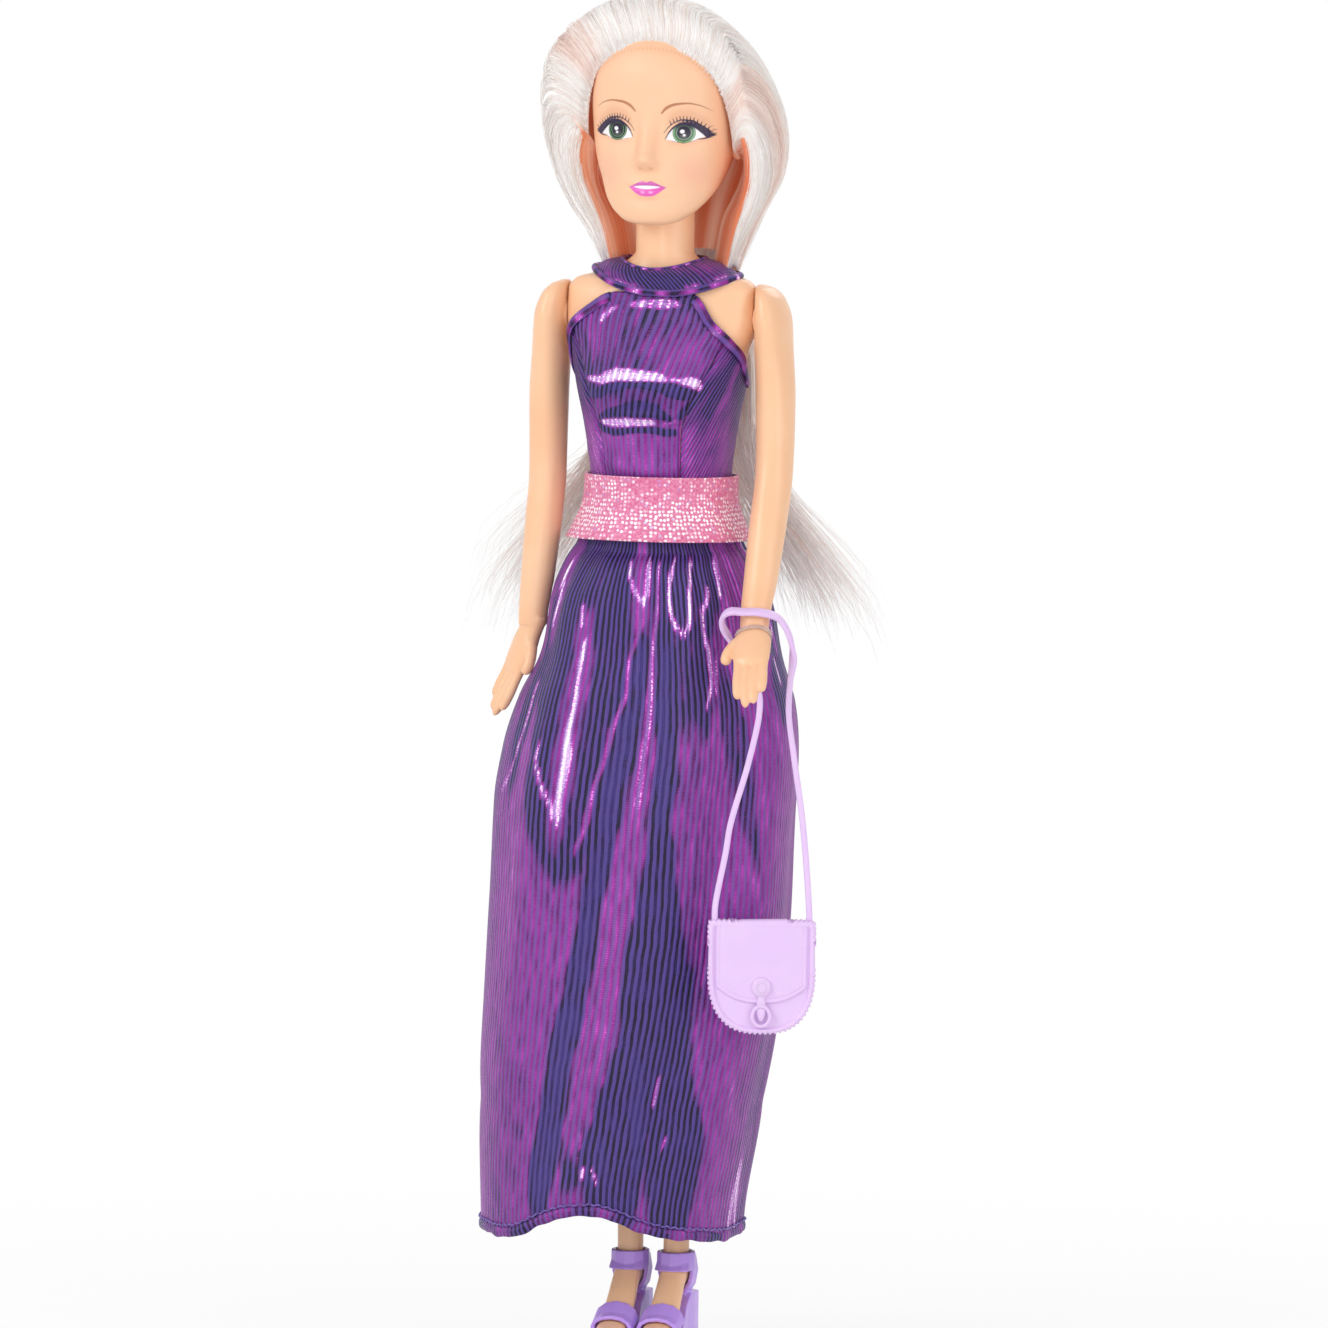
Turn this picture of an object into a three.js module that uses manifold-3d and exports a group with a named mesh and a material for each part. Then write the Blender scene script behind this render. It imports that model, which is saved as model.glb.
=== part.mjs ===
// A jointed fashion doll, 29 cm tall, in a ribbed metallic evening dress with a hand bag.
// Lengths are in millimetres. The soles rest on Z = 0, the doll looks along -Y, and its left
// hand is on the +X side. A value whose name ends in share or shares is a part of another size.
import * as THREE from 'three';
import { mergeVertices } from 'three/addons/utils/BufferGeometryUtils.js';
import Module from 'manifold-3d';

// Clearances, walls and cloth
const gap = 0.3;
const bodyWall = 1.6;
const headWall = 2;
const clothGap = 0.5;
const clothThickness = 0.6;
const sashThickness = 0.8;
const cutOverrun = 4;

// Body levels: the hip axis above the soles, the waist above the hip axis, and each lift above the
// level before it
const hipLevel = 152;
const waistRise = 32;
const underBustLift = 15;
const bustLift = 9;
const shoulderLift = 14;
const shoulderTopLift = 8;
const neckBaseLift = 6;
const neckLength = 16;
const neckInsertion = 9.4;
const underBustRise = waistRise + underBustLift;
const bustRise = underBustRise + bustLift;
const shoulderRise = bustRise + shoulderLift;
const shoulderTopRise = shoulderRise + shoulderTopLift;
const neckBaseRise = shoulderTopRise + neckBaseLift;
const neckTopRise = neckBaseRise + neckLength;
const chinRise = neckTopRise - neckInsertion;

// Body girths, as half widths and as depths in front of and behind the middle plane
const pelvisHalfWidth = 18.8;
const pelvisFront = 10.4;
const pelvisBack = 12.2;
const waistHalfWidth = 14;
const waistFront = 9.6;
const waistBack = 7.8;
const underBustHalfWidth = 15.6;
const underBustFront = 11.2;
const bustHalfWidth = 17.2;
const bustFront = 13.4;
const chestBack = 8.6;
const shoulderHalfWidth = 20.5;
const shoulderFront = 8.6;
const neckRadius = 6.2;
const neckSetBack = 1;

// Head and its neck knob
const headHeight = 44.4;
const headHalfWidth = 15.5;
const headFront = 14.2;
const headBack = 18;
const headSocketDepth = 9.6;
const headFloor = 3.6;
const knobStemRadius = 4;
const knobCapRadius = 6.4;
const knobCapHeight = 3;
const noseReach = 2.3;
const faceRelief = 1;

// Hair
const hairLift = 3;
const hairHalfWidth = 26.4;
const hairFront = 10.5;
const hairBack = 24;
const hairCrownDrop = 5.2;
const hairFallLength = 84;
const hairFallHalfWidth = 26;
const hairFlareHalfWidth = 42.4;
const hairThickness = 6;

// Arms
const armHalfWidth = 4.2;
const shoulderRadius = 7.4;
const upperArmDepth = 5.4;
const forearmDepth = 4.3;
const wristHalfWidth = 3.1;
const upperArmLength = 34;
const leftForearmDrop = 30;
const rightForearmDrop = 32.2;
const handLength = 21.4;
const handHalfWidth = 4.1;
const handHalfThickness = 1.9;
const fingerRadius = 1;
const thumbRadius = 1.35;
const pegRadius = 3;
const pegFlangeRadius = 4.6;
const pegFlangeThickness = 1.6;
const elbowReach = 4.6;
const wristReach = 17.4;
const elbowSpread = 1.2;
const rightWristSpread = 2.2;
const rightWristReach = 3.6;
const rightHandSpread = 9.1;
const leftHandShift = 3.4;
const leftHandReach = 16.4;

// Hips and legs
const thighRadius = 8.8;
const hipHalfSpan = 10.2;
const hipHalfWidth = 8.4;
const hipBarRadius = 2;
const hipBarHalfLength = 15.6;
const hipFinHalfWidth = 1.5;
const hipFinRadius = 5;
const kneeHalfWidth = 6;
const kneeHalfSpan = 7.9;
const ankleHalfWidth = 2.8;
const ankleHalfSpan = 5.1;
const ankleLevel = 25;
const footLength = 24;
const footHalfWidth = 3.5;
const footHeelBack = 6.6;
const footArchLevel = 18.4;
const toeLevel = 6.9;
const toeHalfHeight = 1.6;

// Shoes
const platformHeight = 5;
const heelHeight = 13.2;
const heelFront = 1.8;
const shoeGap = 0.45;
const shoeWall = 0.9;
const shoeMargin = 0.5;
const ankleStrapLevel = 20.5;
const ankleStrapWidth = 4;
const toeStrapWidth = 4.6;
const toeStrapReach = 11.6;
const sideStrapWidth = 4.4;

// Dress
const bodiceNeckDrop = 2.7;
const bodiceUnderarmLift = 1;
const waistSeamDrop = 1.2;
const collarHeight = 3.8;
const collarTopHalfWidth = 8.3;
const collarHalfWidth = 15.7;
const collarFrontDrop = 9.2;
const sashTopLift = 4.6;
const sashBottomDrop = 9;
const sashFlare = 0.8;
const fastenerWidth = 6;
const fastenerThickness = 0.4;
const skirtLength = 156;
const skirtThickness = 0.6;
const skirtHalfWidth = 33.2;
const skirtFront = 24;
const skirtBack = 15.4;
const hemHalfWidth = 28.2;
const hemFront = 29.2;
const hemBack = 16.4;
const hemShift = 8.7;
const foldDepth = 1.7;
const handDent = 2.2;

// Hand bag, whose face is turned towards +X by bagTurnDegrees
const bagWidth = 23;
const bagHeight = 24.4;
const bagThickness = 4;
const bagRimWidth = 1;
const bagRimRelief = 0.5;
const bagFlapDrop = 15.6;
const bagFlapRelief = 0.5;
const claspRadius = 1.7;
const claspRelief = 0.9;
const strapDrop = 64.9;
const strapWidth = 2.2;
const strapThickness = 1.3;
const bagOut = 22.2;
const bagReach = 28.1;
const wristBandRadius = 0.3;
const bagTurnDegrees = 17;

// Facets and degrees
const rightHandDegrees = 42;
const bodySides = 24;
const headSides = 24;
const limbSides = 12;
const fingerSides = 5;
const boreSides = 18;
const skirtSides = 44;
const strapSteps = 64;
const princessDegrees = 39;
const sideSeamDegrees = 112;
const backSeamDegrees = 179.8;

const wasm = await Module();
wasm.setup();

// Closed bodies from rows of points

function closedBody(faces) {
  let volume = 0;
  for (const [a, b, c] of faces) volume += a.dot(new THREE.Vector3().crossVectors(b, c));
  const ordered = volume < 0 ? faces.map(([a, b, c]) => [a, c, b]) : faces;
  const geometry = new THREE.BufferGeometry();
  const positions = ordered.flat().flatMap((point) => point.toArray());
  geometry.setAttribute('position', new THREE.Float32BufferAttribute(positions, 3));
  return geometry;
}

function addBand(faces, lower, upper, closed) {
  const count = lower.length;
  for (let j = 0; j < (closed ? count : count - 1); j += 1) {
    const k = (j + 1) % count;
    faces.push([lower[j], lower[k], upper[k]], [lower[j], upper[k], upper[j]]);
  }
}

function addFan(faces, ring, facingDown) {
  const centre = new THREE.Vector3();
  for (const point of ring) centre.addScaledVector(point, 1 / ring.length);
  for (let j = 0; j < ring.length; j += 1) {
    const next = ring[(j + 1) % ring.length];
    faces.push(facingDown ? [centre, next, ring[j]] : [centre, ring[j], next]);
  }
}

// A solid through closed rings, with a fan at each end.
function loft(rings) {
  const faces = [];
  for (let i = 0; i < rings.length - 1; i += 1) addBand(faces, rings[i], rings[i + 1], true);
  addFan(faces, rings[0], true);
  addFan(faces, rings.at(-1), false);
  return closedBody(faces);
}

// A sleeve open at both ends, between an outer and an inner set of closed rings.
function sleeve(outer, inner) {
  const rows = [...outer, ...[...inner].reverse()];
  const faces = [];
  rows.forEach((row, i) => addBand(faces, row, rows[(i + 1) % rows.length], true));
  return closedBody(faces);
}

// A curved sheet with four edges, between an outer and an inner grid of points.
function sheet(outer, inner) {
  const rings = outer.map((row, i) => [...row, ...[...inner[i]].reverse()]);
  const faces = [];
  for (let i = 0; i < rings.length - 1; i += 1) addBand(faces, rings[i], rings[i + 1], true);
  addBand(faces, inner[0], outer[0], false);
  addBand(faces, outer.at(-1), inner.at(-1), false);
  return closedBody(faces);
}

function toSolid(geometry) {
  const bare = geometry.clone();
  bare.deleteAttribute('normal');
  bare.deleteAttribute('uv');
  const merged = mergeVertices(bare);
  const vertProperties = new Float32Array(merged.attributes.position.array);
  const triVerts = new Uint32Array(merged.index.array);
  return new wasm.Manifold(new wasm.Mesh({ numProp: 3, vertProperties, triVerts }));
}

function toGeometry(solid) {
  const mesh = solid.getMesh();
  const geometry = new THREE.BufferGeometry();
  geometry.setAttribute('position', new THREE.BufferAttribute(mesh.vertProperties, 3));
  geometry.setIndex(new THREE.BufferAttribute(mesh.triVerts, 1));
  return geometry;
}

function box(low, high) {
  const size = high.map((value, i) => value - low[i]);
  const shape = new THREE.BoxGeometry(...size);
  return toSolid(shape.translate(...high.map((value, i) => (value + low[i]) / 2)));
}

// A round bar along X, from one end to the other, at a place in Y and Z.
function crossBar(radius, from, to, y, z, sides = boreSides) {
  const bar = new THREE.CylinderGeometry(radius, radius, to - from, sides);
  return toSolid(bar.rotateZ(Math.PI / 2).translate((from + to) / 2, y, z));
}

// A turned piece about an upright axis at a place in Y, from rows of radius and level.
function turned(profile, y, sides = boreSides) {
  const points = profile.map(([radius, level]) => new THREE.Vector2(radius, level));
  return toSolid(new THREE.LatheGeometry(points, sides).rotateX(Math.PI / 2).translate(0, y, 0));
}

// The radius of a faceted bore whose flats clear a round bar by the gap.
function fitted(radius, sides = boreSides) {
  return (radius + gap) / Math.cos(Math.PI / sides);
}

function extruded(outline, depth) {
  return new THREE.ExtrudeGeometry(outline, { depth, bevelEnabled: false });
}

// Sections and station tables

// A smooth value between the rows of a table, with no overshoot. The first column is the place.
function stationAt(stations, place) {
  const last = stations.length - 1;
  let i = 0;
  while (i < last - 1 && place > stations[i + 1][0]) i += 1;
  const step = stations[i + 1][0] - stations[i][0];
  const t = THREE.MathUtils.clamp((place - stations[i][0]) / step, 0, 1);
  const slope = (k, column) => {
    if (k < 1 || k >= last) return 0;
    const rise = (stations[k][column] - stations[k - 1][column]) / (stations[k][0] - stations[k - 1][0]);
    const next = (stations[k + 1][column] - stations[k][column]) / (stations[k + 1][0] - stations[k][0]);
    return rise * next <= 0 ? 0 : (2 * rise * next) / (rise + next);
  };
  return stations[i].map((start, column) => {
    const end = stations[i + 1][column];
    const out = slope(i, column) * step;
    const into = slope(i + 1, column) * step;
    return start * (1 + 2 * t) * (1 - t) ** 2 + out * t * (1 - t) ** 2
      + end * t * t * (3 - 2 * t) + into * t * t * (t - 1);
  });
}

// A point of an oval section. Angle 0 is +X, a quarter turn is +Y, and the front is -Y.
function sectionPoint(section, angle) {
  const power = section.power ?? 2;
  const reach = (value, size) => Math.sign(value) * size * Math.abs(value) ** (2 / power);
  const depth = Math.sin(angle) < 0 ? section.front : section.back;
  const x = (section.x ?? 0) + reach(Math.cos(angle), section.wide);
  return new THREE.Vector3(x, (section.y ?? 0) + reach(Math.sin(angle), depth), section.z);
}

function sectionRing(section, sides) {
  return Array.from({ length: sides }, (_, i) => sectionPoint(section, (2 * Math.PI * i) / sides));
}

function grown(section, offset) {
  return {
    ...section,
    wide: section.wide + offset,
    front: section.front + offset,
    back: section.back + offset,
  };
}

function spaced(from, to, count) {
  return Array.from({ length: count }, (_, i) => from + ((to - from) * i) / (count - 1));
}

// Torso

const torsoStations = [
  [-hipFinRadius, pelvisHalfWidth, pelvisFront, pelvisBack, 0],
  [0, pelvisHalfWidth, pelvisFront, pelvisBack, 0],
  [thighRadius, pelvisHalfWidth, pelvisFront, pelvisBack, 0],
  [waistRise * 0.72, (pelvisHalfWidth + waistHalfWidth) / 2, pelvisFront, (pelvisBack + waistBack) / 2, 0],
  [waistRise, waistHalfWidth, waistFront, waistBack, 0],
  [underBustRise, underBustHalfWidth, underBustFront, waistBack, 0],
  [bustRise, bustHalfWidth, bustFront, chestBack, 0],
  [(bustRise + shoulderRise) / 2, (bustHalfWidth + shoulderHalfWidth) / 2, bustFront * 0.84,
    chestBack, 0],
  [shoulderRise, shoulderHalfWidth * 1.03, shoulderFront, chestBack, 0],
  [shoulderTopRise * 0.97, shoulderHalfWidth * 1.02, shoulderFront * 0.86, chestBack * 0.94, 0],
  [shoulderTopRise, shoulderHalfWidth * 0.93, shoulderFront * 0.74, chestBack * 0.8, 0],
  [shoulderTopRise * 1.016, shoulderHalfWidth * 0.72, shoulderFront * 0.7, chestBack * 0.76,
    neckSetBack / 2],
  [shoulderTopRise * 1.045, neckRadius * 1.4, neckRadius, neckRadius * 1.06, neckSetBack],
  [neckBaseRise, neckRadius, neckRadius, neckRadius, neckSetBack],
  [neckTopRise, neckRadius, neckRadius, neckRadius, neckSetBack],
];

function torsoSection(rise, offset = 0) {
  const [, wide, front, back, y] = stationAt(torsoStations, rise);
  const power = rise < shoulderTopRise * 1.03 ? 2.2 : 2;
  return grown({ y, z: hipLevel + rise, wide, front, back, power }, offset);
}

const torsoRises = [
  ...spaced(-hipFinRadius, waistRise, 7),
  ...spaced(waistRise, bustRise, 6).slice(1),
  ...spaced(bustRise, shoulderRise, 5).slice(1),
  shoulderTopRise * 0.97,
  shoulderTopRise * 0.99,
  shoulderTopRise,
  shoulderTopRise * 1.016,
  shoulderTopRise * 1.03,
  shoulderTopRise * 1.045,
  neckBaseRise,
  neckTopRise,
];
const cavityRises = [
  thighRadius + gap + bodyWall,
  ...spaced(waistRise * 0.6, shoulderRise, 7),
  shoulderTopRise * 0.97,
];
const shoulderLevel = hipLevel + shoulderRise;
const leftWristLevel = shoulderLevel - upperArmLength - leftForearmDrop;
const rightWristLevel = shoulderLevel - upperArmLength - rightForearmDrop;
const neckTopLevel = hipLevel + neckTopRise;
const flangeSeat = shoulderHalfWidth - bodyWall - gap;
const sweepRadius = thighRadius + 2 * gap;

function knobProfile(radiusExtra, lengthExtra) {
  const capLevel = neckTopLevel + gap + headFloor + gap;
  const flangeLevel = hipLevel + shoulderTopRise * 0.97 - bodyWall;
  return [
    [0, flangeLevel - bodyWall - lengthExtra],
    [knobStemRadius + bodyWall + radiusExtra, flangeLevel - bodyWall - lengthExtra],
    [knobStemRadius + bodyWall + radiusExtra, flangeLevel + lengthExtra],
    [knobStemRadius + radiusExtra, flangeLevel + lengthExtra],
    [knobStemRadius + radiusExtra, capLevel - lengthExtra],
    [knobCapRadius + radiusExtra, capLevel - lengthExtra],
    [knobStemRadius + radiusExtra, capLevel + knobCapHeight + lengthExtra],
    [0, capLevel + knobCapHeight + lengthExtra],
  ];
}

function torsoSolid() {
  const far = pelvisHalfWidth + shoulderHalfWidth;
  const top = neckTopLevel + cutOverrun;
  const rings = torsoRises.map((rise) => sectionRing(torsoSection(rise), bodySides));
  const cavity = cavityRises.map((rise) => sectionRing(torsoSection(rise, -bodyWall), limbSides + 4));
  let solid = toSolid(loft(rings)).subtract(toSolid(loft(cavity)));
  solid = solid.intersect(box([-shoulderHalfWidth, -far, 0], [shoulderHalfWidth, far, top]));
  for (const side of [-1, 1]) {
    const ends = [side * hipFinHalfWidth, side * far].sort((a, b) => a - b);
    solid = solid.subtract(crossBar(sweepRadius, ends[0], ends[1], 0, hipLevel, limbSides));
    solid = solid.subtract(box([ends[0], -far, 0], [ends[1], 0, hipLevel + sweepRadius]));
    solid = solid.subtract(box([ends[0], -far, 0], [ends[1], far, hipLevel]));
    const bore = [side * (flangeSeat - cutOverrun), side * far].sort((a, b) => a - b);
    solid = solid.subtract(crossBar(fitted(pegRadius), bore[0], bore[1], 0, shoulderLevel));
    const pocket = [side * (flangeSeat - pegFlangeThickness - cutOverrun), side * (flangeSeat + gap)]
      .sort((a, b) => a - b);
    solid = solid.subtract(crossBar(fitted(pegFlangeRadius), pocket[0], pocket[1], 0, shoulderLevel));
  }
  const fin = crossBar(hipFinRadius, -hipFinHalfWidth, hipFinHalfWidth, 0, hipLevel);
  const neck = box([-far, -far, 0], [far, far, hipLevel - hipFinRadius]);
  solid = solid.subtract(neck).add(fin);
  solid = solid.subtract(crossBar(fitted(hipBarRadius), -far, far, 0, hipLevel));
  return solid.subtract(turned(knobProfile(fitted(0), gap), neckSetBack));
}

function torsoHalf(side) {
  const far = pelvisHalfWidth + shoulderHalfWidth;
  const low = [-far, side < 0 ? -far : 0, 0];
  const high = [far, side < 0 ? 0 : far, neckTopLevel + cutOverrun];
  return torsoSolid().intersect(box(low, high));
}

// Head, measured from the chin by shares of its height

const chinLevel = hipLevel + chinRise;
const headStationShares = [
  [0, 0.3, 0.84, 0.62, -0.3],
  [0.05, 0.47, 0.895, 0.5, 0.02],
  [0.12, 0.66, 0.92, 0.28, 0.3],
  [0.2, 0.8, 0.93, 0.05, 0.52],
  [0.32, 0.94, 0.92, -0.06, 0.76],
  [0.45, 1, 0.905, -0.1, 0.93],
  [0.58, 1.02, 0.955, -0.1, 1],
  [0.7, 0.99, 1, -0.1, 0.99],
  [0.82, 0.84, 0.88, -0.08, 0.88],
  [0.91, 0.62, 0.62, -0.06, 0.68],
  [0.97, 0.36, 0.34, -0.05, 0.42],
  [1, 0.08, 0.06, -0.04, 0.12],
];
// Face relief: across, up and reach, then the half sizes across and up, as shares.
const faceReliefShares = [
  [0, 0.3, 0.75, 0.09, 0.075],
  [0, 0.265, 0.5, 0.11, 0.03],
  [0, 0.172, 0.3, 0.2, 0.022],
  [0, 0.05, 0.25, 0.2, 0.05],
  [0.43, 0.455, -0.45, 0.22, 0.05],
  [-0.43, 0.455, -0.45, 0.22, 0.05],
];

function headSection(share, offset = 0) {
  const [, wide, front, middle, back] = stationAt(headStationShares, share);
  const y = -middle * headFront;
  const section = {
    y,
    z: chinLevel + share * headHeight + offset * (2 * share - 1),
    wide: wide * headHalfWidth,
    front: front * headFront + y,
    back: back * headBack - y,
    power: 2.2,
  };
  return grown(section, offset);
}

function facePoint(point) {
  if (point.y > 0) return point;
  let reach = 0;
  for (const [across, up, lift, wide, high] of faceReliefShares) {
    const dx = (point.x / headHalfWidth - across) / wide;
    const dz = ((point.z - chinLevel) / headHeight - up) / high;
    const height = across === 0 && up > 0.25 ? noseReach : faceRelief;
    reach += height * lift * Math.exp(-(dx * dx + dz * dz) / 2);
  }
  point.y -= reach;
  return point;
}

const headShares = [0, 0.05, 0.11, 0.17, 0.22, 0.27, 0.32, 0.39, 0.46, 0.56, 0.68, 0.8, 0.9, 0.96, 1];
const headCavityShares = [0.36, 0.48, 0.6, 0.72, 0.82, 0.9];

function headOuter(offset = 0) {
  return toSolid(loft(headShares.map((share) => (
    sectionRing(headSection(share, offset), headSides).map(facePoint)))));
}

function headSolid() {
  const socketTop = neckTopLevel + gap;
  const rows = headCavityShares.map((share) => sectionRing(headSection(share, -headWall), limbSides));
  const floor = socketTop + headFloor;
  const far = headHalfWidth + headBack;
  const cavity = toSolid(loft(rows)).add(turned([
    [0, floor],
    [knobCapRadius + 2 * gap, floor],
    [knobCapRadius + 2 * gap, floor + headSocketDepth],
    [0, floor + headSocketDepth],
  ], neckSetBack)).intersect(box([-far, -far, floor], [far, far, floor + far]));
  const socket = turned([
    [0, chinLevel - cutOverrun],
    [fitted(neckRadius), chinLevel - cutOverrun],
    [fitted(neckRadius), socketTop],
    [fitted(knobStemRadius), socketTop],
    [fitted(knobStemRadius), floor + gap],
    [0, floor + gap],
  ], neckSetBack);
  return headOuter().subtract(cavity).subtract(socket);
}

// Hair: a rooted cap round the head, and the long fall behind the back

const crownLevel = chinLevel + headHeight + hairLift;
const hairBottom = chinLevel - hairCrownDrop;
const hairStationShares = [
  [0, 0.56, -0.2, 0.62],
  [0.08, 0.68, 0.1, 0.74],
  [0.2, 0.84, 0.4, 0.86],
  [0.34, 0.96, 0.6, 0.95],
  [0.5, 1, 0.8, 1],
  [0.62, 0.98, 0.95, 0.99],
  [0.74, 0.9, 1, 0.92],
  [0.85, 0.75, 0.95, 0.78],
  [0.94, 0.5, 0.7, 0.54],
  [0.985, 0.26, 0.35, 0.28],
  [1, 0.06, 0.08, 0.06],
];
const hairShares = [0, 0.08, 0.18, 0.28, 0.4, 0.52, 0.64, 0.76, 0.86, 0.93, 0.98, 1];

function hairCrownSolid() {
  const rows = hairShares.map((share) => {
    const [, wide, front, back] = stationAt(hairStationShares, share);
    return sectionRing({
      y: neckSetBack,
      z: hairBottom + share * (crownLevel - hairBottom),
      wide: wide * hairHalfWidth,
      front: front * hairFront + neckSetBack,
      back: back * hairBack,
      power: 2.2,
    }, bodySides);
  });
  const hairline = chinLevel + headHeight * 0.86;
  const far = hairBack + hairHalfWidth;
  const face = box([-headHalfWidth, -far, 0], [headHalfWidth, -headFront * 0.3, hairline]);
  const nape = turned([
    [0, 0],
    [neckRadius * 1.6, 0],
    [neckRadius * 1.6, chinLevel + headHeight * 0.2],
    [0, chinLevel + headHeight * 0.2],
  ], neckSetBack);
  const throat = box([-neckRadius * 1.6, -far, 0], [neckRadius * 1.6, 0, chinLevel + headHeight * 0.2]);
  return toSolid(loft(rows)).subtract(headOuter(gap)).subtract(face).subtract(nape).subtract(throat);
}

// The fall: place down its length, half width, set back behind the torso, thickness, as shares.
const hairFallShares = [
  [0, 0.5, 0.5, 0.9],
  [0.08, 0.6, 0.42, 1],
  [0.2, 0.72, 0.36, 1],
  [0.45, 0.62, 0.3, 0.9],
  [0.66, 0.66, 0.5, 0.8],
  [0.8, 0.95, 0.9, 0.8],
  [0.9, 1.38, 1.6, 0.9],
  [0.96, 1.58, 2.35, 0.9],
  [1, 1.2, 2.6, 0.5],
];
const hairFallRowShares = [0, 0.08, 0.2, 0.32, 0.45, 0.56, 0.66, 0.74, 0.8, 0.86, 0.91, 0.96, 1];

function hairFallGeometry() {
  const top = hairBottom - gap;
  const nearest = chestBack + clothGap + clothThickness + 2 * (fastenerThickness + gap) + gap;
  const rows = hairFallRowShares.map((share) => {
    const [, wide, set, thick] = stationAt(hairFallShares, share);
    const half = (thick * hairThickness) / 2;
    const middle = nearest + set * hairThickness + half;
    const reach = wide <= 1 ? wide * hairFallHalfWidth
      : hairFallHalfWidth + ((wide - 1) / 0.58) * (hairFlareHalfWidth - hairFallHalfWidth);
    return sectionRing({
      y: middle,
      z: top - share * hairFallLength,
      wide: reach,
      front: half,
      back: half,
      power: 2.6,
    }, limbSides + 4);
  });
  return loft(rows);
}

// Skirt: a sewn tube with its gathers and main folds, hung a little to the doll's right

const skirtTop = hipLevel + waistRise - waistSeamDrop;
const skirtStationShares = [
  [0, 0, 0, 0, 0],
  [0.055, 0.52, 0.4, 0.4, 0],
  [0.09, 0.64, 0.62, 0.86, 0],
  [0.135, 0.74, 0.7, 0.94, 0],
  [0.21, 0.82, 0.77, 0.98, 0],
  [0.27, 0.92, 0.85, 1, 0.01],
  [0.34, 0.98, 0.91, 1, 0.1],
  [0.41, 1, 0.96, 1, 0.22],
  [0.55, 1, 1, 1, 0.335],
  [0.68, 0.98, 1.05, 1.01, 0.53],
  [0.82, 0.92, 1.13, 1.03, 0.79],
  [1, 0, 0, 0, 1],
];
// A fold: degrees at the waist and at the hem, depth and half width, and where it is deepest.
const foldShares = [
  [-118, -132, 1, 12, 0.3],
  [-84, -104, -0.9, 9, 0.5],
  [-66, -86, 0.9, 10, 0.5],
  [-44, -62, -0.9, 9, 0.55],
  [-20, -38, 0.7, 11, 0.5],
  [12, -4, -0.7, 12, 0.6],
  [40, 30, 0.8, 12, 0.6],
  [74, 66, -0.8, 12, 0.5],
  [106, 104, 0.8, 12, 0.6],
  [140, 138, -0.7, 12, 0.5],
  [176, 172, 0.5, 12, 0.7],
];

function foldReach(degrees, share) {
  let reach = 0;
  for (const [waist, hem, depth, wide, deepest] of foldShares) {
    const turn = ((degrees - (waist + (hem - waist) * share) + 540) % 360) - 180;
    const along = Math.exp(-(((share - deepest) / 0.42) ** 2));
    reach += foldDepth * depth * along * Math.exp(-((turn / wide) ** 2));
  }
  return reach * THREE.MathUtils.clamp((share - 0.05) / 0.07, 0, 1);
}

// The dent where the right hand hangs against the skirt.
function handPress(degrees, share) {
  const middle = (skirtTop - rightWristLevel + handLength * 0.1) / skirtLength;
  const turn = (degrees + 360) % 360 - 188;
  return handDent * Math.exp(-((turn / 20) ** 2) - ((share - middle) / 0.07) ** 2);
}

function skirtSection(share) {
  const row = stationAt(skirtStationShares, share);
  const waist = torsoSection(waistRise - waistSeamDrop - share * skirtLength, clothGap + skirtThickness);
  const full = [row[1] * skirtHalfWidth, row[2] * skirtFront, row[3] * skirtBack];
  const hem = [hemHalfWidth, hemFront, hemBack];
  const last = 0.82;
  const blend = share <= last ? 0 : THREE.MathUtils.smoothstep(share, last, 1);
  const size = full.map((value, i) => {
    const held = skirtStationShares.at(-2)[i + 1] * [skirtHalfWidth, skirtFront, skirtBack][i];
    return share <= last ? value : held + (hem[i] - held) * blend;
  });
  const hips = [waist.wide, waist.front, waist.back];
  const [wide, front, back] = size.map((value, i) => (
    share < 0.3 ? Math.max(value, hips[i]) : value));
  return { x: -row[4] * hemShift, z: skirtTop - share * skirtLength, wide, front, back, power: 2.15 };
}

function skirtRing(share, offset, sides = skirtSides) {
  const section = skirtSection(share);
  return Array.from({ length: sides }, (_, i) => {
    const angle = (2 * Math.PI * i) / sides;
    const degrees = (angle * 180) / Math.PI;
    const reach = foldReach(degrees, share) - handPress(degrees, share);
    return sectionPoint(grown(section, offset + reach), angle);
  });
}

const skirtShares = [0, 0.05, 0.09, 0.14, 0.2, 0.27, 0.36, 0.46, 0.58, 0.7, 0.82, 0.91, 1];

function skirtGeometry() {
  const outer = skirtShares.map((share) => skirtRing(share, 0));
  const inner = skirtShares.map((share) => skirtRing(share, -skirtThickness));
  return sleeve(outer, inner);
}

// Bodice panels, collar and sash, laid over the torso

const bodiceNeckRise = shoulderTopRise - bodiceNeckDrop;
const bodiceUnderarmRise = bustRise + bodiceUnderarmLift;
const sashTopRise = waistRise + sashTopLift;
const sashBottomRise = waistRise - sashBottomDrop;

// The top edge of the bodice, by degrees round from the front and a share of the armhole's depth.
const bodiceTopShares = [
  [0, 1],
  [24, 1],
  [40, 0.87],
  [55, 0.75],
  [68, 0.62],
  [80, 0.36],
  [92, 0.1],
  [105, 0],
  [140, 0.1],
  [180, 0.16],
];

function bodiceTop(degrees) {
  const [, share] = stationAt(bodiceTopShares, Math.abs(degrees));
  return bodiceUnderarmRise + share * (bodiceNeckRise - bodiceUnderarmRise);
}

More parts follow.
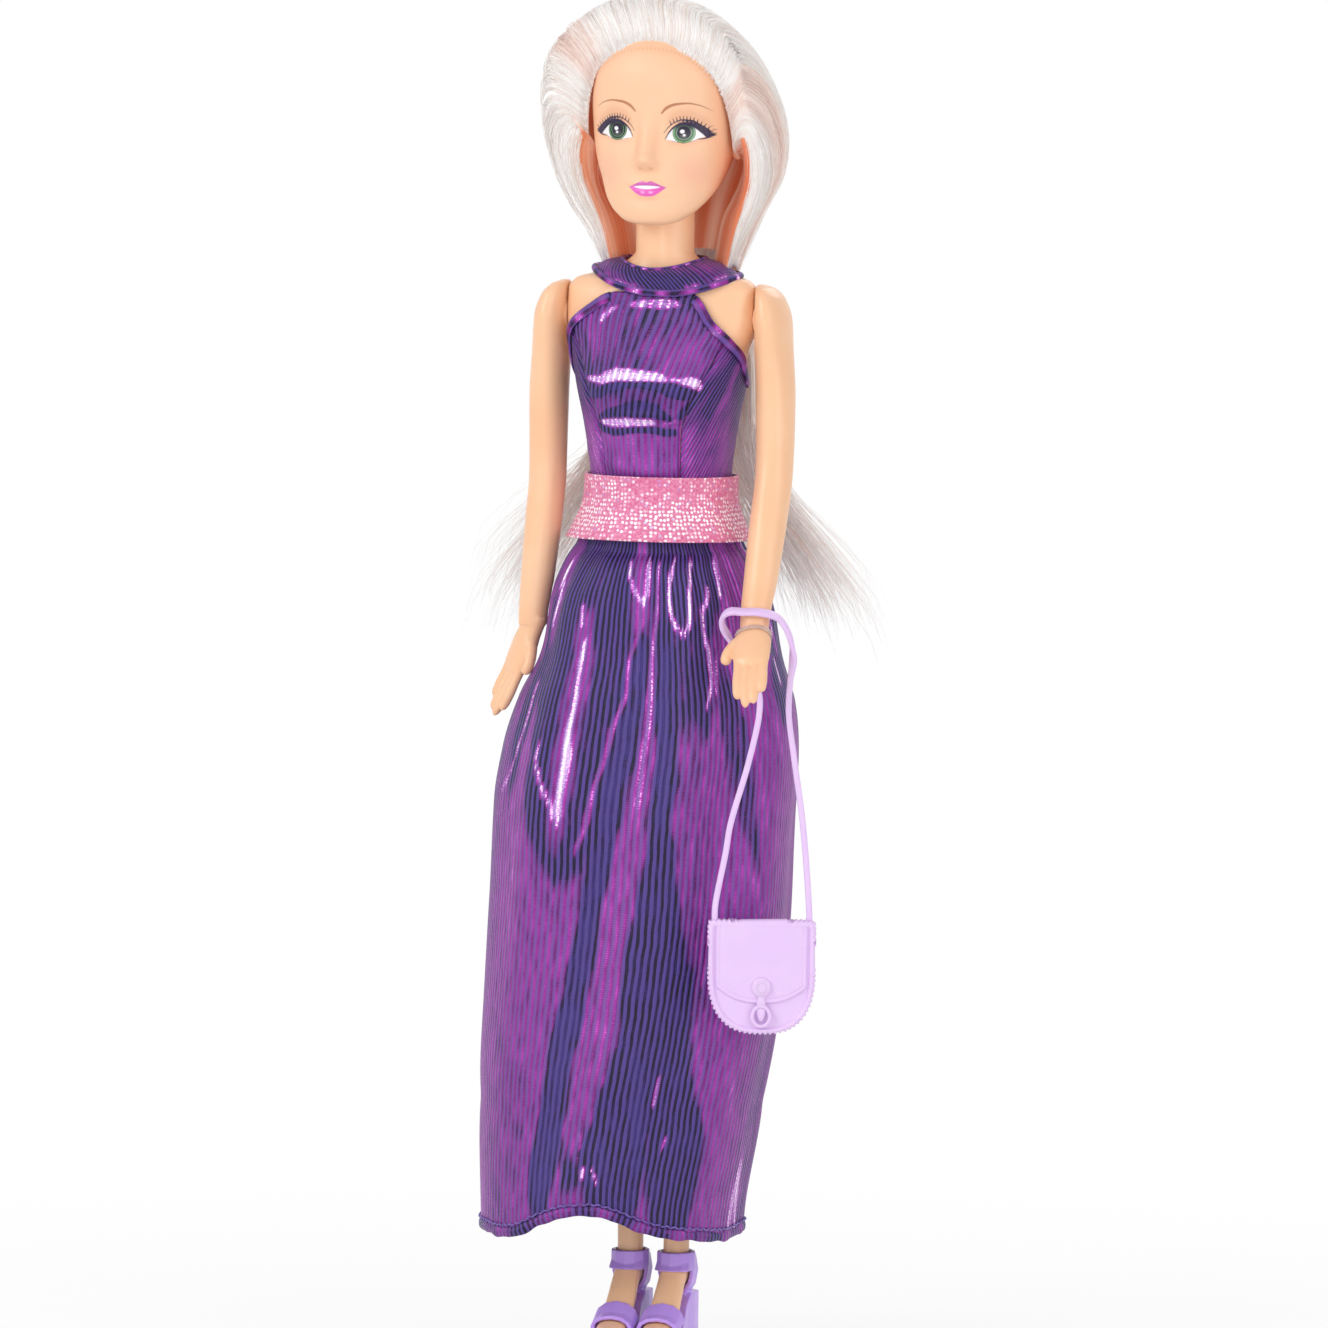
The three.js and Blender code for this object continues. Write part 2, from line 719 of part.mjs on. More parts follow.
function panelGrid(from, to, columns, offset, bottom, topOf) {
  const places = spaced(from, to, columns);
  const below = spaced(bottom, bustRise, 6).map((rise) => places.map(() => rise));
  const above = spaced(0, 1, 5).slice(1).map((up) => (
    places.map((degrees) => bustRise + up * (topOf(degrees) - bustRise))));
  return [...below, ...above].map((rises) => rises.map((rise, i) => (
    sectionPoint(torsoSection(rise, offset), THREE.MathUtils.degToRad(places[i]) - Math.PI / 2))));
}

function panelGeometry(from, to, columns, inner, thickness, bottom, topOf) {
  return sheet(
    panelGrid(from, to, columns, inner + thickness, bottom, topOf),
    panelGrid(from, to, columns, inner, bottom, topOf),
  );
}

// Half of the sewing gap between panels, in degrees at the bust.
const seamDegrees = (gap / bustHalfWidth) * (180 / Math.PI) * 0.8;
const bodiceBottom = waistRise - waistSeamDrop + gap;

function bodicePanel(from, to, columns) {
  const panel = panelGeometry(
    from + seamDegrees, to - seamDegrees, columns, clothGap, clothThickness, bodiceBottom, bodiceTop,
  );
  const far = shoulderHalfWidth + bustFront;
  const room = box([-shoulderHalfWidth, -far, 0], [shoulderHalfWidth, far, neckTopLevel]);
  return toSolid(panel).intersect(room);
}

function fastenerStrip(layer) {
  const halfDegrees = (fastenerWidth / chestBack / 2) * (180 / Math.PI) / 2;
  const inner = 2 * clothGap + clothThickness + layer * (fastenerThickness + gap);
  const top = () => bodiceUnderarmRise;
  return panelGeometry(
    180 - halfDegrees, 180 + halfDegrees, 4, inner, fastenerThickness, sashTopRise + gap, top,
  );
}

function collarRing(share, offset) {
  const seat = torsoSection(shoulderTopRise * 0.97, clothGap + clothThickness + gap);
  return Array.from({ length: bodySides }, (_, i) => {
    const angle = (2 * Math.PI * i) / bodySides;
    const forward = Math.max(0, -Math.sin(angle)) ** 2;
    const top = sectionPoint({
      y: neckSetBack,
      z: hipLevel + neckBaseRise - forward * (collarHeight - sashThickness * 2),
      wide: collarTopHalfWidth,
      front: collarTopHalfWidth,
      back: collarTopHalfWidth,
    }, angle);
    const bottom = sectionPoint({
      z: hipLevel + neckBaseRise - collarHeight - forward * (collarFrontDrop - collarHeight),
      wide: collarHalfWidth,
      front: seat.front + sashThickness,
      back: seat.back + sashThickness,
    }, angle);
    const point = top.lerp(bottom, share);
    const outward = new THREE.Vector3(Math.cos(angle), Math.sin(angle), 1).normalize();
    return point.addScaledVector(outward, offset);
  });
}

function collarGeometry() {
  const shares = [1, 0.66, 0.33, 0];
  return sleeve(
    shares.map((share) => collarRing(share, clothThickness)),
    shares.map((share) => collarRing(share, 0)),
  );
}

function sashGeometry() {
  const rises = spaced(sashBottomRise, sashTopRise, 6);
  const ringAt = (rise, offset) => {
    const share = (hipLevel + rise - skirtTop) / -skirtLength;
    const under = share > 0 ? skirtSection(share) : torsoSection(rise, clothGap + clothThickness);
    const low = 1 - (rise - sashBottomRise) / (sashTopRise - sashBottomRise);
    return sectionRing(grown(under, 2 * gap + sashFlare * low * low + offset), bodySides);
  };
  return sleeve(
    rises.map((rise) => ringAt(rise, sashThickness)),
    rises.map((rise) => ringAt(rise, 0)),
  );
}

// Arms

// A round bar through points with a radius at each, its rings square to the way it runs.
function taperedBar(points, radii, sides) {
  const curve = new THREE.CatmullRomCurve3(points, false, 'centripetal');
  const rings = radii.map((radius, i) => {
    const place = i / (radii.length - 1);
    const centre = curve.getPoint(place);
    const along = curve.getTangent(place);
    const across = new THREE.Vector3(0, 1, 0).cross(along).normalize();
    const other = new THREE.Vector3().crossVectors(along, across);
    return Array.from({ length: sides }, (_, j) => {
      const angle = (2 * Math.PI * j) / sides;
      return centre.clone()
        .addScaledVector(across, radius * Math.cos(angle))
        .addScaledVector(other, radius * Math.sin(angle));
    });
  });
  return toSolid(loft(rings));
}

const fingerShares = [
  [-0.66, 0.86],
  [-0.22, 0.97],
  [0.22, 1],
  [0.66, 0.9],
];

// A hand below its wrist. Across points to the thumb, and the fingers bend by the curl.
function handSolid({ wrist, down, across, curl }) {
  const normal = new THREE.Vector3().crossVectors(down, across).normalize();
  const place = (x, y, z) => wrist.clone()
    .addScaledVector(across, x)
    .addScaledVector(normal, y)
    .addScaledVector(down, z);
  const palmShares = [
    [-0.12, 0.6, 1.1, 0],
    [0.06, 0.74, 1.15, 0],
    [0.22, 1, 1.05, 0.04],
    [0.38, 0.98, 0.95, 0.02],
    [0.5, 0.86, 0.8, 0],
    [0.54, 0.5, 0.4, 0],
  ];
  const rings = palmShares.map(([along, wide, thick, shift]) => (
    Array.from({ length: limbSides }, (_, i) => {
      const angle = (2 * Math.PI * i) / limbSides;
      const x = (shift + wide * Math.cos(angle)) * handHalfWidth;
      return place(x, thick * handHalfThickness * Math.sin(angle), along * handLength);
    })));
  let hand = toSolid(loft(rings));
  for (const [side, reach] of fingerShares) {
    const bend = (share) => curl * share * share * handLength;
    const points = [0.4, 0.6, 0.8, reach].map((share) => (
      place(side * handHalfWidth, bend(share - 0.4), share * handLength * 0.96)));
    const radii = [0.9, 1, 1, 0.9, 0.35].map((share) => share * fingerRadius);
    hand = hand.add(taperedBar(points, radii, fingerSides));
  }
  const thumb = [
    place(0.3 * handHalfWidth, 0, 0.12 * handLength),
    place(0.95 * handHalfWidth, 0, 0.24 * handLength),
    place(1.3 * handHalfWidth, curl * handHalfThickness, 0.42 * handLength),
  ];
  const thumbRadii = [0.8, 1, 1, 0.9, 0.35].map((share) => share * thumbRadius);
  return hand.add(taperedBar(thumb, thumbRadii, fingerSides + 2));
}

// The shoulder cap: drop as a share of its radius, then half width and half depth. Its inner side is
// flush with the socket and its outer side slopes.
const shoulderShares = [
  [0.995, 0.22, 0.2],
  [0.9, 0.42, 0.55],
  [0.6, 0.68, 0.84],
  [0, 0.86, 1],
  [-1, 0.93, 0.87],
];

// An arm with its shoulder at the socket. The path gives X and Y of the elbow and the wrist.
function armSolid(side, { elbow, wrist, forearmLength, hand }) {
  const top = shoulderRadius;
  const inner = shoulderHalfWidth + gap;
  const middle = inner + armHalfWidth;
  const elbowDrop = upperArmLength;
  const wristDrop = upperArmLength + forearmLength;
  const stations = [
    ...shoulderShares.map(([drop, wide, deep]) => (
      [top * drop, inner + armHalfWidth * wide, 0, armHalfWidth * wide, shoulderRadius * deep])),
    [-elbowDrop * 0.5, (middle + elbow.x) / 2, elbow.y * 0.35, armHalfWidth * 0.98, upperArmDepth],
    [-elbowDrop, elbow.x, elbow.y, armHalfWidth * 0.94, forearmDepth * 1.04],
    [-elbowDrop - forearmLength * 0.25, elbow.x + (wrist.x - elbow.x) * 0.2,
      elbow.y + (wrist.y - elbow.y) * 0.24, armHalfWidth * 0.94, forearmDepth],
    [-elbowDrop - forearmLength * 0.65, elbow.x + (wrist.x - elbow.x) * 0.62,
      elbow.y + (wrist.y - elbow.y) * 0.65, (armHalfWidth + wristHalfWidth) / 2, forearmDepth * 0.84],
    [-wristDrop, wrist.x, wrist.y, wristHalfWidth, wristHalfWidth * 0.92],
  ].reverse();
  const drops = [
    ...spaced(-wristDrop, -shoulderRadius, 9),
    0,
    ...[0.6, 0.82, 0.93, 0.995].map((share) => share * top),
  ];
  const rings = drops.map((drop) => {
    const [, x, y, wide, deep] = stationAt(stations, drop);
    const z = shoulderLevel + drop;
    return sectionRing({ x: side * x, y, z, wide, front: deep, back: deep }, limbSides);
  });
  const peg = [flangeSeat - pegFlangeThickness, middle].map((value) => side * value).sort((a, b) => a - b);
  const flange = [flangeSeat - pegFlangeThickness, flangeSeat].map((value) => side * value)
    .sort((a, b) => a - b);
  return toSolid(loft(rings))
    .add(crossBar(pegRadius, peg[0], peg[1], 0, shoulderLevel))
    .add(crossBar(pegFlangeRadius, flange[0], flange[1], 0, shoulderLevel))
    .add(handSolid(hand));
}

const armMiddle = shoulderHalfWidth + gap + armHalfWidth;

function rightArm() {
  const wrist = new THREE.Vector3(-armMiddle - rightWristSpread, -rightWristReach, rightWristLevel);
  const down = new THREE.Vector3(-rightHandSpread, 0, -handLength).normalize();
  const turn = THREE.MathUtils.degToRad(rightHandDegrees);
  const thumbward = new THREE.Vector3(Math.cos(turn), -Math.sin(turn), 0);
  const rightThumb = thumbward.addScaledVector(down, -thumbward.dot(down)).normalize();
  return armSolid(-1, {
    elbow: new THREE.Vector2(armMiddle + elbowSpread / 4, 0),
    wrist: new THREE.Vector2(armMiddle + rightWristSpread, -rightWristReach),
    forearmLength: rightForearmDrop,
    hand: { wrist, down, across: rightThumb, curl: 0.05 },
  });
}

const leftWrist = new THREE.Vector3(armMiddle + elbowSpread, -wristReach, leftWristLevel);
const leftHandDown = new THREE.Vector3(
  leftHandShift,
  -leftHandReach,
  -Math.sqrt(handLength ** 2 - leftHandReach ** 2),
).normalize();

function leftArm() {
  const inward = new THREE.Vector3(-1, 0, 0);
  const leftThumb = inward.addScaledVector(leftHandDown, -inward.dot(leftHandDown)).normalize();
  return armSolid(1, {
    elbow: new THREE.Vector2(armMiddle + elbowSpread, -elbowReach),
    wrist: new THREE.Vector2(leftWrist.x, leftWrist.y),
    forearmLength: leftForearmDrop,
    hand: { wrist: leftWrist, down: leftHandDown, across: leftThumb, curl: 0.2 },
  });
}

function wristBandGeometry() {
  const half = (handHalfWidth + wristHalfWidth) / 2 + wristBandRadius + gap;
  const deep = handHalfThickness * 1.2 + wristBandRadius + gap;
  const ring = new THREE.TorusGeometry(half, wristBandRadius, fingerSides, boreSides);
  const upright = new THREE.Vector3(0, 0, -1);
  const place = leftWrist.clone().addScaledVector(leftHandDown, handLength * 0.12);
  return ring.scale(1, deep / half, 1)
    .applyQuaternion(new THREE.Quaternion().setFromUnitVectors(upright, leftHandDown))
    .translate(place.x, place.y, place.z);
}

// Legs and shoes

// A leg: level as a share of the hip level, then the middle, half width and half depth.
const legStations = [
  [ankleLevel * 0.8, ankleHalfSpan, ankleHalfWidth, ankleHalfWidth * 1.12],
  [ankleLevel * 1.1, ankleHalfSpan, ankleHalfWidth, ankleHalfWidth * 1.12],
  [hipLevel * 0.3, ankleHalfSpan * 1.1, ankleHalfWidth * 1.28, ankleHalfWidth * 1.4],
  [hipLevel * 0.45, (ankleHalfSpan + kneeHalfSpan) / 2, kneeHalfWidth * 0.93, kneeHalfWidth * 1.05],
  [hipLevel * 0.6, kneeHalfSpan, kneeHalfWidth, kneeHalfWidth * 1.04],
  [hipLevel * 0.8, (kneeHalfSpan + hipHalfSpan) / 2, (kneeHalfWidth + hipHalfWidth) / 2, thighRadius * 0.9],
  [hipLevel * 0.93, hipHalfSpan, hipHalfWidth * 0.98, thighRadius],
  [hipLevel, hipHalfSpan, hipHalfWidth, thighRadius],
  [hipLevel + thighRadius * 0.5, hipHalfSpan, hipHalfWidth * 0.86, thighRadius * 0.86],
  [hipLevel + thighRadius * 0.8, hipHalfSpan, hipHalfWidth * 0.6, thighRadius * 0.6],
  [hipLevel + thighRadius * 0.97, hipHalfSpan, hipHalfWidth * 0.2, thighRadius * 0.24],
];
const legLevels = [
  ...spaced(ankleLevel * 0.8, hipLevel * 0.93, 13),
  hipLevel,
  hipLevel + thighRadius * 0.3,
  hipLevel + thighRadius * 0.5,
  hipLevel + thighRadius * 0.7,
  hipLevel + thighRadius * 0.85,
  hipLevel + thighRadius * 0.97,
];
// A foot: place along it from the heel, level between toe and arch, half width and half height.
const footShares = [
  [0, 0.97, 0.16, 0.1],
  [0.05, 0.97, 0.56, 0.62],
  [0.15, 1, 0.78, 1],
  [0.28, 1.06, 0.8, 1.1],
  [0.4, 0.84, 0.84, 0.94],
  [0.53, 0.5, 0.93, 0.7],
  [0.66, 0.2, 1, 0.52],
  [0.78, 0.05, 1, 0.4],
  [0.9, 0, 0.88, 0.34],
  [0.97, 0, 0.58, 0.22],
  [1, 0, 0.2, 0.06],
];

function legSection(level, side, offset = 0) {
  const [, x, wide, deep] = stationAt(legStations, level);
  return grown({ x: side * x, z: level, wide, front: deep, back: deep }, offset);
}

function footSolid(side, offset) {
  const instep = footArchLevel - heelHeight;
  const rings = footShares.map(([along, up, wide, high]) => {
    const end = along < 0.03 || along > 0.99 ? offset : 0;
    const y = footHeelBack - along * footLength + Math.sign(0.5 - along) * end;
    const z = toeLevel + up * (footArchLevel - toeLevel);
    return sectionRing({
      x: 0,
      y: 0,
      z: 0,
      wide: wide * footHalfWidth + offset,
      front: high * instep * (1 - along) + high * toeHalfHeight * along * 2 + offset,
      back: high * instep * (1 - along) + high * toeHalfHeight * along * 2 + offset,
    }, limbSides).map((point) => new THREE.Vector3(side * ankleHalfSpan + point.x, y, z + point.y));
  });
  return toSolid(loft(rings));
}

function ankleSolid(side, offset) {
  const levels = [ankleLevel * 0.8 - offset, ankleLevel, ankleLevel * 1.1 + offset];
  return toSolid(loft(levels.map((level) => sectionRing(legSection(level, side, offset), limbSides))));
}

function legSolid(side) {
  const leg = toSolid(loft(legLevels.map((level) => sectionRing(legSection(level, side), limbSides))));
  const bore = [0, side * (hipBarHalfLength + gap)].sort((a, b) => a - b);
  const room = crossBar(fitted(hipBarRadius), bore[0], bore[1], 0, hipLevel);
  return leg.add(footSolid(side, 0)).subtract(room);
}

// The side of the sole, heel to toe: place along the foot and level as shares of the heel height.
const soleShares = [
  [-0.05, 0],
  [-0.05, 1.02],
  [0.26, 1.02],
  [0.4, 0.84],
  [0.55, 0.52],
  [0.68, 0.38],
  [1.04, 0.38],
  [1.05, 0.3],
  [1.03, 0],
  [0.56, 0],
  [0.46, 0.24],
  [0.34, 0.4],
  [0.24, 0.42],
];

function soleSolid(side) {
  const half = footHalfWidth + shoeMargin;
  const place = (along) => footHeelBack - along * footLength;
  const profile = new THREE.Shape();
  soleShares.forEach(([along, up], i) => {
    const level = up <= 0.38 && up >= 0.3 ? (up / 0.38) * platformHeight : up * heelHeight;
    if (i === 0) profile.moveTo(place(along), level);
    else profile.lineTo(place(along), level);
  });
  profile.lineTo(heelFront, 0);
  profile.closePath();
  const slab = extruded(profile, 2 * half);
  slab.applyMatrix4(new THREE.Matrix4().makeBasis(
    new THREE.Vector3(0, 1, 0),
    new THREE.Vector3(0, 0, 1),
    new THREE.Vector3(1, 0, 0),
  )).translate(-half, 0, 0);
  const plan = [
    [-0.055, 0.4], [0, 0.78], [0.16, 0.86], [0.35, 0.84], [0.52, 0.92], [0.68, 1], [0.82, 1], [0.94, 0.86],
    [1.02, 0.56], [1.05, 0.2],
  ];
  const edge = [
    ...plan.map(([along, wide]) => new THREE.Vector2(wide * half, place(along))),
    ...[...plan].reverse().map(([along, wide]) => new THREE.Vector2(-wide * half, place(along))),
  ];
  const foot = extruded(new THREE.Shape(edge), heelHeight * 2);
  return toSolid(slab).intersect(toSolid(foot)).translate([side * ankleHalfSpan, 0, 0]);
}

function shoeSolid(side) {
  const far = footLength * 2;
  const middle = side * ankleHalfSpan;
  const wrap = footSolid(side, shoeGap + shoeWall).add(ankleSolid(side, shoeGap + shoeWall));
  const inside = footSolid(side, shoeGap).add(ankleSolid(side, shoeGap));
  const strapRoom = (y0, y1, z0, z1) => box([middle - far, y0, z0], [middle + far, y1, z1]);
  const toeFrom = -toeStrapReach - toeStrapWidth / 2;
  const low = ankleStrapLevel - ankleStrapWidth / 2;
  const high = ankleStrapLevel + ankleStrapWidth / 2;
  const sideMiddle = footHeelBack - footLength * 0.2;
  const bands = strapRoom(toeFrom, toeFrom + toeStrapWidth, platformHeight - gap, far)
    .add(strapRoom(-far, far, low, high))
    .add(strapRoom(
      sideMiddle - sideStrapWidth / 2, sideMiddle + sideStrapWidth / 2, heelHeight - shoeWall, high,
    ));
  return soleSolid(side).add(wrap.intersect(bands)).subtract(inside);
}

// Hand bag, drawn with its face towards -Y and the strap's loop above it, then turned

const bagTop = leftWristLevel + (strapThickness + strapWidth) - strapDrop;

function bagOutline(inset) {
  const half = bagWidth / 2 - inset;
  const corner = half * 0.72;
  const top = bagTop - inset;
  const bottom = bagTop - bagHeight + inset;
  const shape = new THREE.Shape();
  shape.moveTo(-half, top);
  shape.lineTo(-half, bottom + corner);
  shape.quadraticCurveTo(-half, bottom, -half + corner, bottom);
  shape.lineTo(half - corner, bottom);
  shape.quadraticCurveTo(half, bottom, half, bottom + corner);
  shape.lineTo(half, top);
  shape.closePath();
  return shape;
}

// A plate with its outline in X and Z, its back at one place in Y and its face further to -Y.
function plate(shape, back, thickness) {
  return toSolid(extruded(shape, thickness).rotateX(Math.PI / 2).translate(0, back, 0));
}

function bagSolid() {
  const rim = plate(bagOutline(0), bagThickness / 2, bagThickness);
  const panel = plate(bagOutline(bagRimWidth), -bagThickness / 2 + bagRimRelief, bagThickness);
  const behind = plate(bagOutline(bagRimWidth), bagThickness * 1.5 - bagRimRelief, bagThickness);
  const half = bagWidth / 2 - bagRimWidth * 2;
  const flapShape = new THREE.Shape();
  flapShape.moveTo(-half, bagTop - bagRimWidth / 2);
  flapShape.lineTo(-half, bagTop - bagFlapDrop * 0.74);
  flapShape.quadraticCurveTo(0, bagTop - bagFlapDrop * 1.26, half, bagTop - bagFlapDrop * 0.74);
  flapShape.lineTo(half, bagTop - bagRimWidth / 2);
  flapShape.closePath();
  const flap = plate(flapShape, 0, bagThickness / 2 - bagRimRelief + bagFlapRelief);
  const disc = new THREE.Shape().absarc(0, bagTop - bagFlapDrop, claspRadius, 0, 2 * Math.PI);
  const clasp = plate(disc, 0, bagThickness / 2 - bagRimRelief + claspRelief);
  return rim.subtract(panel).subtract(behind).add(flap).add(clasp);
}

// The strap from the bag's left corner, behind the hand, over the front of the wrist and down
// outside the hand: across and forward as shares of the bag's width, up as a share of the drop.
const strapRouteShares = [
  [-0.435, 0, 0],
  [-0.43, 0, 0.05],
  [-0.34, -0.02, 0.22],
  [-0.3, -0.03, 0.31],
  [-0.14, -0.08, 0.51],
  [-0.045, -0.12, 0.67],
  [-0.05, -0.14, 0.735],
  [-0.12, -0.17, 0.8],
  [-0.23, -0.21, 0.855],
  [-0.33, -0.23, 0.91],
  [-0.39, -0.18, 0.95],
  [-0.39, -0.13, 0.98],
  [-0.33, -0.07, 1],
  [-0.2, -0.055, 1],
  [-0.05, -0.025, 1],
  [0.12, -0.08, 0.98],
  [0.22, -0.1, 0.925],
  [0.26, -0.13, 0.85],
  [0.235, -0.14, 0.77],
  [0.225, -0.12, 0.67],
  [0.275, -0.08, 0.535],
  [0.365, -0.03, 0.315],
  [0.43, 0, 0.05],
  [0.435, 0, 0],
];

function strapGeometry() {
  const points = strapRouteShares.map(([across, forward, up]) => (
    new THREE.Vector3(across * bagWidth, -forward * bagWidth, bagTop + gap + up * (strapDrop - gap))));
  const route = new THREE.CatmullRomCurve3(points, false, 'centripetal');
  const frames = route.computeFrenetFrames(strapSteps, false);
  const rings = frames.tangents.map((_, i) => {
    const centre = route.getPointAt(i / strapSteps);
    const wide = frames.normals[i].clone().multiplyScalar(strapThickness / 2);
    const deep = frames.binormals[i].clone().multiplyScalar(strapThickness / 2);
    return [[1, 1], [-1, 1], [-1, -1], [1, -1]].map(([a, b]) => (
      centre.clone().addScaledVector(wide, a).addScaledVector(deep, b)));
  });
  return loft(rings);
}

// Materials

const finish = (color, roughness, metalness = 0) => ({ color, roughness, metalness });
const skin = finish(0xf4c49f, 0.5);
const vinylSkin = finish(0xf8cdac, 0.55);
const hair = finish(0xebe2dc, 0.45);
const metallicCloth = finish(0x7c2f94, 0.35, 0.6);
const darkCloth = finish(0x5d2a80, 0.45, 0.5);
const glitterCloth = finish(0xdb7fa8, 0.4, 0.2);
const bagPlastic = finish(0xd9b4ea, 0.5);
const shoePlastic = finish(0xb88ee6, 0.4);
const whitePlastic = finish(0xe6e2da, 0.6);
const clearPlastic = finish(0xe9e4e2, 0.3);
const fastenerTape = finish(0x4a2f66, 0.9);

const doll = new THREE.Group();

function add(name, shape, look, parent = doll) {
  const geometry = shape.isBufferGeometry ? shape : toGeometry(shape);
  const mesh = new THREE.Mesh(geometry, new THREE.MeshStandardMaterial(look));
  mesh.name = name;
  parent.add(mesh);
  return mesh;
}

add('torso_front', torsoHalf(-1), skin);
add('torso_back', torsoHalf(1), skin);
add('neck_knob', turned(knobProfile(0, 0), neckSetBack), whitePlastic);
add('head', headSolid(), vinylSkin);
add('hair_crown', hairCrownSolid(), hair);
add('hair_fall', hairFallGeometry(), hair);
add('arm_left', leftArm(), skin);
add('arm_right', rightArm(), skin);
add('wrist_band', wristBandGeometry(), clearPlastic);
add('hip_bar', crossBar(hipBarRadius, -hipBarHalfLength, hipBarHalfLength, 0, hipLevel), whitePlastic);
add('leg_left', legSolid(1), skin);
add('leg_right', legSolid(-1), skin);
add('shoe_left', shoeSolid(1), shoePlastic);
add('shoe_right', shoeSolid(-1), shoePlastic);
add('bodice_centre', bodicePanel(-princessDegrees, princessDegrees, 9), metallicCloth);
add('bodice_side_left', bodicePanel(princessDegrees, sideSeamDegrees, 7), metallicCloth);
add('bodice_side_right', bodicePanel(-sideSeamDegrees, -princessDegrees, 7), metallicCloth);
add('bodice_back_left', bodicePanel(sideSeamDegrees, backSeamDegrees, 6), darkCloth);
add('bodice_back_right', bodicePanel(-backSeamDegrees, -sideSeamDegrees, 6), darkCloth);
add('fastener_loop', fastenerStrip(0), fastenerTape);
add('fastener_hook', fastenerStrip(1), fastenerTape);
add('dress_collar', collarGeometry(), metallicCloth);
add('sash', sashGeometry(), glitterCloth);
add('skirt', skirtGeometry(), metallicCloth);

const turn = THREE.MathUtils.degToRad(bagTurnDegrees);
const bag = new THREE.Group();
bag.rotation.z = turn;
bag.position.set(
  bagOut * Math.cos(turn) + bagReach * Math.sin(turn),
  bagOut * Math.sin(turn) - bagReach * Math.cos(turn),
  0,
);
doll.add(bag);
add('handbag_body', bagSolid(), bagPlastic, bag);
add('handbag_strap', strapGeometry(), bagPlastic, bag);

export default doll;
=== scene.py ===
"""Looks of a jointed fashion doll in a ribbed metallic evening dress with a hand bag."""
import math

import bpy
import numpy as np
from mathutils import Matrix, Vector


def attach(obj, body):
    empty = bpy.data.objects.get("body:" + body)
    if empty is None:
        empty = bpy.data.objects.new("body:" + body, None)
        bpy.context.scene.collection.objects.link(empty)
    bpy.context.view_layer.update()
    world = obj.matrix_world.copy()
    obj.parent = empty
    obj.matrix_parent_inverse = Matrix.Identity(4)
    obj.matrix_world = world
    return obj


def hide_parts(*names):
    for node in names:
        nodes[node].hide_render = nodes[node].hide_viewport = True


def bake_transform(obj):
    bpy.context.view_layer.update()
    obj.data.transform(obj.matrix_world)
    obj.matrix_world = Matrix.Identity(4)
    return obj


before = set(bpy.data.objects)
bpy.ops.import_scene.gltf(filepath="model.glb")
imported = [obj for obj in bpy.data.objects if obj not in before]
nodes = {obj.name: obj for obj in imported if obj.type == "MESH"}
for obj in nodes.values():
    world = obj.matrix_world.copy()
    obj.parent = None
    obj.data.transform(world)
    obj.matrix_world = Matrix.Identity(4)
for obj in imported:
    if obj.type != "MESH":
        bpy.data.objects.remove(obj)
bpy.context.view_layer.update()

# Measures in millimetres, from the same levels as the solids: soles at 0, the doll looks along -Y.
MM = 0.001
HIP = 152.0
WAIST_RISE = 32.0
SHOULDER_RISE = 70.0
SHOULDER_TOP_RISE = 78.0
CHIN = HIP + 90.6
HEAD_HEIGHT = 44.4
HEAD_HALF_WIDTH = 15.5
HEAD_FRONT = 14.2
HEAD_BACK = 18.0
SHOULDER_HALF = 20.5
ARM_HALF = 4.2
SKIRT_LENGTH = 156.0
SKIRT_TOP = HIP + WAIST_RISE - 1.2
RIB_PITCH = 1.25
WELD = ("WELD", {"merge_threshold": 0.000004})
HEAD_MIDDLE = (0, 4, 262)
FALL_TOP = 234.0
SKIRT_RISE = WAIST_RISE - 1.2
SKIRT_RIBS = 144
BODICE_RADIUS = 17.5
# Cloth in mm to one degree round the skirt and round the bodice, as the streaks' tables count it.
SKIRT_DEGREE = 0.47
BODICE_DEGREE = 0.3
NECK_SET_BACK = 1.0


# Colour, tables and noise

def linear(hex_colour, alpha=1.0):
    """sRGB hex to linear: c / 12.92 up to 0.04045, and ((c + 0.055) / 1.055) to the power 2.4 above."""
    value = np.array([int(hex_colour[i:i + 2], 16) for i in (1, 3, 5)]) / 255
    low, high = value / 12.92, ((value + 0.055) / 1.055) ** 2.4
    return (*np.where(value <= 0.04045, low, high), alpha)


def cubic(first, last, first_slope, last_slope, step, t):
    """Hermite's cubic between two values with their slopes, at a share t of the step between them."""
    return (first * (1 + 2 * t) * (1 - t) ** 2 + first_slope * step * t * (1 - t) ** 2
            + last * t * t * (3 - 2 * t) + last_slope * step * t * t * (t - 1))


def station(table, places):
    """Smooth values between a table's rows, with no overshoot: a cubic whose slope at each row is the
    harmonic mean of the two slopes beside it, and zero at the ends. Column 0 is the place."""
    table = np.asarray(table, float)
    place = np.clip(np.asarray(places, float), table[0, 0], table[-1, 0])
    x, y = table[:, 0], table[:, 1:]
    rise = np.diff(y, axis=0) / np.diff(x)[:, None]
    slope = np.zeros_like(y)
    a, b = rise[:-1], rise[1:]
    total = np.where(a + b == 0, 1, a + b)
    slope[1:-1] = np.where(a * b > 0, 2 * a * b / total, 0)
    i = np.clip(np.searchsorted(x, place, side="right") - 1, 0, len(x) - 2)
    step = (x[i + 1] - x[i])[..., None]
    t = ((place - x[i]) / (x[i + 1] - x[i]))[..., None]
    return cubic(y[i], y[i + 1], slope[i], slope[i + 1], step, t)


def ease(value, low, high):
    """0 below low, 1 above high, and 3t^2 - 2t^3 between them."""
    t = np.clip((value - low) / (high - low), 0, 1)
    return t * t * (3 - 2 * t)


def bump_at(value, middle, half):
    """A bell: e to the minus ((value - middle) / half) squared."""
    return np.exp(-(((value - middle) / half) ** 2))


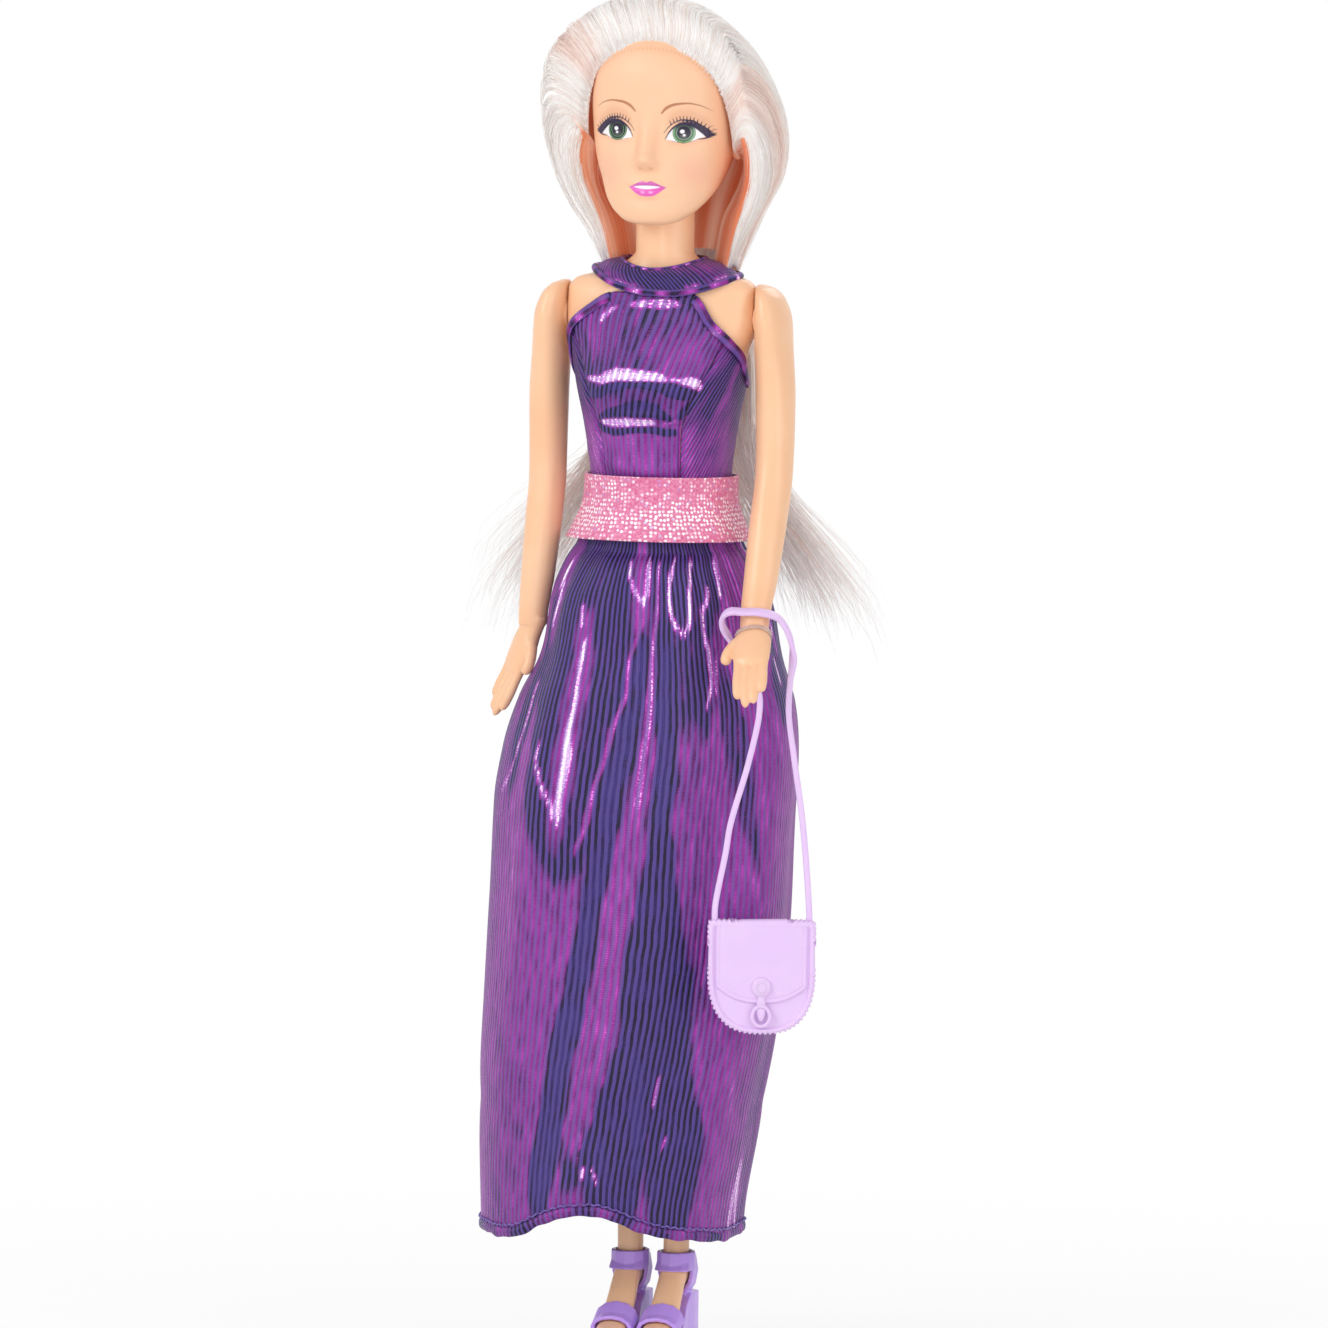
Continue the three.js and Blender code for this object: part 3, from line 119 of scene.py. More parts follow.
def waves(seed, place, count, low, high):
    """Smooth noise in one or two coordinates: the mean of count sines of random phase and frequency."""
    rng = np.random.default_rng(seed)
    place = [np.asarray(p, float) for p in (place if isinstance(place, tuple) else (place,))]
    total = 0
    for _ in range(count):
        pitch = rng.uniform(low, high)
        turn = rng.uniform(0, 2 * math.pi)
        ways = rng.normal(size=len(place))
        ways = ways / np.linalg.norm(ways) * pitch
        total = total + np.sin(sum(w * p for w, p in zip(ways, place)) + turn)
    return total / math.sqrt(count)


# Meshes from grids and tubes

def piece_from(name, verts, quads, tris, uv=None, marks=None):
    """A mesh object from points in mm and numpy faces; uv has one pair per face corner."""
    mesh = bpy.data.meshes.new(name)
    corners = np.concatenate([quads.ravel(), tris.ravel()]).astype(np.int32)
    starts = np.concatenate([np.arange(len(quads)) * 4, len(quads) * 4 + np.arange(len(tris)) * 3])
    mesh.vertices.add(len(verts))
    mesh.vertices.foreach_set("co", (verts * MM).astype(np.float32).ravel())
    mesh.loops.add(len(corners))
    mesh.loops.foreach_set("vertex_index", corners)
    mesh.polygons.add(len(starts))
    mesh.polygons.foreach_set("loop_start", starts.astype(np.int32))
    mesh.update(calc_edges=True)
    if uv is not None:
        layer = mesh.uv_layers.new(name="UVMap")
        layer.uv.foreach_set("vector", uv.astype(np.float32).ravel())
    for key, values in (marks or {}).items():
        kind = "FLOAT" if values.ndim == 1 else "FLOAT_COLOR"
        layer = mesh.attributes.new(key, kind, "POINT")
        if kind == "FLOAT":
            layer.data.foreach_set("value", values.astype(np.float32))
        else:
            layer.data.foreach_set("color", values.astype(np.float32).ravel())
    mesh.shade_smooth()
    mesh.validate()
    thing = bpy.data.objects.new(name, mesh)
    bpy.context.scene.collection.objects.link(thing)
    return thing


def grid_faces(rows, cols, around):
    """Quads over a grid, as corner numbers row by row; around joins the last column to the first."""
    i, j = np.meshgrid(np.arange(rows - 1), np.arange(cols if around else cols - 1), indexing="ij")
    k = (j + 1) % cols
    quads = np.stack([i * cols + j, i * cols + k, (i + 1) * cols + k, (i + 1) * cols + j], -1)
    return quads.reshape(-1, 4)


def grid_piece(name, grid, around=False, closed=(False, False), uv=None, marks=None, flip=False):
    """A surface over a grid of points, rows by columns, with a pole in the middle of a closed end."""
    rows, cols = grid.shape[:2]
    quads = grid_faces(rows, cols, around)
    verts = grid.reshape(-1, 3)
    corners = None
    if uv is not None:
        span = uv.shape[1] - 1
        a, b = uv[:-1, :span], uv[:-1, 1:]
        c, d = uv[1:, 1:], uv[1:, :span]
        corners = np.stack([a, b, c, d], 2).reshape(-1, 2)
    tris = np.zeros((0, 3), int)
    marks = {key: value.reshape(rows * cols, *value.shape[2:]) for key, value in (marks or {}).items()}
    for end, row in ((0, 0), (1, rows - 1)):
        if not closed[end]:
            continue
        ring = row * cols + np.arange(cols)
        pole = len(verts)
        verts = np.vstack([verts, grid[row].mean(0)])
        pair = [np.roll(ring, -1), ring] if end == 0 else [ring, np.roll(ring, -1)]
        tris = np.vstack([tris, np.stack([np.full(cols, pole), *pair], -1)])
        for key in marks:
            marks[key] = np.concatenate([marks[key], marks[key][ring].mean(0, keepdims=True)])
        if corners is not None:
            edge = uv[row, :, :]
            first, second = (edge[1:], edge[:-1]) if end == 0 else (edge[:-1], edge[1:])
            middle = (edge[1:] + edge[:-1]) / 2
            corners = np.vstack([corners, np.stack([middle, first, second], 1).reshape(-1, 2)])
    if flip:
        quads, tris = quads[:, ::-1], tris[:, ::-1]
        if corners is not None:
            split = len(quads) * 4
            corners = np.vstack([corners[:split].reshape(-1, 4, 2)[:, ::-1].reshape(-1, 2),
                                 corners[split:].reshape(-1, 3, 2)[:, ::-1].reshape(-1, 2)])
    return piece_from(name, verts, quads, tris, corners, marks)


def unit(v):
    """Vectors divided by their lengths."""
    return v / np.maximum(np.linalg.norm(v, axis=-1, keepdims=True), 1e-9)


def swept(paths, radii, sides, across=(0, 1, 0), flat=1.0):
    """Rings round paths (k, n, 3): centre + r cos(a) side + flat r sin(a) other, where side is square to
    the path and to the given direction, and other is the path's direction crossed with side."""
    along = unit(np.gradient(paths, axis=-2))
    side = unit(np.cross(along, np.asarray(across, float)))
    other = np.cross(along, side)
    angle = np.arange(sides) * 2 * math.pi / sides
    reach = np.asarray(radii)[..., None, None]
    return (paths[..., None, :] + reach * (np.cos(angle)[:, None] * side[..., None, :]
            + flat * np.sin(angle)[:, None] * other[..., None, :]))


def tubes_piece(name, paths, radii, sides, across=(0, 1, 0), flat=1.0, marks=None):
    """One mesh of many closed tubes, each with a pole at both ends. U runs round and V along."""
    count, steps = paths.shape[:2]
    rings = swept(paths, radii, sides, across, flat)
    each = steps * sides
    base = grid_faces(steps, sides, True)
    quads = (base[None] + (np.arange(count) * (each + 2))[:, None, None]).reshape(-1, 4)
    verts = np.concatenate([rings.reshape(count, each, 3), paths[:, :1], paths[:, -1:]], 1)
    ring = np.arange(sides)
    nxt = np.roll(ring, -1)
    low = np.stack([np.full(sides, each), nxt, ring], -1)
    high = np.stack([np.full(sides, each + 1), ring + each - sides, nxt + each - sides], -1)
    tris = (np.vstack([low, high])[None] + (np.arange(count) * (each + 2))[:, None, None]).reshape(-1, 3)
    given = {}
    for key, values in (marks or {}).items():
        spread = np.broadcast_to(np.asarray(values, float)[:, None], (count, each + 2))
        given[key] = spread.reshape(-1)
    place = (np.arange(steps) / (steps - 1))[:, None, None]
    uv = np.concatenate([np.broadcast_to((np.arange(sides + 1) / sides)[None, :, None],
                                         (steps, sides + 1, 1)),
                         np.broadcast_to(place, (steps, sides + 1, 1))], -1)
    quad_uv = np.stack([uv[:-1, :-1], uv[:-1, 1:], uv[1:, 1:], uv[1:, :-1]], 2).reshape(-1, 2)
    end_uv = np.zeros((len(low) * 3, 2))
    tip_uv = np.ones((len(high) * 3, 2))
    corners = np.vstack([np.tile(quad_uv, (count, 1)), np.tile(np.vstack([end_uv, tip_uv]), (count, 1))])
    return piece_from(name, verts.reshape(-1, 3), quads, tris, corners, given)


def sheet_piece(name, outer, inner, around=False, uv=None, marks=None, flip=False):
    """A closed sheet between an outer and an inner grid: outer rows forward, then inner rows back,
    joined into one belt that closes on itself."""
    grid = np.concatenate([outer, inner[::-1], outer[:1]], 0)
    rows = len(outer)
    total = 2 * rows
    cols = grid.shape[1]
    quads = grid_faces(total + 1, cols, around)
    quads = np.where(quads >= total * cols, quads - total * cols, quads)
    verts = grid[:total].reshape(-1, 3)
    corners = None
    if uv is not None:
        full = np.concatenate([uv, uv[::-1], uv[:1]], 0)
        corners = np.stack([full[:-1, :-1], full[:-1, 1:], full[1:, 1:], full[1:, :-1]], 2)
        corners = corners.reshape(-1, 4, 2)
    if not around:
        side = []
        for col in (0, cols - 1):
            lower = np.arange(rows - 1) * cols + col
            upper = lower + cols
            mirror_low = (total - 1 - np.arange(rows - 1)) * cols + col
            mirror_high = mirror_low - cols
            face = np.stack([lower, upper, mirror_high, mirror_low], -1)
            side.append(face if col == 0 else face[:, ::-1])
            if corners is not None:
                edge = np.stack([uv[:-1, col], uv[1:, col], uv[1:, col], uv[:-1, col]], 1)
                corners = np.vstack([corners, edge if col == 0 else edge[:, ::-1]])
        quads = np.vstack([quads, *side])
    if flip:
        quads = quads[:, ::-1]
        corners = None if corners is None else corners[:, ::-1]
    given = {}
    for key, value in (marks or {}).items():
        front, behind = value if isinstance(value, tuple) else (value, value)
        both = np.concatenate([front, behind[::-1]], 0)
        given[key] = both.reshape(total * cols, *front.shape[2:])
    corners = None if corners is None else corners.reshape(-1, 2)
    return piece_from(name, verts, quads, np.zeros((0, 3), int), corners, given)


def finish_with(thing, modifiers):
    """Puts modifiers on a piece, one after the other, and makes their result its mesh."""
    for kind, settings in modifiers:
        made = thing.modifiers.new(kind.lower(), kind)
        for key, value in settings.items():
            setattr(made, key, value)
    bpy.context.view_layer.update()
    result = bpy.data.meshes.new_from_object(thing.evaluated_get(bpy.context.evaluated_depsgraph_get()))
    thing.modifiers.clear()
    thing.data = result
    thing.data.shade_smooth()
    return thing


def joined(name, things):
    """Several meshes as one."""
    bpy.ops.object.select_all(action="DESELECT")
    for thing in things:
        thing.select_set(True)
    bpy.context.view_layer.objects.active = things[0]
    bpy.ops.object.join()
    things[0].name = name
    things[0].data.name = name
    return things[0]


def softened(name, node, voxel, rounds):
    """A smooth copy of a CAD solid: its corners are merged, it is meshed anew in even cells, each point
    is moved towards the mean of its neighbours some rounds, and half of the faces are merged away."""
    mesh = nodes[node].data.copy()
    mesh.name = name
    mesh.materials.clear()
    thing = bpy.data.objects.new(name, mesh)
    bpy.context.scene.collection.objects.link(thing)
    finish_with(thing, [
        WELD,
        ("REMESH", {"mode": "VOXEL", "voxel_size": voxel * MM}),
        ("SMOOTH", {"factor": 0.5, "iterations": rounds}),
        ("DECIMATE", {"ratio": 0.5}),
    ])
    return thing


def dress_up(thing, body, slot, finish, *replaced):
    """Gives a piece its finish, its body and the solids that it stands for. The slot is not used."""
    thing.data.materials.clear()
    thing.data.materials.append(finish)
    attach(thing, body)
    if replaced:
        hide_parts(*replaced)
    return thing


# Finishes

def add(tree, kind, inputs=(), out=0, stops=(), **settings):
    """Adds one node with its settings and links and gives back one of its outputs, or the node itself
    where out is None. Inputs are in order or named, each a value or the socket that feeds it. Stops are
    a colour ramp's places and hex colours."""
    made = tree.nodes.new("ShaderNode" + kind)
    for key, value in settings.items():
        setattr(made, key, value)
    for key, value in (inputs if isinstance(inputs, dict) else dict(enumerate(inputs))).items():
        if isinstance(value, bpy.types.NodeSocket):
            tree.links.new(value, made.inputs[key])
        else:
            made.inputs[key].default_value = value
    if stops:
        while len(made.color_ramp.elements) < len(stops):
            made.color_ramp.elements.new(0.5)
        for element, (place, colour) in zip(made.color_ramp.elements, stops):
            element.position = place
            element.color = linear(colour)
    return made if out is None else made.outputs[out]


def fresh(name):
    """A material with one Principled shader, and its tree and shader."""
    made = bpy.data.materials.new(name)
    made.use_nodes = True
    tree = made.node_tree
    tree.nodes.clear()
    shader = add(tree, "BsdfPrincipled", out=None)
    add(tree, "OutputMaterial", (shader.outputs[0],), None)
    return made, tree, shader


def feed(tree, shader, **inputs):
    """Sets or links the shader's sockets; underscores stand for the spaces in their names."""
    for key, value in inputs.items():
        socket = shader.inputs[key.replace("_", " ")]
        if isinstance(value, bpy.types.NodeSocket):
            tree.links.new(value, socket)
        else:
            socket.default_value = value


def moulded_plastic(name, colour, deep, gloss):
    """Injection-moulded body plastic: even colour with a faint drift, a satin sheen from the polished
    tool, and a fine texture of about 0.4 mm that breaks the highlight."""
    made, tree, shader = fresh(name)
    place = add(tree, "TexCoord", out="Object")
    drift = add(tree, "TexNoise", {"Vector": place, "Scale": 60, "Detail": 3})
    grain = add(tree, "TexNoise", {"Vector": place, "Scale": 2400, "Detail": 2})
    share = add(tree, "ValToRGB", (drift,), stops=[(0.3, "#000000"), (0.75, "#ffffff")])
    feed(tree, shader,
         Base_Color=add(tree, "Mix", {0: share, 6: linear(colour), 7: linear(deep)}, 2, data_type="RGBA"),
         Roughness=add(tree, "Math", (drift, 0.12, gloss - 0.05), operation="MULTIPLY_ADD"),
         Subsurface_Weight=0.12, Subsurface_Radius=(1.0, 0.35, 0.2), Subsurface_Scale=0.0012, IOR=1.5,
         Normal=add(tree, "Bump", {"Height": grain, "Distance": 0.00001, "Strength": 0.25}))
    return made


def painted_vinyl(name):
    """Rotocast soft vinyl with pad-printed face paint: the colour comes from the paint attribute, which also
    holds painted shade and painted highlights, the vinyl is satin, and light goes a little way in, which warms
    the shadows."""
    made, tree, shader = fresh(name)
    place = add(tree, "TexCoord", out="Object")
    grain = add(tree, "TexNoise", {"Vector": place, "Scale": 2600, "Detail": 2})
    shine = add(tree, "Attribute", out="Fac", attribute_name="shine")
    feed(tree, shader, Base_Color=add(tree, "Attribute", out="Color", attribute_name="paint"),
         Roughness=add(tree, "Math", (shine, -0.3, 0.48), operation="MULTIPLY_ADD"),
         Subsurface_Weight=0.1, Subsurface_Radius=(1.0, 0.35, 0.2), Subsurface_Scale=0.001, IOR=1.5,
         Normal=add(tree, "Bump", {"Height": grain, "Distance": 0.00001, "Strength": 0.2}))
    return made


def combed_fibre(name, cool, warm_shade_glow):
    """Combed synthetic hair: thousands of smooth filaments of about 0.08 mm, so fine streaks run along
    V, and the shine stretches across them. A streak is drawn about 0.2 mm wide so that it shows. The
    warm_shade_glow attribute is painted shade: it turns the platinum to the peach and rust of the shaded
    inner side. A weak painted glow of the same colour, stronger where that painted shade is, stands for the
    light that passes from strand to strand, which a solid lock would stop."""
    made, tree, shader = fresh(name)
    uv = add(tree, "UVMap", uv_map="UVMap")
    tone = add(tree, "Attribute", out="Fac", attribute_name="tone")
    shade = add(tree, "Attribute", out="Fac", attribute_name="warm_shade_glow")
    fine_place = add(tree, "Mapping", {"Vector": uv, "Scale": (260, 2.2, 1)})
    wide_place = add(tree, "Mapping", {"Vector": uv, "Scale": (260 / 9, 1, 1)})
    fine = add(tree, "TexNoise", {"Vector": fine_place, "Scale": 1.0, "Detail": 3, "Roughness": 0.6})
    wide = add(tree, "TexNoise", {"Vector": wide_place, "Scale": 1.0, "Detail": 2, "Roughness": 0.5})
    fine_part = add(tree, "Math", (fine, 0.45), operation="MULTIPLY")
    wide_part = add(tree, "Math", (wide, 0.4), operation="MULTIPLY")
    tone_part = add(tree, "Math", (tone, 0.3), operation="MULTIPLY")
    mixed = add(tree, "Math", (fine_part, wide_part), operation="ADD")
    level = add(tree, "Math", (mixed, tone_part), operation="ADD")
    outer = add(tree, "ValToRGB", (level,), stops=cool)
    inner = add(tree, "ValToRGB", (level,), stops=warm_shade_glow)
    colour = add(tree, "Mix", {0: shade, 6: outer, 7: inner}, 2, data_type="RGBA")
    feed(tree, shader, Base_Color=colour,
         Roughness=add(tree, "Math", (fine, 0.2, 0.34), operation="MULTIPLY_ADD"),
         Anisotropic=0.6, Sheen_Weight=0.15, Subsurface_Weight=0.15,
         Subsurface_Radius=(1.0, 0.6, 0.4), Subsurface_Scale=0.003, Emission_Color=colour,
         Emission_Strength=add(tree, "Math", (shade, 0.08, 0.06), operation="MULTIPLY_ADD"),
         Normal=add(tree, "Bump", {"Height": fine, "Distance": 0.0001, "Strength": 0.5}))
    return made


def ribbed_foil(name, threads, foils):
    """Ribbed knit printed with metallic foil: violet polyester ribs 1.25 mm apart with foil in the
    furrows between them, broken by the knit into dashes of 0.5 mm. The painted_gleam attribute is painted
    reflection, highlight and shade, and says how bright the cloth is coloured: 0 where the ribs are pressed
    together, 0.2 for a painted dark reflection in a hollow that mirrors the dark room, 0.55 on the flat and
    1 for a painted highlight on a crease. Each rib has its own drift, so the edge of a painted streak steps
    from rib to rib, and between flat and crease the foil breaks into painted sparks. U counts the ribs and V
    is in millimetres along them."""
    made, tree, shader = fresh(name)
    uv = add(tree, "UVMap", uv_map="UVMap")
    split = add(tree, "SeparateXYZ", (uv,), None).outputs
    painted_gleam = add(tree, "Attribute", out="Fac", attribute_name="painted_gleam")
    bend_place = add(tree, "Mapping", {"Vector": uv, "Scale": (0.4, 0.16, 1)})
    bend = add(tree, "TexNoise", {"Vector": bend_place, "Scale": 1.0})
    across = add(tree, "Math", (bend, 0.5, split[0]), operation="MULTIPLY_ADD")
    turn = add(tree, "Math", (across, 2 * math.pi), operation="MULTIPLY")
    wave = add(tree, "Math", (turn,), operation="SINE")
    furrow = add(tree, "MapRange", {"Value": wave, "From Min": -0.15, "From Max": 0.35})
    shifted = add(tree, "Math", (across, 0.25), operation="ADD")
    rib = add(tree, "Math", (shifted,), operation="FLOOR")
    rib_place = add(tree, "Math", (rib, 7.31), operation="MULTIPLY")
    slow_along = add(tree, "Math", (split[1], 0.16), operation="MULTIPLY")
    own_place = add(tree, "CombineXYZ", (rib_place, slow_along))
    own = add(tree, "TexNoise", {"Vector": own_place, "Scale": 1.0, "Detail": 1})
    dashes = add(tree, "Math", (split[1], 2 * math.pi / 0.5), operation="MULTIPLY")
    knit = add(tree, "Math", (dashes,), operation="SINE")
    speck_place = add(tree, "Mapping", {"Vector": uv, "Scale": (2.3, 2.6, 1)})
    speck = add(tree, "TexNoise", {"Vector": speck_place, "Scale": 1.0, "Detail": 1})
    own_lift = add(tree, "Math", (own, 0.5, -0.25), operation="MULTIPLY_ADD")
    speck_lift = add(tree, "Math", (speck, 0.2, -0.1), operation="MULTIPLY_ADD")
    lift = add(tree, "Math", (own_lift, speck_lift), operation="ADD")
    lift = add(tree, "Math", (knit, 0.02, lift), operation="MULTIPLY_ADD")
    near_crease = add(tree, "MapRange", {"Value": painted_gleam, "From Min": 0.56, "From Max": 0.72})
    spark = add(tree, "MapRange", {"Value": speck, "From Min": 0.52, "From Max": 0.6})
    sparks = add(tree, "Math", (near_crease, spark), operation="MULTIPLY")
    lift = add(tree, "Math", (sparks, 0.22, lift), operation="MULTIPLY_ADD")
    level = add(tree, "Math", (painted_gleam, lift), operation="ADD", use_clamp=True)
    thread_level = add(tree, "Math", (lift, 0.4, painted_gleam), operation="MULTIPLY_ADD")
    foil_colour = add(tree, "ValToRGB", (level,), stops=foils)
    thread_colour = add(tree, "ValToRGB", (thread_level,), stops=threads)
    ridge = add(tree, "Math", (wave, -1.0), operation="MULTIPLY")
    height = add(tree, "Math", (knit, 0.15, ridge), operation="MULTIPLY_ADD")
    feed(tree, shader,
         Base_Color=add(tree, "Mix", {0: furrow, 6: thread_colour, 7: foil_colour}, 2, data_type="RGBA"),
         Metallic=add(tree, "Math", (furrow, 0.5), operation="MULTIPLY"),
         Roughness=add(tree, "Math", (furrow, -0.14, 0.52), operation="MULTIPLY_ADD"),
         Sheen_Weight=0.12, Sheen_Roughness=0.4,
         Normal=add(tree, "Bump", {"Height": height, "Distance": 0.00014, "Strength": 0.7}))
    return made


def glitter_cloth(name):
    """Cloth with hot-fixed glitter dots 0.9 mm apart in slightly drifting rows, each about 0.6 mm
    across: rose ground with a fine painted glint between, and dots that are pale rose, each a little
    brighter or paler at random, and painted silver white as a highlight where the painted_gleam says the
    sash turns to the light, with a few violet ones. U and V are in millimetres."""
    made, tree, shader = fresh(name)
    uv = add(tree, "UVMap", uv_map="UVMap")
    painted_gleam = add(tree, "Attribute", out="Fac", attribute_name="painted_gleam")
    cells = add(tree, "TexVoronoi", {"Vector": uv, "Scale": 1.12, "Randomness": 0.5}, None,
                voronoi_dimensions="2D").outputs
    dot = add(tree, "MapRange", {"Value": cells["Distance"], "From Min": 0.24, "From Max": 0.4,
                                 "To Min": 1.0, "To Max": 0.0})
    chance = add(tree, "SeparateXYZ", (cells["Color"],), None).outputs
    wide = add(tree, "TexNoise", {"Vector": uv, "Scale": 0.35, "Detail": 2})
    drift = add(tree, "Math", (wide, 0.5, -0.25), operation="MULTIPLY_ADD")
    lit = add(tree, "Math", (painted_gleam, 0.7, drift), operation="MULTIPLY_ADD")
    own = add(tree, "Math", (chance[0], 0.7), operation="MULTIPLY")
    bright = add(tree, "Math", (own, lit), operation="ADD", use_clamp=True)
    dots = add(tree, "ValToRGB", (bright,), stops=[(0.2, "#d4628f"), (0.42, "#eb93b6"), (0.62, "#fbd3e0"),
                                                   (0.82, "#fffafc")])
    odd = add(tree, "Math", (chance[1], 0.93), operation="GREATER_THAN")
    violet = add(tree, "Math", (odd, 0.6), operation="MULTIPLY")
    dots = add(tree, "Mix", {0: violet, 6: dots, 7: linear("#b391d6")}, 2, data_type="RGBA")
    glint = add(tree, "TexNoise", {"Vector": uv, "Scale": 3.2, "Detail": 1})
    wide_part = add(tree, "Math", (wide, 0.2), operation="MULTIPLY")
    ground_level = add(tree, "Math", (glint, 0.8, wide_part), operation="MULTIPLY_ADD")
    ground = add(tree, "ValToRGB", (ground_level,), stops=[(0.3, "#cd5d8b"), (0.55, "#da7aa2"),
                                                           (0.68, "#eda9c4")])
    feed(tree, shader, Base_Color=add(tree, "Mix", {0: dot, 6: ground, 7: dots}, 2, data_type="RGBA"),
         Metallic=add(tree, "Math", (dot, 0.25), operation="MULTIPLY"),
         Roughness=add(tree, "Math", (dot, -0.3, 0.62), operation="MULTIPLY_ADD"), Sheen_Weight=0.15,
         Normal=add(tree, "Bump", {"Height": dot, "Distance": 0.00008, "Strength": 0.5}))
    return made


def twisted_thread(name):
    """Violet polyester thread: a fine slanting twist of two tones about 0.3 mm apart, with a soft sheen."""
    made, tree, shader = fresh(name)
    place = add(tree, "Mapping", {"Vector": add(tree, "TexCoord", out="Object"), "Rotation": (0.6, 0.4, 0.3),
                                  "Scale": (2500, 900, 2500)})
    twist = add(tree, "TexNoise", {"Vector": place, "Scale": 1.0, "Detail": 2})
    feed(tree, shader, Roughness=0.55, Sheen_Weight=0.3,
         Base_Color=add(tree, "ValToRGB", (twist,), stops=[(0.35, "#4a2f80"), (0.6, "#7a5bb8")]),
         Normal=add(tree, "Bump", {"Height": twist, "Distance": 0.00008, "Strength": 0.6}))
    return made


def soft_plastic(name, colour, deep, gloss):
    """Soft moulded PVC: satin, faintly uneven, with a little light coming through its edges."""
    made, tree, shader = fresh(name)
    place = add(tree, "TexCoord", out="Object")
    drift = add(tree, "TexNoise", {"Vector": place, "Scale": 120, "Detail": 3})
    grain = add(tree, "TexNoise", {"Vector": place, "Scale": 3200, "Detail": 2})
    feed(tree, shader,
         Base_Color=add(tree, "Mix", {0: drift, 6: linear(colour), 7: linear(deep)}, 2, data_type="RGBA"),
         Roughness=add(tree, "Math", (drift, 0.15, gloss - 0.07), operation="MULTIPLY_ADD"),
         Subsurface_Weight=0.15, Subsurface_Radius=(0.8, 0.5, 1.0), Subsurface_Scale=0.001, IOR=1.5,
         Normal=add(tree, "Bump", {"Height": grain, "Distance": 0.00001, "Strength": 0.3}))
    return made


def clear_elastic(name):
    """Clear polyurethane elastic: thin, glossy and nearly colourless."""
    made, tree, shader = fresh(name)
    place = add(tree, "TexCoord", out="Object")
    uneven = add(tree, "TexNoise", {"Vector": place, "Scale": 1500, "Detail": 1})
    feed(tree, shader, Base_Color=linear("#f1e6e2"), Roughness=0.15, Transmission_Weight=0.75, IOR=1.45,
         Normal=add(tree, "Bump", {"Height": uneven, "Distance": 0.00002, "Strength": 0.3}))
    return made


def hook_tape(name):
    """Hook and loop tape: dull nylon fuzz about 0.3 mm apart."""
    made, tree, shader = fresh(name)
    place = add(tree, "TexCoord", out="Object")
    cells = add(tree, "TexVoronoi", {"Vector": place, "Scale": 3300.0}, "Distance")
    feed(tree, shader, Roughness=0.9, Sheen_Weight=0.3,
         Base_Color=add(tree, "ValToRGB", (cells,), stops=[(0.1, "#5a3b7c"), (0.6, "#332047")]),
         Normal=add(tree, "Bump", {"Height": cells, "Distance": 0.0001, "Strength": 0.6}))
    return made


# Thread and foil colours from dark to bright, read at the painted_gleam: lit and shaded copies of the cloth's
# colours, from painted shade and dark reflection to painted highlight.
THREADS = [(0.0, "#43307f"), (0.22, "#472f86"), (0.4, "#5f378e"), (0.55, "#793f99"), (0.72, "#8e4fab"),
           (0.86, "#b98ad4"), (1.0, "#f0cdf7")]
FOILS = [(0.0, "#34256c"), (0.1, "#251650"), (0.2, "#100622"), (0.31, "#1a0836"), (0.41, "#601869"),
         (0.53, "#8e278f"), (0.66, "#ac3cab"), (0.8, "#e98cee"), (0.97, "#fff2ff")]
body_plastic = moulded_plastic("moulded_body_plastic", "#f6c7a0", "#f2bc92", 0.32)
neck_plastic = moulded_plastic("moulded_neck_plastic", "#e6e2da", "#dcd7cc", 0.55)
face_vinyl = painted_vinyl("painted_face_vinyl")
hair_fibre = combed_fibre("combed_hair_fibre", [(0.28, "#e6d2c4"), (0.48, "#f1e7e1"), (0.68, "#fffdfb")],
                          [(0.3, "#c9501f"), (0.52, "#d97a4c"), (0.75, "#efbfa4")])
sewing_thread = twisted_thread("violet_sewing_thread")
dress_foil = ribbed_foil("ribbed_foil_cloth", THREADS, FOILS)
sash_cloth = glitter_cloth("glitter_dot_cloth")
bag_pvc = soft_plastic("lavender_bag_plastic", "#e6caf1", "#dfbfee", 0.45)
shoe_pvc = soft_plastic("lilac_shoe_plastic", "#c39df0", "#b88fe8", 0.3)
elastic = clear_elastic("clear_elastic")
tape = hook_tape("hook_and_loop_tape")


# Body sections, from the same tables as the solids

TORSO = [
    [-5, 18.8, 10.4, 12.2, 0],
    [0, 18.8, 10.4, 12.2, 0],
    [8.8, 18.8, 10.4, 12.2, 0],
    [23.04, 16.4, 10.4, 10, 0],
    [32, 14, 9.6, 7.8, 0],
    [47, 15.6, 11.2, 7.8, 0],
    [56, 17.2, 13.4, 8.6, 0],
    [63, 18.85, 11.256, 8.6, 0],
    [70, 21.115, 8.6, 8.6, 0],
    [75.66, 20.91, 7.396, 8.084, 0],
    [78, 19.065, 6.364, 6.88, 0],
    [79.248, 14.76, 6.02, 6.536, 0.5],
    [81.51, 8.68, 6.2, 6.572, 1],
    [84, 6.2, 6.2, 6.2, 1],
    [100, 6.2, 6.2, 6.2, 1],
]


def oval(angle, wide, front, back, power=2.0, x=0.0, y=0.0, z=0.0):
    """A superellipse: the cosine and sine of the angle, each to the power 2/p with its sign kept, times
    the half width and the half depth, which is front below the X axis and back above it."""
    c, s = np.cos(angle), np.sin(angle)
    depth = np.where(s < 0, front, back)
    px = x + np.sign(c) * wide * np.abs(c) ** (2 / power)
    py = y + np.sign(s) * depth * np.abs(s) ** (2 / power)
    return np.stack(np.broadcast_arrays(px, py, z), -1)


def torso_at(rise, angle, offset=0.0):
    """Points on the torso at rises above the hip and angles round it, pushed out by an offset."""
    row = station(TORSO, rise)
    wide, front, back, y = (row[..., k] for k in range(4))
    power = np.where(rise < 80.34, 2.2, 2.0)
    return oval(angle, wide + offset, front + offset, back + offset, power, 0.0, y, HIP + rise)


def round_angles(sides):
    """Angles once round, without the last."""
    return np.arange(sides) * 2 * math.pi / sides


# Head with its painted face

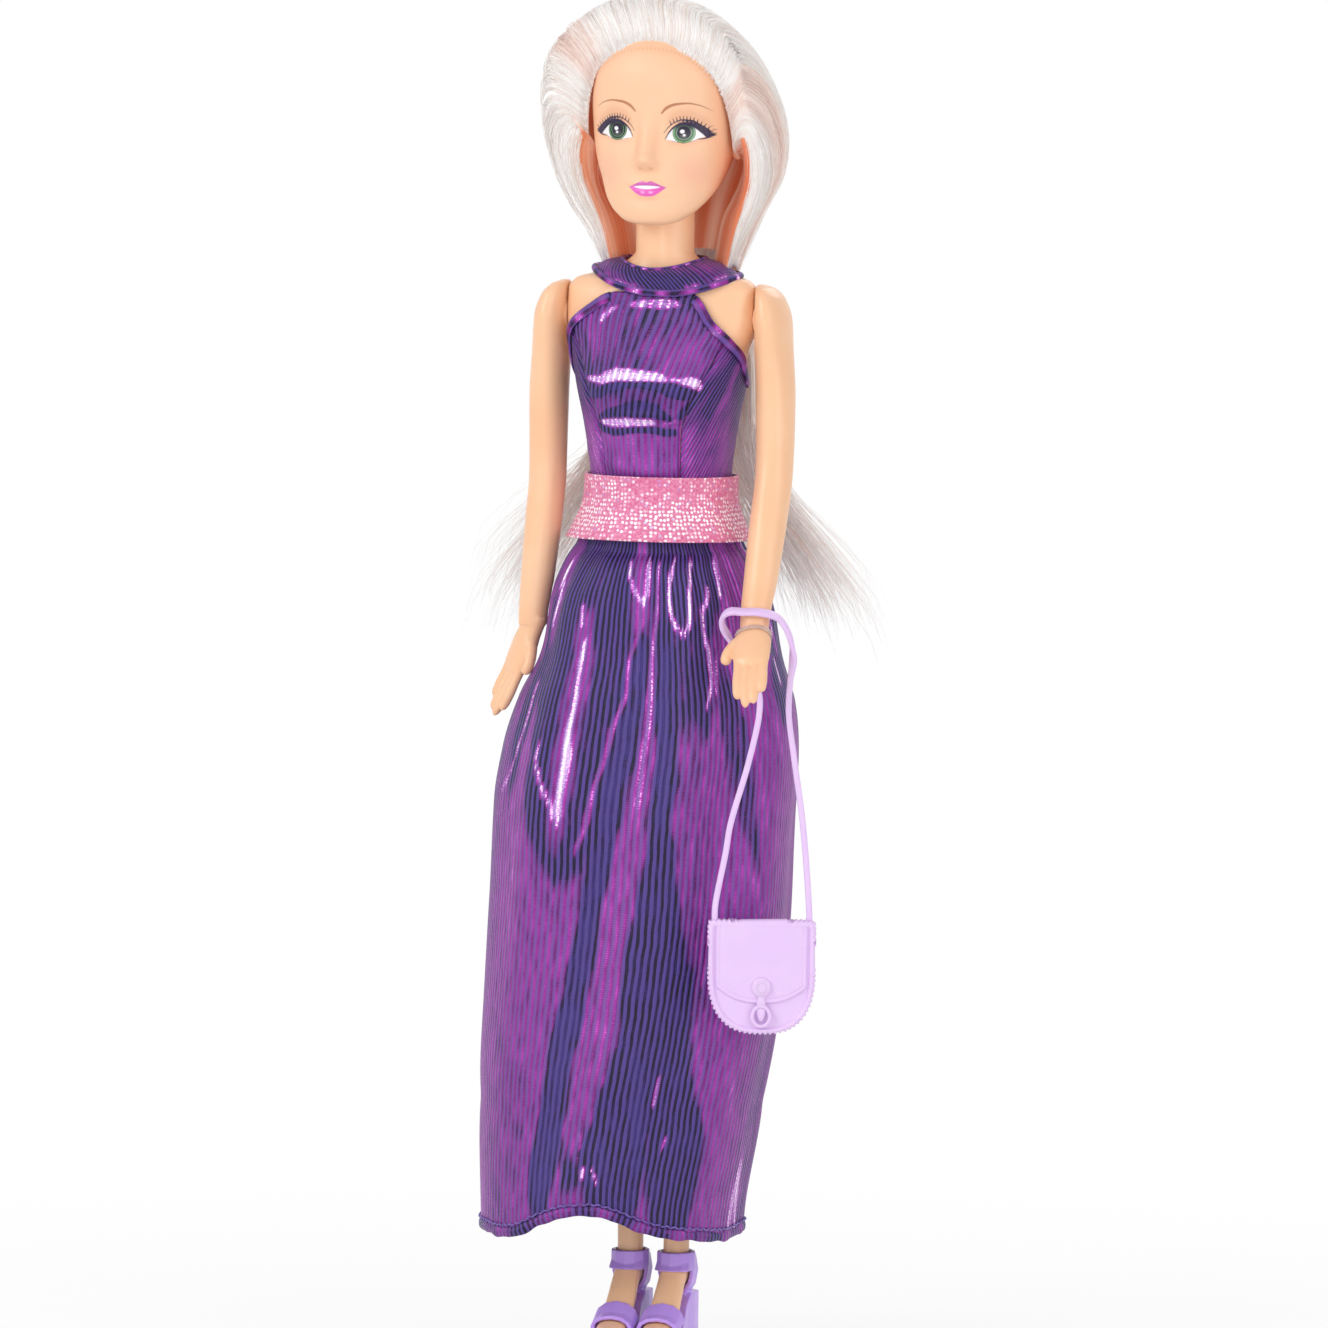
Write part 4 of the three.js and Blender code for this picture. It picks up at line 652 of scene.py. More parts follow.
HEAD_ROWS = [
    [-0.016, 0.1, 0.73, 0.62, -0.42],
    [-0.01, 0.24, 0.8, 0.62, -0.34],
    [0.003, 0.37, 0.86, 0.6, -0.25],
    [0.03, 0.49, 0.897, 0.54, -0.08],
    [0.06, 0.59, 0.912, 0.46, 0.06],
    [0.12, 0.72, 0.925, 0.28, 0.3],
    [0.2, 0.83, 0.93, 0.05, 0.52],
    [0.32, 0.945, 0.92, -0.06, 0.76],
    [0.45, 1, 0.905, -0.1, 0.93],
    [0.58, 1.02, 0.955, -0.1, 1],
    [0.7, 0.99, 1, -0.1, 0.99],
    [0.82, 0.84, 0.88, -0.08, 0.88],
    [0.91, 0.62, 0.62, -0.06, 0.68],
    [0.97, 0.36, 0.34, -0.05, 0.42],
    [1, 0.08, 0.06, -0.04, 0.12],
]
EYE_X, EYE_Z = 7.3, 262.0
MOUTH_Z = 250.1


def face_relief(x, z):
    """How far the face stands out at a place: bells for the nose's ridge and tip, its wings, the lips,
    the hollow under the lip, the chin, the eye hollows and the lids."""
    def bell(cx, cz, wide, high, lift):
        return lift * np.exp(-(((x - cx) / wide) ** 2 + ((z - cz) / high) ** 2) / 2)
    bridge = bell(0, 260.2, 1.25, 3.6, 1.0) + bell(0, 257.6, 1.35, 2.0, 1.0)
    tip = (bell(0, 255.9, 1.5, 1.2, 1.5) + bell(1.5, 255.3, 0.8, 0.75, 0.55)
           + bell(-1.5, 255.3, 0.8, 0.75, 0.55))
    lips = bell(0, MOUTH_Z + 0.9, 2.7, 0.7, 0.5) + bell(0, MOUTH_Z - 0.9, 2.3, 0.85, 0.75)
    lips = lips - bell(0, MOUTH_Z + 0.1, 3.2, 0.3, 0.3)
    groove = -bell(0, MOUTH_Z - 2.5, 2.4, 0.7, 0.35) - bell(0, 252.8, 0.7, 0.8, 0.2)
    chin = bell(0, 245.4, 3.0, 1.7, 0.55)
    cheek = bell(8.6, 255.2, 3.6, 3.4, 0.35) + bell(-8.6, 255.2, 3.6, 3.4, 0.35)
    eyes = 0
    for side in (-1, 1):
        eyes = eyes - bell(side * EYE_X * 0.93, EYE_Z + 0.2, 3.6, 2.3, 0.75)
        eyes = eyes + bell(side * EYE_X, EYE_Z - 0.1, 2.3, 1.7, 0.35)
    return bridge + tip + lips + groove + chin + cheek + eyes


def head_at(share, angle, offset=0.0):
    """Points on the head at shares of its height and angles round it, face relief included."""
    row = station(HEAD_ROWS, share)
    wide, front, middle, back = (row[..., k] for k in range(4))
    y = -middle * HEAD_FRONT
    z = CHIN + share * HEAD_HEIGHT + offset * (2 * share - 1)
    points = oval(angle, wide * HEAD_HALF_WIDTH + offset, front * HEAD_FRONT + y + offset,
                  back * HEAD_BACK - y + offset, 2.2, 0.0, y, z)
    facing = ease(-points[..., 1], 0, 5)
    points[..., 1] -= facing * face_relief(points[..., 0], points[..., 2])
    return points


def band(distance, half, soft):
    """1 within half of a line, falling to 0 over soft."""
    return 1 - ease(np.abs(distance), half - soft / 2, half + soft / 2)


def inside(distance, soft):
    """1 where a signed distance is below zero, 0 above, with a soft edge."""
    return 1 - ease(distance, -soft / 2, soft / 2)


def laid_over(paint, mask, colour):
    """Paint with a colour laid over it by a mask."""
    return paint + (np.array(linear(colour)) - paint) * np.clip(mask, 0, 1)[..., None]


def stroke_mask(x, z, points, widths, soft=0.12):
    """A painted stroke: 1 near a line through points, whose half width runs through widths. The
    distance is to the nearest of many short steps along the line."""
    points = np.asarray(points, float)
    places = np.linspace(0, 1, len(points))
    fine = np.linspace(0, 1, 40)
    line = station(np.column_stack([places, points]), fine)
    half = np.interp(fine, np.linspace(0, 1, len(widths)), widths)
    near = np.full(x.shape, 9.0)
    for k in range(len(fine) - 1):
        step = line[k + 1] - line[k]
        t = np.clip(((x - line[k, 0]) * step[0] + (z - line[k, 1]) * step[1]) / (step @ step), 0, 1)
        d = np.hypot(x - line[k, 0] - t * step[0], z - line[k, 1] - t * step[1])
        near = np.minimum(near, d - (half[k] + (half[k + 1] - half[k]) * t))
    return inside(near, soft)


def lid_upper(u):
    """Height of the upper lid's edge over the eye's middle, from the inner to the outer corner."""
    return station([[-3.7, -1.75], [-3.0, -0.35], [-1.8, 1.1], [-0.4, 1.85], [0.9, 1.8], [2.2, 1.1],
                    [3.2, 0.1], [4.3, -1.0]], u)[..., 0]


def lid_lower(u):
    """Height of the lower lid's edge."""
    return station([[-3.7, -1.75], [-2.6, -2.0], [-1.2, -2.35], [0.3, -2.45], [1.8, -2.05], [3.0, -1.4],
                    [4.3, -1.0]], u)[..., 0]


def fold_line(u):
    """Height of the outer lash line over the lid."""
    return station([[-4.1, -0.3], [-3.2, 0.95], [-1.8, 2.25], [-0.2, 2.9], [1.4, 2.75], [3.0, 1.75],
                    [4.5, 0.45], [5.3, -0.35]], u)[..., 0]


def paint_eye(paint, shine, x, z, side):
    """One eye, from the inner corner (u negative) to the outer: painted shade round the lids, the white
    with painted shade under the upper lid, iris, painted shade over the iris's top, pupil, two painted
    highlights, lash band with gaps, lashes and brow."""
    u, w = (x * side - EYE_X - 0.25 * side) / 1.03, (z - EYE_Z + 0.18 * side) / 0.9
    near = (np.abs(u) < 8) & (np.abs(w) < 9) & (x * side > 0)
    px, pu, pw, ps = paint[near], u[near], w[near], shine[near]
    up, low, fold = lid_upper(pu), lid_lower(pu), fold_line(pu)
    span = ease(pu, -4.2, -2.4) * (1 - ease(pu, 4.0, 6.0))
    # Painted shade round the eye: darker over the lid by the lash line and under the lower lid.
    px = laid_over(px, 0.4 * span * bump_at(pw - fold, 0.5, 1.6), "#d89a7c")
    px = laid_over(px, 0.3 * span * bump_at(pw - low, -0.4, 0.7), "#dd9f86")
    opening = (inside(pw - up, 0.14) * inside(low - pw, 0.14) * ease(pu, -3.75, -3.5)
               * (1 - ease(pu, 3.7, 4.2)))
    px = laid_over(px, opening, "#f3edee")
    # Painted shade of the upper lid on the top of the white.
    px = laid_over(px, opening * ease(pw - up, -1.0, 0.0) * 0.5, "#b9a9b6")
    # Painted shade above the fold, under the brow.
    px = laid_over(px, 0.35 * span * bump_at(pw - fold, 1.6, 1.2), "#e3a988")
    r = np.hypot(pu * 1.03, (pw + 0.1) * 0.9) * 0.94
    seen = inside(pw - up, 0.14)
    px = laid_over(px, inside(r - 2.12, 0.12) * seen, "#16201c")
    px = laid_over(px, band(r - 1.9, 0.05 if side < 0 else 0.1, 0.08) * seen, "#83c47f")
    px = laid_over(px, inside(r - 1.76, 0.1) * seen, "#141a22" if side < 0 else "#566a5c")
    px = laid_over(px, band(r - 1.4, 0.05, 0.1) * seen * 0.8, "#78b37b" if side < 0 else "#a9c3a2")
    px = laid_over(px, inside(r - 1.25, 0.16) * seen, "#150c28" if side < 0 else "#252034")
    haze = 0.35 if side < 0 else 0.6
    px = laid_over(px, bump_at(np.hypot(pu, pw + 0.95), 0, 0.6) * haze * seen, "#8f958b")
    # Painted shade of the upper lid over the top of the iris.
    px = laid_over(px, ease(pw, 0.1, 1.2) * inside(r - 2.0, 0.2) * seen * 0.75, "#150a26")
    # Two painted highlights on each eye.
    for cx, cz, radius in ((-0.3 * side, 0.15, 0.46), (0.1, -0.72, 0.27)):
        px = laid_over(px, inside(np.hypot(pu - cx, pw - cz) - radius, 0.12) * seen, "#f7f2fa")
    lash = "#22103a"
    outer = ease(pu, -1.2, 3.0)
    px = laid_over(px, band(pw - up - 0.16, 0.26 + 0.22 * outer, 0.12) * ease(pu, -3.9, -3.3)
                   * (1 - ease(pu, 4.3, 4.9)), lash)
    px = laid_over(px, band(pw - fold, 0.13 + 0.07 * outer, 0.12) * ease(pu, -4.15, -3.7)
                   * (1 - ease(pu, 5.2, 5.5)), lash)
    between = inside(up - pw, 0.1) * inside(pw - fold, 0.1)
    stripes = 0.5 + 0.5 * np.sin(2 * math.pi * (pu + 0.5 * (pw - up)) / 0.78)
    dense = ease(pu, -2.2, 0.6) * (1 - ease(pu, 5.2, 5.6))
    filled = np.clip(0.35 + 0.6 * outer + ease(stripes, 0.35, 0.6) * 0.75, 0, 1)
    px = laid_over(px, between * dense * filled, lash)
    px = laid_over(px, stroke_mask(pu, pw, [[2.6, -1.65], [3.6, -1.5], [4.6, -1.1], [5.4, -0.5]],
                                   [0.02, 0.16, 0.2, 0.04]), lash)
    px = laid_over(px, band(pw - low, 0.07, 0.12) * ease(pu, -3.4, -2.0) * (1 - ease(pu, 2.6, 3.6)) * 0.75,
                   "#7a4c4c")
    for k in range(13):
        at = -2.5 + k * 0.62
        base = float(fold_line(np.array(at)))
        lean = -0.35 + 0.9 * (k / 12)
        tip = [at + lean, base + 1.0 - 0.25 * (k / 12)]
        px = laid_over(px, stroke_mask(pu, pw, [[at, base], [at + lean * 0.4, base + 0.55], tip],
                                       [0.13, 0.09, 0.03]), lash)
    brow = [[-4.3, 4.35], [-3.2, 5.7], [-1.4, 6.55], [0.9, 6.8], [3.2, 6.25], [5.0, 5.05]]
    px = laid_over(px, stroke_mask(pu, pw, brow, [0.14, 0.33, 0.3, 0.2, 0.12, 0.03], 0.22) * 0.85, "#a9623f")
    paint[near] = px
    ps = np.maximum(ps, opening)
    shine[near] = ps


def paint_mouth(paint, shine, x, z):
    """Parted lips: a bowed upper lip, a full lower lip with two painted highlights, painted shade under the
    lower lip, and teeth between them.
    """
    x = x - 0.2
    w = z - MOUTH_Z
    ax = np.abs(x)
    top = station([[0, 1.05], [0.8, 1.3], [1.9, 0.98], [3.2, 0.35], [4.2, 0.05], [6, 0.0]], ax)[..., 0]
    bottom = station([[0, -1.95], [1.2, -1.85], [2.4, -1.3], [3.4, -0.55], [4.2, -0.02], [6, 0.0]],
                     ax)[..., 0]
    parted = inside(ax - 2.75, 0.5)
    upper_edge = 0.42 - 0.03 * ax ** 2
    lower_edge = -0.38 + 0.05 * ax ** 2
    lip = inside(w - top, 0.14) * inside(bottom - w, 0.14) * inside(ax - 4.2, 0.2)
    # Painted shade in the hollow under the lower lip.
    paint[:] = laid_over(paint, 0.35 * bump_at(w, -2.5, 0.5) * bump_at(x, 0, 2.4), "#e2a080")
    paint[:] = laid_over(paint, lip, "#e65fbe")
    paint[:] = laid_over(paint, lip * ease(w, -0.1, 0.6), "#cf62b4")
    paint[:] = laid_over(paint, lip * bump_at(ax, 4.0, 0.9) * 0.6, "#c9619a")
    teeth = inside(w - upper_edge, 0.12) * inside(lower_edge - w, 0.12) * parted
    paint[:] = laid_over(paint, teeth, "#f8f2fb")
    paint[:] = laid_over(paint, band(w - upper_edge, 0.07, 0.1) * parted * 0.6, "#b13b8a")
    # Two painted highlights on the lower lip.
    for cx in (-0.8, 0.95):
        light = bump_at(x, cx, 0.42) * bump_at(w + 0.06 * (x - cx), -1.05, 0.24)
        paint[:] = laid_over(paint, light * 0.85, "#fcc4f0")
    shine[:] = np.maximum(shine, lip)


def head_piece():
    """The head as one closed grid: columns crowd round the front so that the paint, which lies in a
    colour at each point, is about 0.12 mm fine there; rows crowd between the chin and the brow."""
    front = np.linspace(-1, 1, 245)
    fine = np.radians(-90 + 52 * front)
    rest = np.radians(np.linspace(-38, 218, 64))[1:-1]
    angle = np.concatenate([fine, rest])
    share = np.concatenate([np.linspace(-0.016, 0.12, 30)[:-1], np.linspace(0.12, 0.66, 210),
                            np.linspace(0.66, 1, 40)[1:]])
    grid = head_at(share[:, None], angle[None, :])
    x, z = grid[..., 0], grid[..., 2]
    paint = np.tile(np.array(linear("#f5c49f")), (*x.shape, 1))
    shine = np.zeros(x.shape)
    front_side = grid[..., 1] < 0
    for side in (-1, 1):
        paint = laid_over(paint, 0.35 * bump_at(x, side * 9.2, 3.2) * bump_at(z, 253.6, 3.4) * front_side,
                          "#f2a996")
        # Painted shade: small dark dots in the nostrils, and a darker band down each side of the nose.
        paint = laid_over(paint, 0.45 * bump_at(x, side * 1.2, 0.4) * bump_at(z, 254.1, 0.3) * front_side,
                          "#c98058")
        paint = laid_over(paint, 0.3 * bump_at(x, side * 2.0, 0.8) * bump_at(z, 259.5, 4.5) * front_side,
                          "#e2a47f")
    # Painted shade under the nose.
    paint = laid_over(paint, 0.22 * bump_at(x, 0, 2.4) * bump_at(z, 253.7, 0.5) * front_side, "#cf8d66")
    # Painted shade: the face turns deeper orange towards its sides.
    paint = laid_over(paint, 0.45 * ease(np.abs(x), 10.5, 15) * front_side, "#ea9f78")
    roots = cap_at(np.linspace(-0.85, 0.85, 62), np.full(62, 0.0))
    away = np.full(x.shape, 9.0)
    for root in roots:
        away = np.minimum(away, np.hypot(x - root[0] * 0.985, z - root[2] + 0.55))
    paint = laid_over(paint, 0.55 * inside(away - 0.26, 0.3) * front_side, "#c98660")
    paint = laid_over(paint, 0.5 * inside(away - 1.0, 1.2) * front_side, "#f2b893")
    # Painted shade: the head behind the face, hidden by the hair, is painted rust, standing for light bounced
    # between skin and hair in the shade.
    back = ease(grid[..., 1], -4, 3)
    paint = laid_over(paint, back * 0.9, "#dc7d50")
    for side in (-1, 1):
        paint_eye(paint, shine, np.where(front_side, x, 99), z, side)
    face_x, flat_paint, flat_shine = np.where(front_side, x, 99), paint.copy(), shine.copy()
    paint_mouth(flat_paint, flat_shine, face_x, z)
    near_mouth = (np.abs(z - MOUTH_Z) < 4)[..., None] & front_side[..., None]
    paint = np.where(near_mouth, flat_paint, paint)
    shine = np.where(near_mouth[..., 0], flat_shine, shine)
    shine = shine + 0.25 * bump_at(z, 272, 4) * bump_at(x, 3, 6)
    return grid_piece("head_vinyl", grid, True, (True, True), marks={"paint": paint, "shine": shine})


def ear_piece(side):
    """An ear: an oval cup tilted back, whose rim rolls outward. Radius and lift are profiles from the
    middle to the rim, carried round an oval."""
    turn = round_angles(40)
    out = np.array([[0.02, 0.25], [0.3, 0.2], [0.5, 0.35], [0.66, 0.85], [0.8, 1.15], [0.92, 1.05],
                    [1.0, 0.6], [0.98, 0.1], [0.85, -0.6], [0.5, -0.9], [0.02, -0.9]])
    radius, lift = out[:, :1], out[:, 1:]
    tall = 3.7 * radius * np.sin(turn)
    deep = 2.0 * radius * np.cos(turn) * (1 + 0.25 * np.sin(turn))
    lobe = np.where(np.sin(turn) < -0.4, 0.85, 1.0)
    x = 15.15 + lift + 0.28 * deep + 0 * turn
    grid = np.stack([side * x, 1.6 + deep * lobe - 0.15 * tall, 259.3 + tall], -1)
    return grid_piece("ear_left" if side > 0 else "ear_right", grid, True, (True, True), flip=side > 0)


# Hair: a combed cap that runs back from the hairline, and the long fall behind the back

# Rows go round the hairline from the crown's middle (0) to below the ear (1); columns run along a
# strand from its root to its tip: x, y, z in mm.
CAP = np.array([
    [[0, -11.1, 280.0], [0, -8.2, 286.2], [0, 1, 290.0], [0, 15, 287], [0, 23.6, 274], [0, 23.4, 258],
     [0, 18.5, 244], [0, 15.5, 231.8]],
    [[6.2, -10.9, 279.0], [7.8, -8.2, 285.2], [9.4, 1, 288.2], [11, 13, 285], [12.2, 21.6, 273],
     [12, 22, 258], [9, 18, 244], [7.2, 15.3, 231.8]],
    [[11.6, -9.0, 275.2], [14.6, -7.0, 281.0], [17.4, 1, 283.2], [19.6, 10, 279.5], [20.8, 16, 270],
     [19.6, 17.6, 257], [14.4, 15.5, 244], [11.2, 13, 231.6]],
    [[14.5, -6.6, 269.8], [18.4, -5.8, 274.6], [22.6, -1, 276.2], [24.8, 5, 271.5], [24.8, 9.4, 263],
     [22.2, 11.6, 253], [17.4, 11, 243.0], [13.4, 9.6, 231.4]],
    [[15.6, -4.8, 264.4], [19.0, -5.6, 267.6], [22.8, -4.6, 268.0], [24.9, -1.2, 263.5], [24.0, 2.4, 256.4],
     [21.2, 4.6, 248.8], [17.2, 5.4, 241.2], [14.2, 5.6, 232.8]],
    [[15.9, -3.4, 260.0], [18.2, -5.6, 263.2], [21.0, -6.4, 262.4], [22.6, -5.0, 257.4], [22.0, -2.8, 251.4],
     [19.7, -0.8, 245.6], [16.2, 0.6, 239.6], [13.6, 1.2, 232.8]],
    [[15.9, -2.6, 258.2], [16.8, -3.6, 260.4], [17.8, -4.2, 259.8], [18.6, -3.6, 256.4], [18.4, -2.4, 251.6],
     [17.0, -1.4, 246.8], [14.8, -0.4, 240.8], [12.8, 0.2, 232.8]],
    [[15.9, -0.5, 257.0], [16.2, 0.5, 257.6], [16.5, 1.3, 256.6], [16.6, 1.8, 254.0], [16.2, 2.2, 250.4],
     [14.8, 2.6, 246.4], [12.4, 3.0, 240.8], [10.8, 3.4, 232.8]],
    [[15.8, 2, 256], [15.6, 4, 256], [15.2, 6, 254.5], [14.6, 7, 252], [13.4, 7.6, 249], [11.8, 7.6, 246],
     [9.6, 7.4, 241], [8.0, 7.2, 232.8]],
])
CAP_PLACES = np.array([0, 0.2, 0.42, 0.64, 0.83, 1.0, 1.12, 1.22, 1.3])
ALONG = np.array([0, 0.12, 0.3, 0.46, 0.6, 0.74, 0.89, 1.0])


def cap_at(around, along):
    """Points of the hair: the table's strands are joined by smooth cubics, first round the hairline (0 at
    the crown's middle, 1 at the front edge of the side curtain, 1.3 on its inner side at the nape) and
    then along the strand. A negative place is the doll's right side, mirrored in X. Above the ears, past
    the roots, the hair leans 3 mm to the doll's right and, but for its back, 4 mm forward, and the inner
    edges of both curtains stand 1.1 mm over to the doll's left."""
    around, along = np.broadcast_arrays(around, along)
    flat_a, flat_t = np.abs(around).ravel(), along.ravel()
    table = CAP.reshape(len(CAP_PLACES), -1)
    keys = natural(CAP_PLACES, table, np.clip(flat_a, 0, 1.3)).reshape(-1, len(ALONG), 3)
    points = natural_rows(ALONG, keys, flat_t)
    points[:, 0] *= np.sign(np.where(around.ravel() == 0, 1, around.ravel()))
    lean = ease(points[:, 2], 250, 284) * ease(flat_t, 0, 0.3) * (1 - ease(flat_a, 0.8, 1.05))
    points[:, 0] = points[:, 0] * (1 - 0.06 * lean) - 3.0 * lean
    points[:, 0] += 1.1 * ease(flat_a, 0.9, 1.1) * ease(flat_t, 0.05, 0.3)
    points[:, 1] -= (4.0 + 0.2 * np.maximum(points[:, 1], 0)) * lean * (1 - ease(points[:, 1], 4, 18))
    return points.reshape(*around.shape, 3)


def natural(places, table, wanted):
    """A Catmull-Rom cubic through a table's rows at uneven places."""
    i = np.clip(np.searchsorted(places, wanted, side="right") - 1, 0, len(places) - 2)
    slope = np.gradient(table, places, axis=0)
    step = (places[i + 1] - places[i])[:, None]
    t = ((wanted - places[i]) / (places[i + 1] - places[i]))[:, None]
    return cubic(table[i], table[i + 1], slope[i], slope[i + 1], step, t)


def natural_rows(places, keys, wanted):
    """The same cubic with its own table of keys for each wanted place."""
    i = np.clip(np.searchsorted(places, wanted, side="right") - 1, 0, len(places) - 2)
    slope = np.gradient(keys, places, axis=1)
    row = np.arange(len(wanted))
    step = (places[i + 1] - places[i])[:, None]
    t = ((wanted - places[i]) / (places[i + 1] - places[i]))[:, None]
    return cubic(keys[row, i], keys[row, i + 1], slope[row, i], slope[row, i + 1], step, t)


def outward(points):
    """Directions out of the head's middle at points of the cap."""
    return unit(points - np.array(HEAD_MIDDLE))


def warm_shade_share(around, along):
    """How much painted shade and glow in peach and rust shows: none outside, painted peach drifts of light
    through the hair over the temples and a peach tint at the roots, and rust as painted shade on the inner
    side of the curtains."""
    around, along = np.broadcast_arrays(around, along)
    drift = 0.5 + 0.5 * waves(4, (np.abs(around) * 5 + np.sign(around), along * 3), 6, 0.8, 2.2)
    outside = 0.34 * ease(drift, 0.6, 1.1) * bump_at(np.abs(around), 0.6, 0.36) * ease(along, 0.02, 0.2)
    outside = outside + 0.25 * bump_at(along, 0.03, 0.05)
    shade = ease(np.abs(around), 1.1, 1.22)
    shade = shade * ease(along, 0.1, 0.32)
    return np.clip(outside + shade * (0.95 - 0.45 * ease(along, 0.6, 0.95)), 0, 1)


def cap_piece():
    """The hair's body as a sheet about 1 mm thick, combed: its surface rises and falls by about 0.4 mm
    across the strands, in locks and finer streaks that fade in from the roots."""
    around = np.linspace(-1.3, 1.3, 440)[:, None]
    along = np.linspace(0, 1, 58)[None, :]
    points = cap_at(around, along)
    drift = 0.02 * waves(5, (around * 6, along * 2), 4, 1, 3)
    comb = (0.3 * waves(1, around + drift, 10, 20, 60)
            + 0.12 * waves(2, around + drift, 10, 90, 200))
    grow = ease(along, 0.0, 0.25)
    out = points + outward(points) * (0.25 + comb * grow)[..., None]
    inner = points - outward(points) * (0.15 + 0.6 * grow)[..., None]
    uv = np.stack(np.broadcast_arrays(around * 0.5 + 0.5, along), -1)
    tone = 0.5 + 0.35 * waves(3, around, 8, 10, 50) + 0 * along
    warm_shade_glow = warm_shade_share(around, along)
    # The inner side of the sheet takes the rust of painted shade from a little past the roots.
    return sheet_piece("hair_cap", out, inner, uv=uv, flip=True,
                       marks={"tone": tone, "warm_shade_glow": (warm_shade_glow, np.maximum(warm_shade_glow, 0.95 * ease(along, 0.12, 0.3)))})


def cap_strands(name, seed, count, around_low, around_high, lift_low, lift_high, radius, steps=22,
                start=(0.0, 0.03), end=(0.9, 1.0), spread=0.012, warm_shade_glow=None):
    """Fine strands over the hair's body: each keeps its own place round the hairline with a slow drift,
    and its own height over the body; it thins to its tip."""
    rng = np.random.default_rng(seed)
    side = np.where(rng.random(count) < 0.5, -1, 1)
    place = rng.uniform(around_low, around_high, count) * side
    first = rng.uniform(*start, count)
    last = rng.uniform(*end, count)
    t = np.linspace(0, 1, steps)
    along = first[:, None] + (last - first)[:, None] * t
    wave = np.sin(along * rng.uniform(2, 6, count)[:, None] + rng.uniform(0, 6.3, count)[:, None])
    around = place[:, None] + spread * wave
    around = np.where(np.sign(around) == side[:, None], around, side[:, None] * 0.001)
    points = cap_at(around, along)
    lift = rng.uniform(lift_low, lift_high, count)[:, None] * ease(along, 0.0, 0.2) + 0.25
    points = points + outward(points) * lift[..., None]
    radii = radius * (1 - 0.75 * t ** 2) * rng.uniform(0.7, 1.2, count)[:, None]
    shade = warm_shade_share(place, np.full(count, 0.5)) if warm_shade_glow is None else np.full(count, warm_shade_glow)
    return tubes_piece(name, points, radii, 4, (0.3, 1, 0.2), marks={"tone": rng.uniform(0, 1, count),
                                                                      "warm_shade_glow": shade})


def fall_paths(seed, count, steps=18):
    """Strands of the long fall: x is a share of the fall's half width and y lies behind the back, both
    from tables by height; past the waist the outer strands swing out sideways in soft tufts to ragged
    tips beside the hips, each tuft with its own reach, and the inner ones hang to the skirt."""
    rng = np.random.default_rng(seed)
    across = np.clip(rng.normal(0, 0.55, count), -1, 1)
    depth = rng.uniform(-1, 1, count)
    t = np.linspace(0, 1, steps)
    table = [[0, 9.0, 14.4, 0.7], [0.07, 12.0, 14.5, 2.4], [0.14, 13.4, 14.6, 3.2], [0.3, 16.0, 14.4, 2.8],
             [0.5, 16.4, 14.2, 2.6], [0.7, 17.0, 16.6, 2.4], [0.85, 19.0, 20.6, 2.2], [1.0, 22.0, 24.5, 1.8]]
    row = station(table, t)
    wide, back, thick = row[:, 0], row[:, 1], row[:, 2]
    x = across[:, None] * wide
    y = back + depth[:, None] * thick
    root = rng.uniform(FALL_TOP - 1, FALL_TOP + 2, count)
    z = root[:, None] - t[None, :] * rng.uniform(72, 80, count)[:, None]
    tuft = np.floor((across + 1) * 9) + np.where(depth > 0, 40, 0)
    tuft_rng = np.random.default_rng(seed + 1)
    reach_of = tuft_rng.uniform(0.55, 1, 90)
    rise_of = tuft_rng.uniform(-1, 1, 90)
    forward_of = tuft_rng.random(90)
    index = tuft.astype(int)
    swing = ease(np.abs(across), 0.2, 0.62) * (0.75 * reach_of[index] + 0.25 * rng.random(count))
    turn = ease(t, 0.42, 1.0)[None, :] * swing[:, None]
    side = np.sign(across)[:, None]
    reach = np.where(side[:, 0] < 0, 27, 21) + 2.5 * rng.normal(size=count)
    x = x + side * turn ** 1.15 * reach[:, None]
    z = z + turn * (5 + 8 * rise_of[index] + 3 * rng.normal(size=count))[:, None]
    y = y - turn * (np.where(side[:, 0] < 0, 2 + 8 * forward_of[index], 6 * forward_of[index])
                    + 1.2 * rng.normal(size=count))[:, None]
    wiggle = np.sin(t[None, :] * rng.uniform(4, 9, count)[:, None] + rng.uniform(0, 6.3, count)[:, None])
    x = x + 0.35 * wiggle * t
    z = z + 0.5 * np.sin(t[None, :] * rng.uniform(3, 7, count)[:, None] + across[:, None] * 9) * t ** 2
    return np.stack([x, y, z], -1)


def fall_strand_piece(name, seed, count, radius):
    """Strands of the fall as one piece, each thinning from its middle to its tip."""
    paths = fall_paths(seed, count)
    rng = np.random.default_rng(seed + 2)
    t = np.linspace(0, 1, paths.shape[1])
    radii = radius * (1 - 0.85 * t ** 3) * rng.uniform(0.8, 1.2, count)[:, None]
    # One strand in ten, chosen at random, takes more of the peach colour and painted glow.
    warm_shade_glow = 0.4 * (rng.random(count) < 0.1) + 0.04
    return tubes_piece(name, paths, radii, 3, (0.2, 1, 0.1), marks={"tone": rng.uniform(0, 1, count),
                                                                    "warm_shade_glow": warm_shade_glow})


